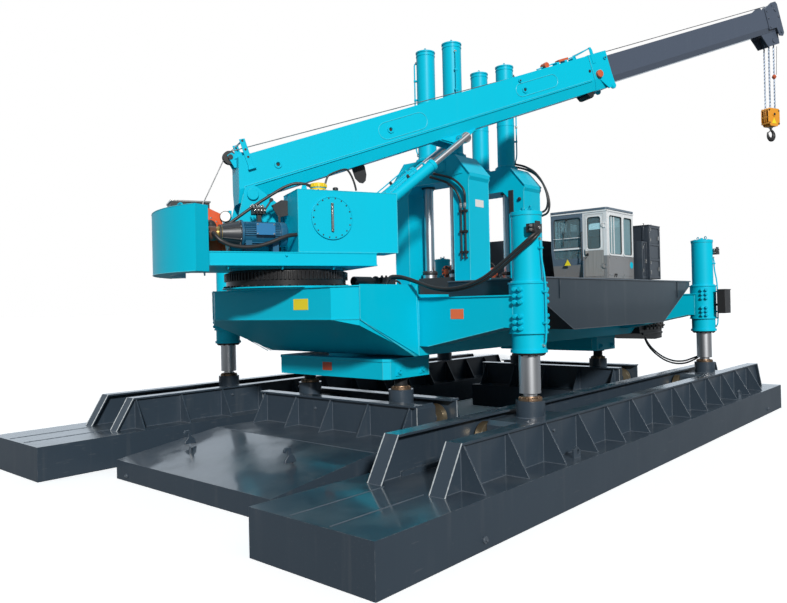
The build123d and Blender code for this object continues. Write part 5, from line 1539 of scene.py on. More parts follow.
door_face = wall((cab_x0 - 0.002, 0, 0), (0, -1, 0), (0, 0, 1))
window_frame("door_window_frame", door_face, 1.316, 1.656, sill + 0.130, window_head - 0.020,
             frame_white, "cab_door", 0.026, 0.006, 0.055)
window_frame("door_window_seal", door_face, 1.324, 1.648, sill + 0.138, window_head - 0.028,
             rubber, "cab_door", 0.010, 0.003, 0.048)

# The sliding panes' stiles, the windscreen's bars and rails, drip rail and corner posts
stiles = Piece("cab_stiles")
for y in (cab_y0 + 0.012, cab_y1 - 0.012 - 0.020):
    for x in (cab_x0 + 0.290, cab_x0 + 0.430):
        stiles.slab((x, y, sill), (x + 0.022, y + 0.020, window_head))
stiles.slab((cab_x0 - 0.012, screen_y0, sill + 0.150), (cab_x0 + 0.014, screen_y1, sill + 0.190))
stiles.slab((cab_x0 - 0.026, screen_y0, sill + 0.420), (cab_x0 - 0.012, screen_y1, sill + 0.434))
for y in (screen_y0 + 0.03, screen_y1 - 0.03):
    stiles.slab((cab_x0 - 0.026, y - 0.010, sill + 0.420),
                (cab_x0 + 0.002, y + 0.010, sill + 0.434))
stiles.slab((cab_x0 - 0.014, cab_y0 - 0.014, cab_high - 0.045), (cab_x1 + 0.012, cab_y0 + 0.001,
                                                                  cab_high - 0.012))
stiles.slab((cab_x0 - 0.014, cab_y0 - 0.014, cab_high - 0.045), (cab_x0 + 0.001, cab_y1 + 0.012,
                                                                  cab_high - 0.012))
stiles.done(frame_white, "machine", 0.002)
for number, x in enumerate((cab_x0 + 0.055, cab_x0 + 0.860, cab_x1 - 0.040)):
    rib = Piece(f"cab_post_rib_{number}")
    rib.slab((x - 0.016, cab_y0 - 0.008, cab_low + 0.02),
             (x + 0.016, cab_y0 + 0.001, cab_high - 0.05))
    rib.done(cab_paint, "machine", 0.004)
panel = Piece("cab_side_panel")
panel.slab((cab_x0 + 0.090, cab_y0 - 0.006, cab_low + 0.060), (cab_x1 - 0.060, cab_y0 + 0.001,
                                                               sill - 0.060))
panel.slab((cab_x1 - 0.001, cab_y0 + 0.12, cab_low + 0.10), (cab_x1 + 0.006, cab_y1 - 0.12,
                                                             sill + 0.02))
panel.done(cab_paint, "machine", 0.004)
grips = Piece("cab_grab_rails")
rail_y, rail_foot, rail_head = door_y1 + 0.060, 3.62, 4.30
rail = [(cab_x0, rail_y, rail_foot), (cab_x0 - 0.055, rail_y, rail_foot + 0.02),
        (cab_x0 - 0.055, rail_y, rail_head - 0.02), (cab_x0, rail_y, rail_head)]
loop = [(cab_x0 + 0.38, cab_y0, cab_low + 0.030), (cab_x0 + 0.38, cab_y0 - 0.018, cab_low + 0.10),
        (cab_x0 + 0.48, cab_y0 - 0.018, cab_low + 0.10), (cab_x0 + 0.48, cab_y0, cab_low + 0.030)]
for bend in (rail, loop):
    for a, b in zip(bend, bend[1:]):
        grips.bar(a, b, 0.012, sides=14)
grips.done(black_iron, "machine", 0)
roof_ribs = Piece("cab_roof_ribs")
for y in (cab_y0 + 0.20, (cab_y0 + cab_y1) / 2, cab_y1 - 0.20):
    roof_ribs.slab((cab_x0 + 0.06, y - 0.022, cab_high + 0.044), (cab_x1 - 0.06, y + 0.022,
                                                                 cab_high + 0.056))
roof_ribs.done(slate_blue, "machine", 0.004)
triangle = Piece("cab_triangle", wall((cab_x0 - 0.001, -0.800, sill - 0.150), (0, -1, 0),
                                      (0, 0, 1)))
triangle.plate([(-0.085, -0.070, 0), (0.085, -0.070, 0), (0, 0.078, 0)], (0, 0, 0.004))
triangle.done(sign_yellow, "machine", 0.001)
disc = Piece("cab_round_badge")
disc.turned((cab_x1 - 0.150, cab_y0 - 0.005, sill - 0.230), (0, -1, 0),
            [(0, 0.085), (0.006, 0.083)], 32)
disc.done(turquoise, "machine", 0.001)
bolts("cab_panel_screws", [((x, cab_y0 - 0.006, z), (0, -1, 0))
                           for z in (cab_low + 0.085, sill - 0.085)
                           for x in (cab_x0 + 0.115, cab_x0 + 0.48, cab_x0 + 0.90, cab_x1 - 0.085)],
      0.016, zinc, "machine")
wiper = Piece("cab_wiper")
wiper.turned((cab_x0 - 0.012, -0.80, window_head - 0.045), (-1, 0, 0),
             [(0, 0.022), (0.030, 0.018)], 16)
wiper.bar((cab_x0 - 0.034, -0.80, window_head - 0.045), (cab_x0 - 0.034, -0.70, sill + 0.34), 0.006,
          sides=8)
wiper.slab((cab_x0 - 0.036, -0.712, sill + 0.24), (cab_x0 - 0.012, -0.700, sill + 0.60))
wiper.done(black_iron, "machine", 0)
handle = Piece("door_lock")
handle.slab((cab_x0 - 0.016, door_y1 - 0.095, sill - 0.020), (cab_x0 - 0.001, door_y1 - 0.020,
                                                             sill + 0.045))
handle.turned((cab_x0 - 0.016, door_y1 - 0.040, sill - 0.060), (-1, 0, 0),
              [(0, 0.014), (0.008, 0.012)], 16)
handle.done(black_iron, "cab_door", 0.002)
door_seal = Piece("door_edge_seal")
for y in (door_y0 + 0.005, door_y1 - 0.017):
    door_seal.slab((cab_x0 + 0.046, y, cab_low + 0.07),
                   (cab_x0 + 0.056, y + 0.012, window_head + 0.02))
door_seal.done(rubber, "cab_door", 0.002)


# ---------------------------------------------------------------- cab seat
# Two stuffed cushions in dark woven cloth on a sprung pedestal, between two grey
# control consoles with levers, boots and arm pads.
def woven_cloth():
    finish = Finish("seat_cloth", "black_plastic", roughness=0.85, edge_width=0.002)
    warp = finish.noise(1.0, 2, (900, 90, 900))
    finish.colour(finish.blend((0.030, 0.032, 0.036), (0.075, 0.078, 0.085),
                               finish.ramp(warp, 0.4, 0.6)))
    finish.gloss(warp, 0.75, 0.95)
    finish.relief(warp, 0.3, 0.001)
    return finish.material


seat_cloth = woven_cloth()
seat_x, seat_y, seat_floor = cab_x0 + 0.820, (cab_y0 + cab_y1) / 2, cab_low + 0.050


def cushion(name, low, high, crown_axis, finish, body):
    """A stuffed pad: crowned faces, sides pulled in between the corners, a sunk channel."""
    low, high = Vector(low), Vector(high)
    middle, half = (low + high) / 2, (high - low) / 2
    mesh = bmesh.new()
    bmesh.ops.create_cube(mesh, size=2.0)
    bmesh.ops.subdivide_edges(mesh, edges=mesh.edges[:], cuts=23, use_grid_fill=True)
    flat = [axis for axis in range(3) if axis != crown_axis]
    for vert in mesh.verts:
        a, b, c = vert.co[flat[0]], vert.co[flat[1]], vert.co[crown_axis]
        puff = (1 - a ** 4) * (1 - b ** 4)
        round_a = a * (1 - 0.10 * c * c) * (1 - 0.030 * (1 - b * b))
        round_b = b * (1 - 0.10 * c * c) * (1 - 0.030 * (1 - a * a))
        channel = 0.10 * math.exp(-((abs(a) - 0.62) / 0.035) ** 2)
        channel += 0.05 * math.exp(-(b / 0.045) ** 2)
        level = c * (0.70 + 0.30 * puff ** 0.6 - channel * (abs(b) < 0.97))
        place = [0, 0, 0]
        place[flat[0]] = middle[flat[0]] + half[flat[0]] * round_a
        place[flat[1]] = middle[flat[1]] + half[flat[1]] * round_b
        place[crown_axis] = middle[crown_axis] + half[crown_axis] * level
        vert.co = place
    bmesh.ops.recalc_face_normals(mesh, faces=mesh.faces)
    data = bpy.data.meshes.new(name)
    mesh.to_mesh(data)
    mesh.free()
    piece = settle(data, name, finish, body, sharp=60)
    return piece


cushion("seat_cushion", (seat_x - 0.255, seat_y - 0.248, seat_floor + 0.335),
        (seat_x + 0.200, seat_y + 0.248, seat_floor + 0.450), 2, seat_cloth, "machine")
cushion("seat_back", (seat_x + 0.168, seat_y - 0.226, seat_floor + 0.430),
        (seat_x + 0.288, seat_y + 0.226, seat_floor + 1.050), 0, seat_cloth, "machine")
stand = Piece("seat_pedestal")
stand.slab((seat_x - 0.130, seat_y - 0.130, seat_floor), (seat_x + 0.130, seat_y + 0.130,
                                                        seat_floor + 0.050))
for level in range(6):
    low = seat_floor + 0.050 + level * 0.038
    stand.slab((seat_x - 0.110, seat_y - 0.110, low), (seat_x + 0.110, seat_y + 0.110, low + 0.022))
    stand.slab((seat_x - 0.095, seat_y - 0.095, low + 0.022), (seat_x + 0.095, seat_y + 0.095,
                                                             low + 0.038))
stand.slab((seat_x - 0.220, seat_y - 0.210, seat_floor + 0.278), (seat_x + 0.230, seat_y + 0.210,
                                                                seat_floor + 0.345))
stand.slab((seat_x + 0.230, seat_y - 0.100, seat_floor + 0.300), (seat_x + 0.262, seat_y + 0.100,
                                                                seat_floor + 0.900))
stand_piece = stand.done(rubber, "machine", 0.004)
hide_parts("cab_seat")
desk = Piece("seat_consoles")
for side in (-1, 1):
    y0, y1 = sorted((seat_y + side * 0.290, seat_y + side * 0.430))
    x0, x1 = seat_x - 0.320, seat_x + 0.160
    desk.plate([(x0 + 0.02, y0, seat_floor), (x1 - 0.06, y0, seat_floor),
                (x1, y0, seat_floor + 0.40),
                (x1, y0, seat_floor + 0.580), (x0 + 0.10, y0, seat_floor + 0.600),
                (x0, y0, seat_floor + 0.540)], (0, y1 - y0, 0))
desk.done(slate_blue, "machine", 0.010)
levers = Piece("console_levers")
for side in (-1, 1):
    y = seat_y + side * 0.360
    levers.slab((seat_x - 0.10, y - 0.045, seat_floor + 0.585), (seat_x + 0.150, y + 0.045,
                                                               seat_floor + 0.640))
    for x in (-0.28, -0.20):
        foot = Vector((seat_x + x, y, seat_floor + 0.560))
        levers.turned(foot, (0, 0, 1), [(0, 0.032), (0.020, 0.026), (0.050, 0.010)], 16)
        levers.bar(foot + Vector((0, 0, 0.04)), foot + Vector((-0.01, 0, 0.150)), 0.006, sides=10)
        levers.turned(foot + Vector((-0.01, 0, 0.150)), (0, 0, 1),
                      [(0, 0.012), (0.015, 0.021), (0.035, 0.021), (0.048, 0.010)], 16)
levers.done(rubber, "machine", 0.003)


# ---------------------------------------------------------------- power deck
# The frame that carries the cab, and the dark slate cabinets over the pump motors:
# folded panels in angle frames, hinged doors, louvres and lifting eyes.
cabinet_slate = plate_paint("cabinet_enamel", "slate_paint", (0.030, 0.040, 0.054),
                            (0.022, 0.030, 0.042), (0.14, 0.15, 0.16), (0.22, 0.24, 0.25),
                            (0.32, 0.48), 0.5, 0.4, 0.15)
dress("power_platform", tray_slate)
dress("power_cabinets", cabinet_slate)
tall_x0, tall_x1 = 4.800, 5.495
low_x0, low_x1 = 4.470, 4.790
near_tall, near_low = -2.010, -1.960
deck_z, tall_z, low_z = 3.180, 4.530, 4.110
frames = Piece("cabinet_frames")
for x in (tall_x0, tall_x1 - 0.055):
    frames.slab((x, near_tall - 0.022, deck_z), (x + 0.055, near_tall + 0.002, tall_z))
for z in (deck_z + 0.02, 3.640, 4.02, tall_z - 0.075):
    frames.slab((tall_x0 + 0.055, near_tall - 0.018, z), (tall_x1 - 0.055, near_tall + 0.002,
                                                          z + 0.052))
for x in (low_x0, low_x1 - 0.040):
    frames.slab((x, near_low - 0.018, deck_z), (x + 0.040, near_low + 0.002, low_z))
for z in (deck_z + 0.02, low_z - 0.045):
    frames.slab((low_x0 + 0.040, near_low - 0.014, z),
                (low_x1 - 0.040, near_low + 0.002, z + 0.045))
frames.slab((low_x0 + 0.130, near_low - 0.012, deck_z + 0.065), (low_x0 + 0.165, near_low + 0.002,
                                                                low_z - 0.045))
frames.slab((tall_x0 - 0.022, near_tall - 0.022, tall_z - 0.020), (tall_x1 + 0.022, 0.322,
                                                                   tall_z + 0.004))
for y in (-1.90, -1.40, -0.90, -0.40, 0.10):
    frames.slab((tall_x0 - 0.018, y, low_z + 0.04), (tall_x0 + 0.002, y + 0.05, tall_z - 0.02))
    frames.slab((tall_x1 - 0.002, y, deck_z + 0.02), (tall_x1 + 0.018, y + 0.05, tall_z - 0.02))
for z in (deck_z + 0.02, 3.86, tall_z - 0.075):
    frames.slab((tall_x1 - 0.002, near_tall + 0.02, z), (tall_x1 + 0.014, 0.30, z + 0.05))
for x in (2.99, 3.62, 4.24, 4.86, 5.44):
    frames.slab((x, 1.698, deck_z + 0.02), (x + 0.05, 1.716, 4.27))
for z in (deck_z + 0.02, 3.70, 4.22):
    frames.slab((2.99, 1.698, z), (5.49, 1.712, z + 0.05))
frames.done(cabinet_slate, "machine", 0.003)
cowl = Piece("cabinet_cowl")
cowl.plate([(tall_x1 - 0.002, near_tall + 0.05, 3.25), (tall_x1 + 0.090, near_tall + 0.05, 3.33),
            (tall_x1 + 0.090, near_tall + 0.05, 4.40), (tall_x1 - 0.002, near_tall + 0.05, 4.48)],
           (0, 0.62, 0))
cowl.done(cabinet_slate, "machine", 0.006)
vents = Piece("cabinet_louvres")
for y in (-1.30, -0.80, -0.30):
    for level in range(11):
        z = 3.32 + level * 0.042
        vents.plate([(tall_x1, y, z), (tall_x1 + 0.020, y, z + 0.004),
                     (tall_x1 + 0.020, y, z + 0.010),
                     (tall_x1, y, z + 0.030)], (0, 0.38, 0))
for x in (3.12, 3.75, 4.37, 4.99):
    for level in range(9):
        z = 3.80 + level * 0.042
        vents.plate([(x, 1.700, z + 0.030), (x, 1.720, z + 0.010), (x, 1.720, z + 0.004),
                     (x, 1.700, z)], (0.40, 0, 0))
vents.done(cabinet_slate, "machine", 0)
catches = Piece("cabinet_hinges_and_latches")
for x, y, heights in ((low_x0 + 0.045, near_low - 0.012, (3.35, 3.92)),
                      (tall_x0 + 0.070, near_tall - 0.012, (3.30, 3.55, 4.12, 4.38))):
    for z in heights:
        catches.bar((x, y - 0.012, z), (x, y - 0.012, z + 0.080), 0.010, sides=12)
        catches.slab((x, y - 0.010, z + 0.01), (x + 0.040, y + 0.010, z + 0.07))
for x, y, z in ((low_x1 - 0.080, near_low - 0.002, 3.62),
                (tall_x1 - 0.110, near_tall - 0.002, 3.44),
                (tall_x1 - 0.110, near_tall - 0.002, 4.22)):
    catches.slab((x - 0.016, y - 0.026, z - 0.05), (x + 0.016, y, z + 0.05))
for x in (tall_x0 + 0.10, tall_x1 - 0.10):
    for y in (-1.85, 0.15):
        ring = [Vector((x + 0.026 * math.cos(a), y, tall_z + 0.034 + 0.026 * math.sin(a)))
                for a in [2 * math.pi * i / 16 for i in range(17)]]
        for a, b in zip(ring, ring[1:]):
            catches.bar(a, b, 0.007, sides=8)
        catches.turned((x, y, tall_z), (0, 0, 1), [(0, 0.022), (0.012, 0.020)], 14)
catches.done(zinc, "machine", 0.001)
inset = Piece("cabinet_panels")
inset.slab((tall_x0 + 0.065, near_tall - 0.006, 3.70), (tall_x1 - 0.065, near_tall + 0.001, 4.01))
inset.slab((tall_x0 + 0.065, near_tall - 0.006, 4.08), (tall_x1 - 0.065, near_tall + 0.001, 4.44))
inset.slab((tall_x0 + 0.065, near_tall - 0.006, 3.26), (tall_x1 - 0.065, near_tall + 0.001, 3.63))
inset.done(cabinet_slate, "machine", 0.003)
# Steps of the platform's frame, seen from the cab's side
treads = Piece("platform_treads")
for x in range(4):
    x0 = 2.600 + 0.130 + x * 0.720
    for y in (-1.790, 1.790):
        inner = y + (0.10 if y < 0 else -0.10)
        treads.slab((x0 + 0.02, y, 2.881), (x0 + 0.05, inner, 3.129))
treads.done(tray_slate, "machine", 0.002)


# ---------------------------------------------------------------- slewing ring and deck
# The crane turns on a toothed ring bolted to the nose. The deck is a turquoise plate
# with cheeks for the boom's foot; its near side carries the oil tank.
slew = Vector(joints["crane_slew"]["pos_m"])
crane_n = Vector(joints["boom_luff"]["axis"])
crane_s = Vector((crane_n.y, -crane_n.x, 0))
crane_place = Matrix(((crane_s.x, crane_n.x, 0, slew.x), (crane_s.y, crane_n.y, 0, slew.y),
                      (0, 0, 1, 0), (0, 0, 0, 1)))
gear_black = greasy_black("slewing_gear_grease", "black_steel", (0.020, 0.020, 0.022),
                          (0.16, 0.38))
dress("slew_ring", gear_black)
race_r = 0.900
bolts("ring_bolts", around((slew.x, slew.y, 2.994), (0, 0, 1), 0.985, 48), 0.030, gear_black,
      "machine", 0.026)
seat = Piece("ring_seat_lip")
seat.turned((slew.x, slew.y, 2.970), (0, 0, 1),
            [(0, 0.950), (0, 1.020), (0.020, 1.020), (0.024, 0.950)], 72, closed=True)
seat.done(turquoise, "machine", 0.002)
dust_seal = Piece("ring_dust_seal")
dust_seal.turned((slew.x, slew.y, 3.2254), (0, 0, 1),
                 [(0, race_r - 0.002), (0.004, race_r + 0.028), (0.020, race_r + 0.022),
                  (0.026, race_r - 0.002)], 72, closed=True)
dust_seal.done(rubber, "crane", 0)
pinion = Piece("slew_pinion_housing", crane_place)
motor_s, motor_n, motor_foot = 0.62, 0.92, 3.489
pinion.turned((motor_s, motor_n, motor_foot), (0, 0, 1),
              [(0, 0.150), (0.10, 0.150), (0.11, 0.125), (0.30, 0.125), (0.31, 0.100),
               (0.46, 0.095), (0.47, 0.05)], 28)
pinion.done(primer, "crane")
bolts("slew_motor_bolts", around(crane_place @ Vector((motor_s, motor_n, 3.589)), (0, 0, 1), 0.138,
                                 8),
      0.022, zinc, "crane")

deck_low, deck_high, deck_half = 3.285, 3.489, 1.050
deck_front = 1.150
deck_trim = Piece("deck_trim", crane_place)
for side in (-1, 1):
    y = side * deck_half
    deck_trim.slab((-1.43, y, deck_low), (deck_front + 0.006, y + side * 0.012, deck_low + 0.022))
    deck_trim.slab((-1.43, y, deck_high - 0.016), (deck_front + 0.006, y + side * 0.01, deck_high))
deck_trim.slab((deck_front - 0.002, -deck_half, deck_low), (deck_front + 0.012, deck_half,
                                                           deck_low + 0.022))
for x in (-1.15, -0.35, 0.45):
    for side in (-1, 1):
        deck_trim.plate([(x, side * 1.03, deck_low + 0.001), (x, side * 0.92, deck_low + 0.001),
                         (x, side * 0.92, deck_low - 0.052), (x, side * 0.99, deck_low - 0.052)],
                        (0.016, 0, 0))
deck_trim.turned((-0.30, -deck_half - 0.010, deck_high - 0.050), (0, -1, 0),
                 [(0, 0.018), (0.024, 0.018)], 6)
deck_trim.done(turquoise, "crane", 0.003)
runs = []
for side in (-1, 1):
    for y in (0.245, 0.285):
        runs.append([(-0.960, side * y, deck_high), (0.700, side * y, deck_high)])
runs.append([(-0.960, -0.285, deck_high), (-0.740, -0.285, 4.440)])
weld("deck_welds", runs, weld_highlight_cyan, "crane", 0.008, crane_place)
foot = Piece("boom_foot_pins", crane_place)
for side in (-1, 1):
    foot.turned((-0.600, side * 0.305, 4.440), (0, side, 0), [(0, 0.092), (0.016, 0.092),
                                                             (0.022, 0.084)], 32)
    foot.slab((-0.66, side * 0.3, 4.492), (-0.54, side * 0.325, 4.53))
    foot.turned((0.840, side * 0.425, 3.750), (0, side, 0), [(0, 0.072), (0.014, 0.070)], 28)
foot.done(turquoise, "crane", 0.003)

# Oil tank: hatch ring and bolts, level gauge, filler cap, weld seams
tank_face = -1.050
tank_s0, tank_s1 = -0.107, 1.516
tank_top = 4.430
hatch = (0.424, tank_face - 0.022, 4.011)
bolts("tank_hatch_bolts", [(crane_place @ Vector(at), crane_place.to_3x3() @ Vector(way))
                           for at, way in around(hatch, (0, -1, 0), 0.298, 18)],
      0.015, black_iron, "crane")
rim = Piece("tank_hatch_rim", crane_place)
rim.turned((0.424, tank_face - 0.021, 4.011), (0, -1, 0),
           [(0, 0.314), (0, 0.329), (0.006, 0.329), (0.008, 0.314)], 56, closed=True)
rim.done(turquoise, "crane", 0.001)
gauge = Piece("tank_level_gauge", crane_place)
gauge.slab((0.404, tank_face - 0.040, 3.800), (0.444, tank_face - 0.021, 4.235))
gauge.done(rubber, "crane", 0.003)
gauge_tube = Piece("tank_gauge_tube", crane_place)
gauge_tube.slab((0.412, tank_face - 0.050, 3.835), (0.436, tank_face - 0.039, 4.200))
for z in (3.815, 4.220):
    gauge_tube.turned((0.424, tank_face - 0.039, z), (0, -1, 0), [(0, 0.016), (0.016, 0.015)], 6)
gauge_tube.done(zinc, "crane", 0.002)
cap = Piece("tank_filler_cap", crane_place)
cap.turned((0.300, -0.800, tank_top), (0, 0, 1),
           [(0, 0.104), (0, 0.146), (0.022, 0.146), (0.026, 0.116), (0.060, 0.116), (0.060, 0.104)],
           40, closed=True)
cap.turned((0.300, -0.800, tank_top + 0.131), (0, 0, 1), [(-0.062, 0.118), (-0.058, 0.130),
                                                         (-0.006, 0.130), (0.004, 0.118),
                                                         (0.006, 0.050), (0.020, 0.040),
                                                         (0.024, 0.020)], 44)
for i in range(16):
    turn = 2 * math.pi * i / 16
    at = Vector((0.300 + 0.130 * math.cos(turn), -0.800 + 0.130 * math.sin(turn), tank_top + 0.075))
    cap.bar(at, at + Vector((0, 0, 0.045)), 0.008, sides=8)
cap.done(enamel("filler_yellow", "yellow_paint", (0.90, 0.62, 0.010), (0.3, 0.42), 0.2), "crane",
         0.002)
bolts("tank_cap_bolts", [(crane_place @ Vector(at), Vector((0, 0, 1)))
                         for at, _ in around((0.300, -0.800, tank_top + 0.026), (0, 0, 1), 0.134,
                                             10)],
      0.018, zinc, "crane")
seams = []
for z in (deck_high + 0.004, tank_top - 0.003):
    seams.append([(tank_s0, tank_face, z), (tank_s1, tank_face, z)])
    seams.append([(tank_s0, tank_face, z), (tank_s0, -0.300, z)])
seams.append([(tank_s0, tank_face, deck_high), (tank_s0, tank_face, tank_top)])
seams.append([(tank_s1, tank_face, deck_high), (tank_s1, tank_face, tank_top)])
weld("tank_welds", seams, weld_highlight_cyan, "crane", 0.006, crane_place)
fittings = Piece("tank_fittings", crane_place)
fittings.turned((0.640, -0.640, tank_top), (0, 0, 1), [(0, 0.050), (0.016, 0.050), (0.020, 0.028),
                                                     (0.070, 0.028), (0.074, 0.044),
                                                     (0.110, 0.044), (0.120, 0.03)], 24)
fittings.done(black_iron, "crane", 0.002)
lug = Piece("tank_lifting_lugs", crane_place)
for s in (0.02, 1.40):
    lug.plate([(s - 0.05, -0.98, tank_top), (s + 0.05, -0.98, tank_top),
               (s + 0.03, -0.98, tank_top + 0.07),
               (s - 0.03, -0.98, tank_top + 0.07)], (0, 0.014, 0))
lug.done(turquoise, "crane", 0.003)

# Small things between the tank and the boom: a gusset plate, the stay under the boom
bracket = Piece("valve_gusset", crane_place)
bracket.plate([(-0.209, -0.520, 4.334), (-0.369, -0.520, 4.241), (-0.255, -0.520, 4.062),
               (tank_s0, -0.520, 4.10), (tank_s0, -0.520, 4.33)], (0, 0.016, 0))
bracket.slab((-0.262, -0.536, 3.489), (-0.232, -0.504, 4.10))
bracket.done(black_iron, "crane", 0.003)
stay = Piece("stay_rods", crane_place)
stay.bar((-0.415, -0.700, 4.300), (-0.640, -0.700, 3.960), 0.014)
stay.turned((-0.415, -0.715, 4.300), (0, 1, 0), [(0, 0.030), (0.030, 0.030)], 18)
stay.done(black_iron, "crane", 0.001)
manifold = Piece("valve_manifold", crane_place)
manifold.slab((-0.700, -0.780, 4.075), (-0.520, -0.560, 4.165))
manifold.slab((-0.640, -0.740, 3.920), (-0.580, -0.640, 4.078))
manifold.done(black_iron, "crane", 0.005)
bright = Piece("valve_unions", crane_place)
for i, (s, z) in enumerate(((-0.690, 4.165), (-0.640, 4.165), (-0.590, 4.165), (-0.540, 4.165))):
    for y in (-0.74, -0.66, -0.58):
        bright.turned((s, y, z), (-0.4, 0, 1), [(0, 0.016), (0.030, 0.016), (0.030, 0.011),
                                             (0.060, 0.011)], 6)
    bright.turned((s, -0.780, 4.120), (0, -1, 0), [(0, 0.015), (0.034, 0.015), (0.034, 0.010),
                                                 (0.070, 0.010)], 6)
bright.done(zinc, "crane", 0.001)


# ---------------------------------------------------------------- counterweight, winch, pump unit
# A curved slab of ballast behind an orange-red hoist winch with steel rope. Ahead of it
# on the near side are a finned blue electric motor, a black bell housing and a gear pump.
winch_red = enamel("winch_orange_red", "red_primer", (0.72, 0.10, 0.020), (0.28, 0.4), 0.3,
                   (0.25, 0.2, 0.18), 0.4)
rope_steel = worn_steel("rope_steel", (0.30, 0.31, 0.32), (0.12, 0.12, 0.12), (0.5, 0.5, 0.5),
                        (0.35, 0.5))
motor_blue = enamel("motor_blue", "blue_paint", (0.012, 0.115, 0.220), (0.3, 0.42), 0.25)
box_blue = enamel("terminal_box_blue", "blue_paint", (0.020, 0.190, 0.420), (0.3, 0.42), 0.25)
bell_grey = greasy_black("bell_housing_grey", "black_steel", (0.040, 0.046, 0.055), (0.34, 0.5))
dress("winch", winch_red)
dress("pump_unit", motor_blue)
rim_runs = []
for radius in (2.060, 1.800):
    for z in (3.200, 4.128):
        rim_runs.append([(radius * -math.cos(math.radians(a)), radius * math.sin(math.radians(a)),
                          z)
                         for a in range(-37, 38)])
weld("counterweight_edges", rim_runs, weld_highlight_cyan, "crane", 0.006, crane_place)
hooks = Piece("counterweight_hooks", crane_place)
for a in (-24, 24):
    way = Vector((-math.cos(math.radians(a)), math.sin(math.radians(a)), 0))
    across = Vector((-way.y, way.x, 0))
    at = way * 1.930 + Vector((0, 0, 4.130))
    arc = [at + across * 0.070 * math.cos(b) + Vector((0, 0, 0.055 * math.sin(b)))
           for b in [math.pi * i / 12 for i in range(13)]]
    for p, q in zip(arc, arc[1:]):
        hooks.bar(p, q, 0.014, sides=10)
hooks.done(turquoise, "crane", 0)

winch_s, winch_z = -1.330, 3.880
coils = Piece("winch_rope_coils", crane_place)
for turn in range(24):
    y = -0.345 + turn * 0.0296
    coils.turned((winch_s, y - 0.013, winch_z), (0, 1, 0),
                 [(0.002, 0.164), (0.002, 0.176), (0.008, 0.190), (0.013, 0.193), (0.018, 0.190),
                  (0.024, 0.176), (0.024, 0.164)], 36, closed=True)
coils.done(rope_steel, "crane", 0)
drum = Piece("winch_hubs_and_ribs", crane_place)
for y, way in ((-0.470, -1), (0.470, 1)):
    drum.turned((winch_s, y, winch_z), (0, way, 0), [(0, 0.180), (0.020, 0.180), (0.026, 0.160)],
                36)
    for x in (-0.19, 0.19):
        drum.plate([(winch_s + x, y, 3.489), (winch_s + x, y + way * 0.07, 3.489),
                    (winch_s + x, y, 3.70)], (0.014, 0, 0))
drum.slab((winch_s - 0.29, -0.50, 3.489), (winch_s + 0.29, -0.40, 3.515))
drum.slab((winch_s - 0.29, 0.40, 3.489), (winch_s + 0.29, 0.50, 3.515))
for x, z in ((-0.20, 4.060), (0.17, 4.060)):
    drum.bar((winch_s + x, -0.43, z), (winch_s + x, 0.43, z), 0.020)
drum.done(winch_red, "crane", 0.003)
bolts("winch_hub_bolts", [(crane_place @ Vector(at), crane_place.to_3x3() @ Vector(way))
                          for side in (-1, 1)
                          for at, way in around((winch_s, side * 0.496, winch_z), (0, side, 0),
                                                0.150, 10)], 0.024, zinc, "crane")
drive = Piece("winch_motor", crane_place)
drive.turned((winch_s, -0.640, winch_z), (0, -1, 0), [(0, 0.100), (0.012, 0.100), (0.020, 0.070),
                                                     (0.100, 0.066), (0.110, 0.040)], 28)
drive.done(black_iron, "crane", 0.002)

motor_y, motor_z = -0.800, 3.765
fins = Piece("motor_fins", crane_place)
for i in range(36):
    turn = 2 * math.pi * i / 36
    if 190 < math.degrees(turn) < 230:
        continue
    spoke = Vector((0, math.cos(turn), math.sin(turn)))
    side_of = Vector((0, -math.sin(turn), math.cos(turn)))
    at = Vector((-0.880, motor_y, motor_z)) + spoke * 0.160
    fins.plate([at - side_of * 0.004, at + side_of * 0.004, at + side_of * 0.003 + spoke * 0.024,
                at - side_of * 0.003 + spoke * 0.024], (0.52, 0, 0))
fins.turned((-0.350, motor_y, motor_z), (1, 0, 0), [(0, 0.165), (0.004, 0.188), (0.085, 0.188),
                                                   (0.112, 0.170), (0.114, 0.050)], 40)
fins.turned((-0.895, motor_y, motor_z), (-1, 0, 0), [(-0.02, 0.160), (0, 0.208), (0.018, 0.208),
                                                    (0.022, 0.190)], 40)
fins.done(motor_blue, "crane", 0.001)
fan = Piece("motor_fan_cover", crane_place)
fan.turned((-0.238, motor_y, motor_z), (1, 0, 0), [(0, 0.165), (0.010, 0.150), (0.012, 0.040)], 40)
fan.slab((-0.730, motor_y - 0.235, motor_z - 0.030), (-0.450, motor_y - 0.205, motor_z + 0.140))
fan.done(box_blue, "crane", 0.004)
bolts("motor_box_screws", [(crane_place @ Vector((s, motor_y - 0.235, z)),
                            crane_place.to_3x3() @ Vector((0, -1, 0)))
                           for s in (-0.712, -0.468) for z in (3.752, 3.888)], 0.016, zinc, "crane")
bell = Piece("bell_housing", crane_place)
bell.turned((-0.912, motor_y, motor_z), (-1, 0, 0),
            [(0, 0.196), (0.022, 0.196), (0.024, 0.176), (0.290, 0.118), (0.294, 0.132),
             (0.320, 0.132)], 44)
for i in range(6):
    turn = 2 * math.pi * (i + 0.5) / 6
    spoke = Vector((0, math.cos(turn), math.sin(turn)))
    side_of = Vector((0, -math.sin(turn), math.cos(turn)))
    a = Vector((-0.936, motor_y, motor_z)) + spoke * 0.172
    b = Vector((-1.200, motor_y, motor_z)) + spoke * 0.118
    bell.plate([a, a + spoke * 0.022, b + spoke * 0.012, b], side_of * 0.010)
bell.done(bell_grey, "crane", 0.002)
bolts("bell_bolts", [(crane_place @ Vector(at), crane_place.to_3x3() @ Vector(way))
                     for at, way in around((-0.934, motor_y, motor_z), (-1, 0, 0), 0.186, 12)],
      0.022, zinc, "crane")
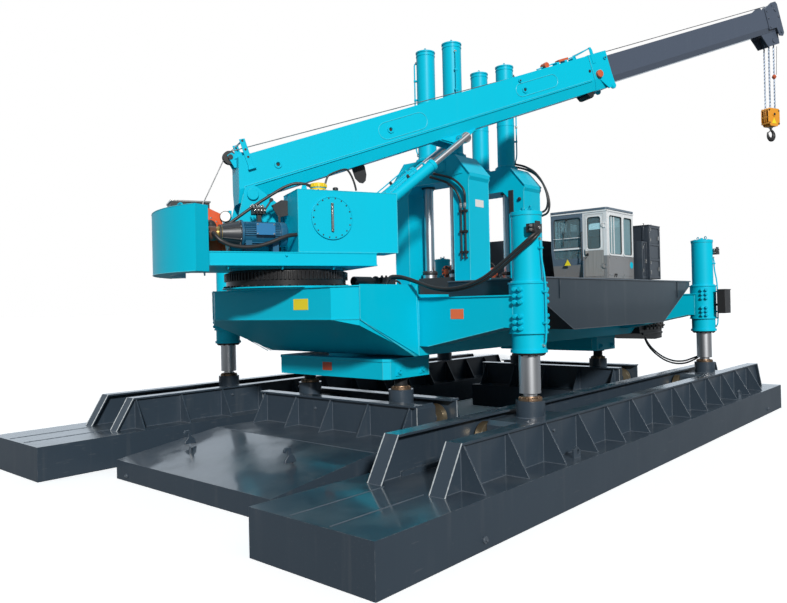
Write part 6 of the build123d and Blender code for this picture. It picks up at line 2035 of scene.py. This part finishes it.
brass = worn_steel("brass_coupling", (0.62, 0.45, 0.16), (0.30, 0.20, 0.07), (0.85, 0.68, 0.36),
                   (0.22, 0.4))
knuckle = Piece("pump_coupling", crane_place)
knuckle.turned((-1.196, motor_y, motor_z), (-1, 0, 0),
               [(0, 0.126), (0.030, 0.126), (0.050, 0.100), (0.080, 0.098)], 36)
knuckle.done(brass, "crane", 0.002)
brown_pump = enamel("pump_brown", "red_primer", (0.120, 0.055, 0.034), (0.3, 0.45), 0.2)
pump = Piece("gear_pump", crane_place)
pump.turned((-1.276, motor_y, motor_z), (-1, 0, 0),
            [(0, 0.104), (0.014, 0.108), (0.090, 0.108), (0.100, 0.094), (0.128, 0.090),
             (0.130, 0.050)], 32)
pump.done(brown_pump, "crane", 0.002)
dial_rim = Piece("pressure_gauge", crane_place)
dial_rim.turned((-1.066, -0.500, 4.048), (-0.35, -1, 0.10), [(-0.030, 0.030), (-0.028, 0.082),
                                                          (0.020, 0.086), (0.026, 0.078)], 36)
dial_rim.bar((-1.066, -0.486, 4.000), (-1.050, -0.486, 3.900), 0.014, sides=12)
dial_rim.bar((-1.050, -0.486, 3.900), (-1.050, -0.620, 3.860), 0.014, sides=12)
dial_rim.done(black_iron, "crane", 0.001)
dial = Piece("gauge_dial", crane_place)
face = Vector((-0.35, -1, 0.10)).normalized()
dial.turned(Vector((-1.066, -0.500, 4.048)) + face * 0.026, face, [(0, 0.076), (0.002, 0.074)], 32)
dial.done(sign_white, "crane", 0)
# A dark box with a bright lid behind the counterweight, seen over its top
case = Piece("control_box", crane_place)
case.slab((-1.780, 0.050, 4.060), (-1.200, 0.520, 4.330))
case.slab((-1.740, 0.090, 3.489), (-1.700, 0.130, 4.062))
case.slab((-1.280, 0.440, 4.10), (-1.240, 0.480, 4.062))
case.done(black_iron, "crane", 0.006)
lid = Piece("control_box_lid", crane_place)
lid.slab((-1.795, 0.035, 4.330), (-1.185, 0.535, 4.356))
lid.done(zinc, "crane", 0.003)
dress("crane_hoses", black_iron)
# A bent black bar stands on the tank's top
tube("tank_bar_frame", [(0.46, -0.62, 4.52), (0.50, -0.62, 4.70), (0.56, -0.62, 4.76),
                        (0.80, -0.62, 4.86), (0.88, -0.62, 4.84), (0.98, -0.62, 4.64),
                        (1.00, -0.62, 4.52)], 0.016, black_iron, "crane", crane_place)




# ---------------------------------------------------------------- boom
# Two plated box sections. The outer one is turquoise with beads along its fold and
# collared holes; the inner one is slate and bare of lettering, with sheaves at its tip.
boom_u = Vector(joints["boom_telescope"]["axis"])
boom_v = boom_u.cross(crane_n)
boom_foot = Vector(joints["boom_luff"]["pos_m"])
boom_place = Matrix(((boom_u.x, crane_n.x, boom_v.x, boom_foot.x),
                     (boom_u.y, crane_n.y, boom_v.y, boom_foot.y),
                     (boom_u.z, crane_n.z, boom_v.z, boom_foot.z), (0, 0, 0, 1)))


def boom_point(u, n, v):
    return boom_place @ Vector((u, n, v))


def boom_way(u, n, v):
    return boom_place.to_3x3() @ Vector((u, n, v))


half, crease, boom_top, boom_head = 0.231, 0.135, 0.615, 7.740
mouth = boom_head - 0.430
inner_slate = plate_paint("inner_boom_enamel", "slate_paint", (0.075, 0.095, 0.135),
                          (0.062, 0.080, 0.115), (0.20, 0.23, 0.26), (0.30, 0.32, 0.34),
                          (0.22, 0.34), 0.3, 0.3, 0.35)
dress("boom_inner", inner_slate)
for side in (-1, 1):
    tag = "near" if side < 0 else "far"
    y = side * (half + 0.002)
    runs = [[(-0.06, y, crease + 0.020), (7.222, y, crease + 0.012)],
            [(-0.063, y, crease + 0.022), (-0.066, y, 0.06), (-0.045, y, -0.03),
             (0.004, side * 0.190, -0.055)],
            [(mouth, y + side * 0.006, crease), (mouth, y + side * 0.006, boom_top)],
            [(mouth, side * 0.150, boom_top + 0.008), (mouth, y, boom_top + 0.002)]]
    for u0, u1, v, r in ((2.450, 3.420, 0.345, 0.145), (5.420, 6.420, 0.350, 0.120)):
        slot = [(u0 + r - r * math.cos(math.pi * i / 12 - math.pi / 2),
                 y, v + r * math.sin(math.pi * i / 12 - math.pi / 2) * -1) for i in range(13)]
        left = [(u0 + r + r * math.cos(math.pi / 2 + math.pi * i / 12), y,
                 v + r * math.sin(math.pi / 2 + math.pi * i / 12)) for i in range(13)]
        right = [(u1 - r + r * math.cos(-math.pi / 2 + math.pi * i / 12), y,
                  v + r * math.sin(-math.pi / 2 + math.pi * i / 12)) for i in range(13)]
        runs.append(left + right + left[:1])
    weld(f"boom_{tag}_seams", runs, weld_highlight_cyan, "boom", 0.007, boom_place)
    fold = Piece(f"boom_{tag}_fold_strip", boom_place)
    fold.slab((0.02, y, crease - 0.016), (7.23, side * (half + 0.012), crease + 0.001))
    for u, v in ((0.575, 0.330), (2.680, 0.345), (5.620, 0.335)):
        fold.turned((u, side * (half + 0.008), v), (0, side, 0),
                    [(0, 0.034), (0, 0.064), (0.010, 0.060), (0.010, 0.036)], 36, closed=True)
    fold.done(turquoise, "boom", 0.002)
    # Thin black discs in the collared holes paint the shade inside them.
    hole_shade = Piece(f"boom_{tag}_hole_shade_discs", boom_place)
    for u, v in ((0.575, 0.330), (2.680, 0.345), (5.620, 0.335), (7.243, 0.322)):
        hole_shade.turned((u, side * (half - 0.008 if u < 7 else half + 0.0072), v), (0, side, 0),
                    [(0, 0.0295), (0.002, 0.028)], 28)
    hole_shade.done(black_iron, "boom", 0)
    knob = Piece(f"boom_{tag}_cap", boom_place)
    knob.turned((7.437, side * (half + 0.006), 0.215), (0, side, 0),
                [(0, 0.074), (0.050, 0.074), (0.060, 0.066), (0.062, 0.03)], 30)
    knob.done(primer, "boom", 0.002)
    nut = Piece(f"boom_{tag}_nuts", boom_place)
    nut.turned((7.685, side * (half + 0.006), 0.489), (0, side, 0),
               [(0, 0.036), (0.030, 0.036)], 6)
    nut.turned((5.560, side * (half + 0.001), 0.520), (0, side, 0), [(0, 0.034), (0.028, 0.034)], 6)
    nut.turned((7.724, side * (half + 0.006), -0.070), (0, side, 0), [(0, 0.050), (0.012, 0.048)],
               24)
    nut.done(turquoise, "boom", 0.001)
    hardware = Piece(f"boom_{tag}_nut_cores", boom_place)
    for u, v, at in ((7.685, 0.489, half + 0.036), (5.560, 0.520, half + 0.029)):
        hardware.turned((u, side * at, v), (0, side, 0), [(0, 0.016), (0.014, 0.014)], 14)
    hardware.done(black_iron, "boom", 0)
ends = Piece("boom_head_trim", boom_place)
# Top of the head: bracket for the pipe, guide and winding of the telescope's drive
ends.plate([(7.361, -0.236, 0.440), (7.440, -0.236, 0.440), (7.440, -0.236, 0.700),
            (7.415, -0.236, 0.760), (7.365, -0.236, 0.760)], (0, -0.012, 0))
ends.plate([(7.361, 0.236, 0.440), (7.440, 0.236, 0.440), (7.440, 0.236, 0.700),
            (7.415, 0.236, 0.760), (7.365, 0.236, 0.760)], (0, 0.012, 0))
ends.slab((7.400, -0.236, 0.735), (7.412, 0.236, 0.758))
for u in (6.55, 6.75, 6.95):
    ends.slab((u, -0.200, boom_top), (u + 0.060, -0.060, boom_top + 0.045))
ends.done(turquoise, "boom", 0.004)
top_pipe = [(6.100, -0.130, 0.640), (6.400, -0.130, 0.660), (6.700, -0.130, 0.665),
            (6.977, -0.150, 0.672), (7.200, -0.190, 0.705), (7.351, -0.225, 0.740)]
tube("boom_top_pipe", top_pipe, 0.012, turquoise, "boom", boom_place)
gear = Piece("boom_top_valve", boom_place)
gear.turned((6.30, -0.210, 0.665), (0, 1, 0), [(0, 0.055), (0.14, 0.055)], 24)
gear.slab((6.62, -0.190, 0.656), (6.86, -0.070, 0.700))
gear.done(primer, "boom", 0.004)
under_roller = Piece("boom_under_roller", boom_place)
for side in (-1, 1):
    under_roller.plate([(7.08, side * 0.150, -0.060), (7.29, side * 0.150, -0.060),
                        (7.22, side * 0.150, -0.165), (7.14, side * 0.150, -0.165)],
                       (0, side * 0.016, 0))
under_roller.turned((7.181, -0.148, -0.120), (0, 1, 0), [(0, 0.060), (0.296, 0.060)], 28)
under_roller.done(black_iron, "boom", 0.002)

# Tail: slanted arms with bored holes, whose shade is painted as thin black discs, and foot clips
# beside the rope pulley
arms = Piece("boom_tail_arms", boom_place)
for side in (-1, 1):
    y = side * 0.236
    arms.plate([(0.110, y, 0.864), (0.200, y, 0.856), (0.190, y, 0.385), (0.100, y, 0.393)],
               (0, side * 0.014, 0))
    arms.slab((0.08, y, 0.372), (0.21, side * 0.29, 0.388))
    arms.slab((0.09, y, 0.388), (0.2, side * 0.262, 0.4))
arms.slab((0.140, -0.250, 0.820), (0.162, 0.250, 0.842))
arms.done(turquoise, "boom", 0.003)
# Thin black discs on the arms paint the shade inside their bored holes.
holes = Piece("boom_tail_arm_holes", boom_place)
for side in (-1, 1):
    for v in (0.830, 0.689, 0.569):
        holes.turned((0.152, side * 0.2495, v), (0, side, 0), [(0, 0.020), (0.002, 0.019)], 20)
holes.done(black_iron, "boom", 0)
sheave = Piece("boom_tail_sheave", boom_place)
sheave.turned((-0.070, -0.048, boom_top + 0.050), (0, 1, 0),
              [(0, 0.104), (0.014, 0.108), (0.036, 0.088), (0.060, 0.088), (0.082, 0.108),
               (0.096, 0.104)], 44)
sheave.turned((-0.070, -0.096, boom_top + 0.050), (0, 1, 0), [(0, 0.040), (0.192, 0.040)], 20)
sheave.done(black_iron, "boom", 0.001)
ribs = Piece("boom_tail_plate", boom_place)
ribs.slab((-0.020, -0.100, boom_top - 0.002), (0.320, 0.100, boom_top + 0.012))
for n in (-0.085, 0.073):
    ribs.plate([(-0.010, n, boom_top), (0.300, n, boom_top), (0.020, n, boom_top + 0.120)],
               (0, 0.012, 0))
ribs.done(turquoise, "boom", 0.002)

# Clevis of the lift cylinders: ribs and pin caps
clevis = Piece("boom_clevis_ribs", boom_place)
for side in (-1, 1):
    y = side * 0.172
    clevis.plate([(3.60, y, -0.066), (3.74, y, -0.066), (3.93, y, -0.185), (3.90, y, -0.240)],
                 (0, side * 0.030, 0))
    clevis.plate([(4.05, y, -0.180), (4.30, y, -0.066), (4.36, y, -0.066), (4.08, y, -0.210)],
                 (0, side * 0.030, 0))
clevis.done(turquoise, "boom", 0.003)
pins = Piece("boom_clevis_pins", boom_place)
for side in (-1, 1):
    pins.turned((3.970, side * 0.173, -0.175), (0, side, 0), [(0, 0.086), (0.010, 0.084)], 28)
pins.done(black_iron, "boom", 0.001)

# Tip: rope roller, housing straps, bolts and the blank end plate
tip = Piece("boom_tip_details", boom_place)
for side in (-1, 1):
    tip.turned((13.010, side * 0.206, 0.462), (0, side, 0), [(0, 0.060), (0.014, 0.056)], 24)
    tip.turned((12.800, side * 0.140, -0.200), (0, side, 0), [(0, 0.056), (0.016, 0.052)], 24)
    tip.turned((13.040, side * 0.206, -0.060), (0, side, 0), [(0, 0.042), (0.016, 0.040)], 20)
tip.slab((12.700, -0.120, -0.298), (12.710, 0.120, -0.04))
tip.turned((13.040, -0.206, -0.060), (0, 1, 0), [(0, 0.026), (0.412, 0.026)], 18)
tip.done(inner_slate, "boom_extension", 0.002)
bolts("boom_tip_bolts", [(boom_point(u, side * 0.206, v), boom_way(0, side, 0))
                         for side in (-1, 1) for u, v in ((12.72, 0.10), (12.72, 0.30),
                                                          (12.72, 0.46), (12.92, 0.56),
                                                          (13.06, 0.28))],
      0.030, inner_slate, "boom_extension")
sheaves = Piece("boom_tip_sheaves", boom_place)
for n in (-0.085, -0.028, 0.028, 0.085):
    sheaves.turned((12.800, n - 0.020, -0.200), (0, 1, 0),
                   [(0, 0.086), (0.006, 0.092), (0.016, 0.074), (0.024, 0.074), (0.034, 0.092),
                    (0.040, 0.086)], 36)
sheaves.done(black_iron, "hook", 0)
tail_pads = Piece("boom_mouth_pads", boom_place)
for side in (-1, 1):
    tail_pads.slab((7.72, side * 0.194, 0.24), (7.758, side * 0.216, 0.42))
tail_pads.done(ring_steel, "boom", 0.002)


# ---------------------------------------------------------------- hoist rope
# One steel rope from the winch over the tail pulley, along the boom's top and out to the tip.
def rope(name, points, radius):
    """A taut rope along a line of points, as a smooth mesh set in the world's frame."""
    data = swept(name, points, radius, "POLY", 2)
    data.materials.append(rope_steel)
    data.shade_smooth()
    piece = bpy.data.objects.new(name, data)
    bpy.context.scene.collection.objects.link(piece)
    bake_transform(piece)


def even(start, end, count):
    """count + 1 points from start to end."""
    start, end = Vector(start), Vector(end)
    return [start.lerp(end, i / count) for i in range(count + 1)]


rope_radius = 0.008
leaves = crane_place @ Vector((-1.470, 0.020, 3.960))
over = [boom_point(-0.070 + 0.092 * math.cos(math.radians(a)), 0.0,
                   boom_top + 0.050 + 0.092 * math.sin(math.radians(a)))
        for a in range(180, 80, -12)]
rope("hoist_rope_tail", even(leaves, over[0], 14) + over[1:], rope_radius)
rope("hoist_rope_top", even(over[-1], boom_point(5.60, 0, 0.636), 8)
     + even(boom_point(5.80, 0, 0.636), boom_point(12.96, 0, 0.600), 30), rope_radius)
second = [point + boom_way(0, 0.060, 0) for point in even(boom_point(0.15, -0.10, 0.830),
                                                          boom_point(-0.03, -0.06, 0.75), 4)]
tube("tail_line", second, 0.006, rope_steel, "boom")

# A black D-shaped plate hangs under the boom base
stop = Piece("boom_rest_plate", boom_place)
stop.plate([(1.86, -0.012, -0.012), (2.08, -0.012, -0.012), (2.10, -0.012, -0.10),
            (2.08, -0.012, -0.24), (2.03, -0.012, -0.33), (1.97, -0.012, -0.36),
            (1.91, -0.012, -0.33), (1.86, -0.012, -0.24)], (0, 0.024, 0))
stop.done(black_iron, "boom", 0.004)


# ---------------------------------------------------------------- lift cylinders
# The two cylinders that raise the boom: turquoise barrels with a bolted gland, hard
# chrome rods, grease nipples at both eyes and a clamped pipe along each barrel.
lift_foot = Vector(joints["lift_barrel_swing"]["pos_m"])
lift_way = Vector(joints["lift_rod_slide"]["axis"])
lift_up = lift_way.cross(crane_n)
lift_place = Matrix(((lift_way.x, crane_n.x, lift_up.x, lift_foot.x),
                     (lift_way.y, crane_n.y, lift_up.y, lift_foot.y),
                     (lift_way.z, crane_n.z, lift_up.z, lift_foot.z), (0, 0, 0, 1)))
lift_spread = 0.355
barrel_end = 2.176
crane_zero = crane_place @ Vector((0.840, 0, 3.750))
shift = (lift_foot - crane_zero).dot(crane_n)
dress("lift_rods", chrome("lift_chrome", tuple(lift_foot - crane_n * shift),
                          (tuple(crane_n * lift_spread),), tuple(lift_way)))
for tag, n in (("near", -lift_spread), ("far", lift_spread)):
    n -= shift
    trim = Piece(f"lift_{tag}_gland", lift_place)
    trim.turned((barrel_end - 0.070, n, 0), (1, 0, 0),
                [(0, 0.094), (0, 0.104), (0.060, 0.106), (0.074, 0.100), (0.080, 0.056),
                 (0.074, 0.056)], 40, closed=True)
    trim.turned((0.150, n, 0), (1, 0, 0), [(0, 0.060), (0, 0.102), (0.040, 0.102), (0.044, 0.094)],
                40, closed=True)
    trim.turned((2.02, n, 0.088), (0, 0, 1), [(0, 0.022), (0.034, 0.022)], 12)
    trim.turned((0.25, n, 0.088), (0, 0, 1), [(0, 0.022), (0.034, 0.022)], 12)
    trim.done(turquoise, "lift_barrels", 0.002)
    tube(f"lift_{tag}_pipe", [(2.02, n, 0.115), (2.02, n, 0.150), (1.96, n, 0.150),
                              (1.20, n, 0.135),
                             (0.40, n, 0.135), (0.27, n, 0.150), (0.25, n, 0.118)], 0.011,
         turquoise, "lift_barrels", lift_place)
    clamps = Piece(f"lift_{tag}_pipe_clips", lift_place)
    for u in (0.62, 1.10, 1.62):
        clamps.slab((u, n - 0.026, 0.088), (u + 0.036, n + 0.026, 0.152))
    clamps.turned((0, n - 0.002, 0.088), (0, 0, 1), [(0, 0.010), (0.022, 0.008)], 6)
    clamps.done(black_iron, "lift_barrels", 0.002)
    bolts(f"lift_{tag}_gland_bolts", [(lift_place @ Vector(at), lift_way)
                                      for at, _ in around((barrel_end + 0.003, n, 0), (1, 0, 0),
                                                          0.080, 8)], 0.018, black_iron,
          "lift_barrels")


# ---------------------------------------------------------------- hook block
# Four steel falls run down from the tip's sheaves to a yellow-orange block with side
# plates and a dark window. A forged black hook with its latch hangs below.
hook_yellow = enamel("hook_block_yellow", "yellow_paint", (0.80, 0.33, 0.020), (0.3, 0.45), 0.2)
hook_pin = Vector(joints["hook_swing"]["pos_m"])
hook_place = Matrix(((crane_s.x, crane_n.x, 0, hook_pin.x), (crane_s.y, crane_n.y, 0, hook_pin.y),
                     (0, 0, 1, hook_pin.z), (0, 0, 0, 1)))


falls = Piece("hook_falls", hook_place)
for x in (-0.080, 0.080):
    for y in (-0.060, 0.060):
        falls.bar((x, y, -0.020), (x, y, -1.600), 0.0125, sides=12)
rope_blue = worn_steel("rope_falls", (0.42, 0.50, 0.62), (0.28, 0.34, 0.44), (0.6, 0.66, 0.74),
                       (0.35, 0.5))
falls_piece = falls.done(rope_blue, "hook", 0)
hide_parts("hook_block")
strands = Piece("hook_fall_strands", hook_place)
for x in (-0.080, 0.080):
    for y in (-0.060, 0.060):
        for turn in range(3):
            spiral = []
            for i in range(90):
                a = 2 * math.pi * (i / 14 + turn / 3)
                spiral.append(Vector((x + 0.013 * math.cos(a), y + 0.013 * math.sin(a),
                                      -0.05 - i * 0.01705)))
            for upper, lower in zip(spiral, spiral[1:]):
                strands.bar(upper, lower, 0.0055, sides=4)
strands.done(rope_blue, "hook", 0)
block_top = -1.556
block_low = block_top - 0.390
plates = Piece("hook_side_plates", hook_place)
for y in (-0.095, -0.030, 0.016, 0.081):
    plates.plate([(-0.165, y, block_top + 0.02), (0.165, y, block_top + 0.02),
                  (0.190, y, block_top - 0.04), (0.190, y, block_low + 0.10),
                  (0.110, y, block_low), (-0.110, y, block_low), (-0.190, y, block_low + 0.10),
                  (-0.190, y, block_top - 0.04)], (0, 0.014, 0))
for z in (block_top - 0.030, block_top - 0.190, block_top - 0.330):
    for x in (-0.186, 0.160):
        plates.slab((x, -0.095, z - 0.018), (x + 0.026, 0.095, z + 0.018))
plates.slab((-0.105, -0.080, block_low + 0.004), (0.105, 0.080, block_low + 0.070))
plates.turned((0, -0.108, block_top - 0.120), (0, 1, 0), [(0, 0.052), (0.216, 0.052)], 28)
plates.done(hook_yellow, "hook", 0.004)
discs = Piece("hook_block_sheaves", hook_place)
for y in (-0.075, -0.006, 0.062):
    discs.turned((0, y, block_top - 0.120), (0, 1, 0),
                 [(0, 0.140), (0.005, 0.150), (0.010, 0.130), (0.016, 0.150), (0.020, 0.140)], 40)
discs.turned((0, -0.114, block_top - 0.120), (0, 1, 0), [(0, 0.030), (0.228, 0.030)], 20)
discs.done(black_iron, "hook", 0)
bolts("hook_block_bolts", [(hook_place @ Vector((x, side * 0.096, block_top + z)),
                            hook_place.to_3x3() @ Vector((0, side, 0)))
                           for side in (-1, 1) for x in (-0.155, 0.155) for z in (-0.03, -0.32)],
      0.026, black_iron, "hook")
tri = Piece("hook_triangle", hook_place)
tri.plate([(-0.080, -0.0955, block_low + 0.060), (0.080, -0.0955, block_low + 0.060),
           (0, -0.0955, block_low + 0.190)], (0, -0.002, 0))
tri.done(sign_yellow, "hook", 0)

# The forged hook: a round bar that swells at its bend and ends in a blunt point
neck = block_low - 0.010
bend = [(0.000, neck + 0.040, 0.030), (0.000, neck - 0.030, 0.028), (0.018, neck - 0.066, 0.028),
        (0.066, neck - 0.104, 0.034), (0.094, neck - 0.158, 0.042), (0.086, neck - 0.222, 0.048),
        (0.040, neck - 0.272, 0.050), (-0.022, neck - 0.278, 0.046), (-0.074, neck - 0.246, 0.038),
        (-0.098, neck - 0.196, 0.029), (-0.104, neck - 0.146, 0.019), (-0.112, neck - 0.118, 0.010)]
forged = Piece("hook_forging", hook_place)


def between(rows, share):
    """A point a share of the way along rows, by a smooth curve through them."""
    at = share * (len(rows) - 1)
    i = min(int(at), len(rows) - 2)
    t = at - i
    p0, p1, p2, p3 = (Vector(rows[max(0, min(len(rows) - 1, i + k))]) for k in (-1, 0, 1, 2))
    return 0.5 * (2 * p1 + (p2 - p0) * t + (2 * p0 - 5 * p1 + 4 * p2 - p3) * t * t
                  + (3 * p1 - p0 - 3 * p2 + p3) * t * t * t)


steps, rings = 60, []
for i in range(steps + 1):
    here = between(bend, i / steps)
    ahead = between(bend, min(1, (i + 0.5) / steps)) - between(bend, max(0, (i - 0.5) / steps))
    tangent = Vector((ahead[0], 0, ahead[1])).normalized()
    side_of = Vector((-tangent.z, 0, tangent.x))
    ring = []
    for k in range(18):
        turn = 2 * math.pi * k / 18
        at = Vector((here[0], 0, here[1])) + here[2] * (math.cos(turn) * side_of
                                                      + math.sin(turn) * Vector((0, 0.8, 0)))
        ring.append(forged.mesh.verts.new(hook_place @ at))
    rings.append(ring)
for low_ring, high_ring in zip(rings, rings[1:]):
    for k in range(18):
        m = (k + 1) % 18
        forged.mesh.faces.new((low_ring[k], low_ring[m], high_ring[m], high_ring[k]))
forged.mesh.faces.new(rings[0])
forged.mesh.faces.new(rings[-1])
forged.done(black_iron, "hook", 0)
latch = Piece("hook_latch_and_nut", hook_place)
latch.turned((0, 0, neck + 0.004), (0, 0, -1), [(0, 0.046), (0.024, 0.046), (0.030, 0.036)], 6)
latch.plate([(-0.004, -0.012, neck - 0.060), (-0.104, -0.012, neck - 0.130),
             (-0.098, -0.012, neck - 0.146), (0.004, -0.012, neck - 0.082)], (0, 0.024, 0))
latch.done(zinc, "hook", 0.002)
ball = Piece("hook_limit_weight", hook_place)
ball.turned((0.080, -0.060, -0.800), (0, 0, 1), [(-0.048, 0.018), (-0.036, 0.034), (0, 0.050),
                                              (0.036, 0.034), (0.048, 0.018)], 24)
ball.done(primer, "hook", 0.001)
tube("hook_limit_line", [(0.095, -0.130, -0.12), (0.100, -0.115, -0.40), (0.100, -0.105, -0.76)],
     0.005, black_iron, "hook", hook_place)


# ---------------------------------------------------------------- leg hoses
# Two black hoses run from the nose to the valve on the front near leg. Each is held at
# both ends, and they are CAD pieces that only take a finish here.
dress("leg_hoses", black_iron)
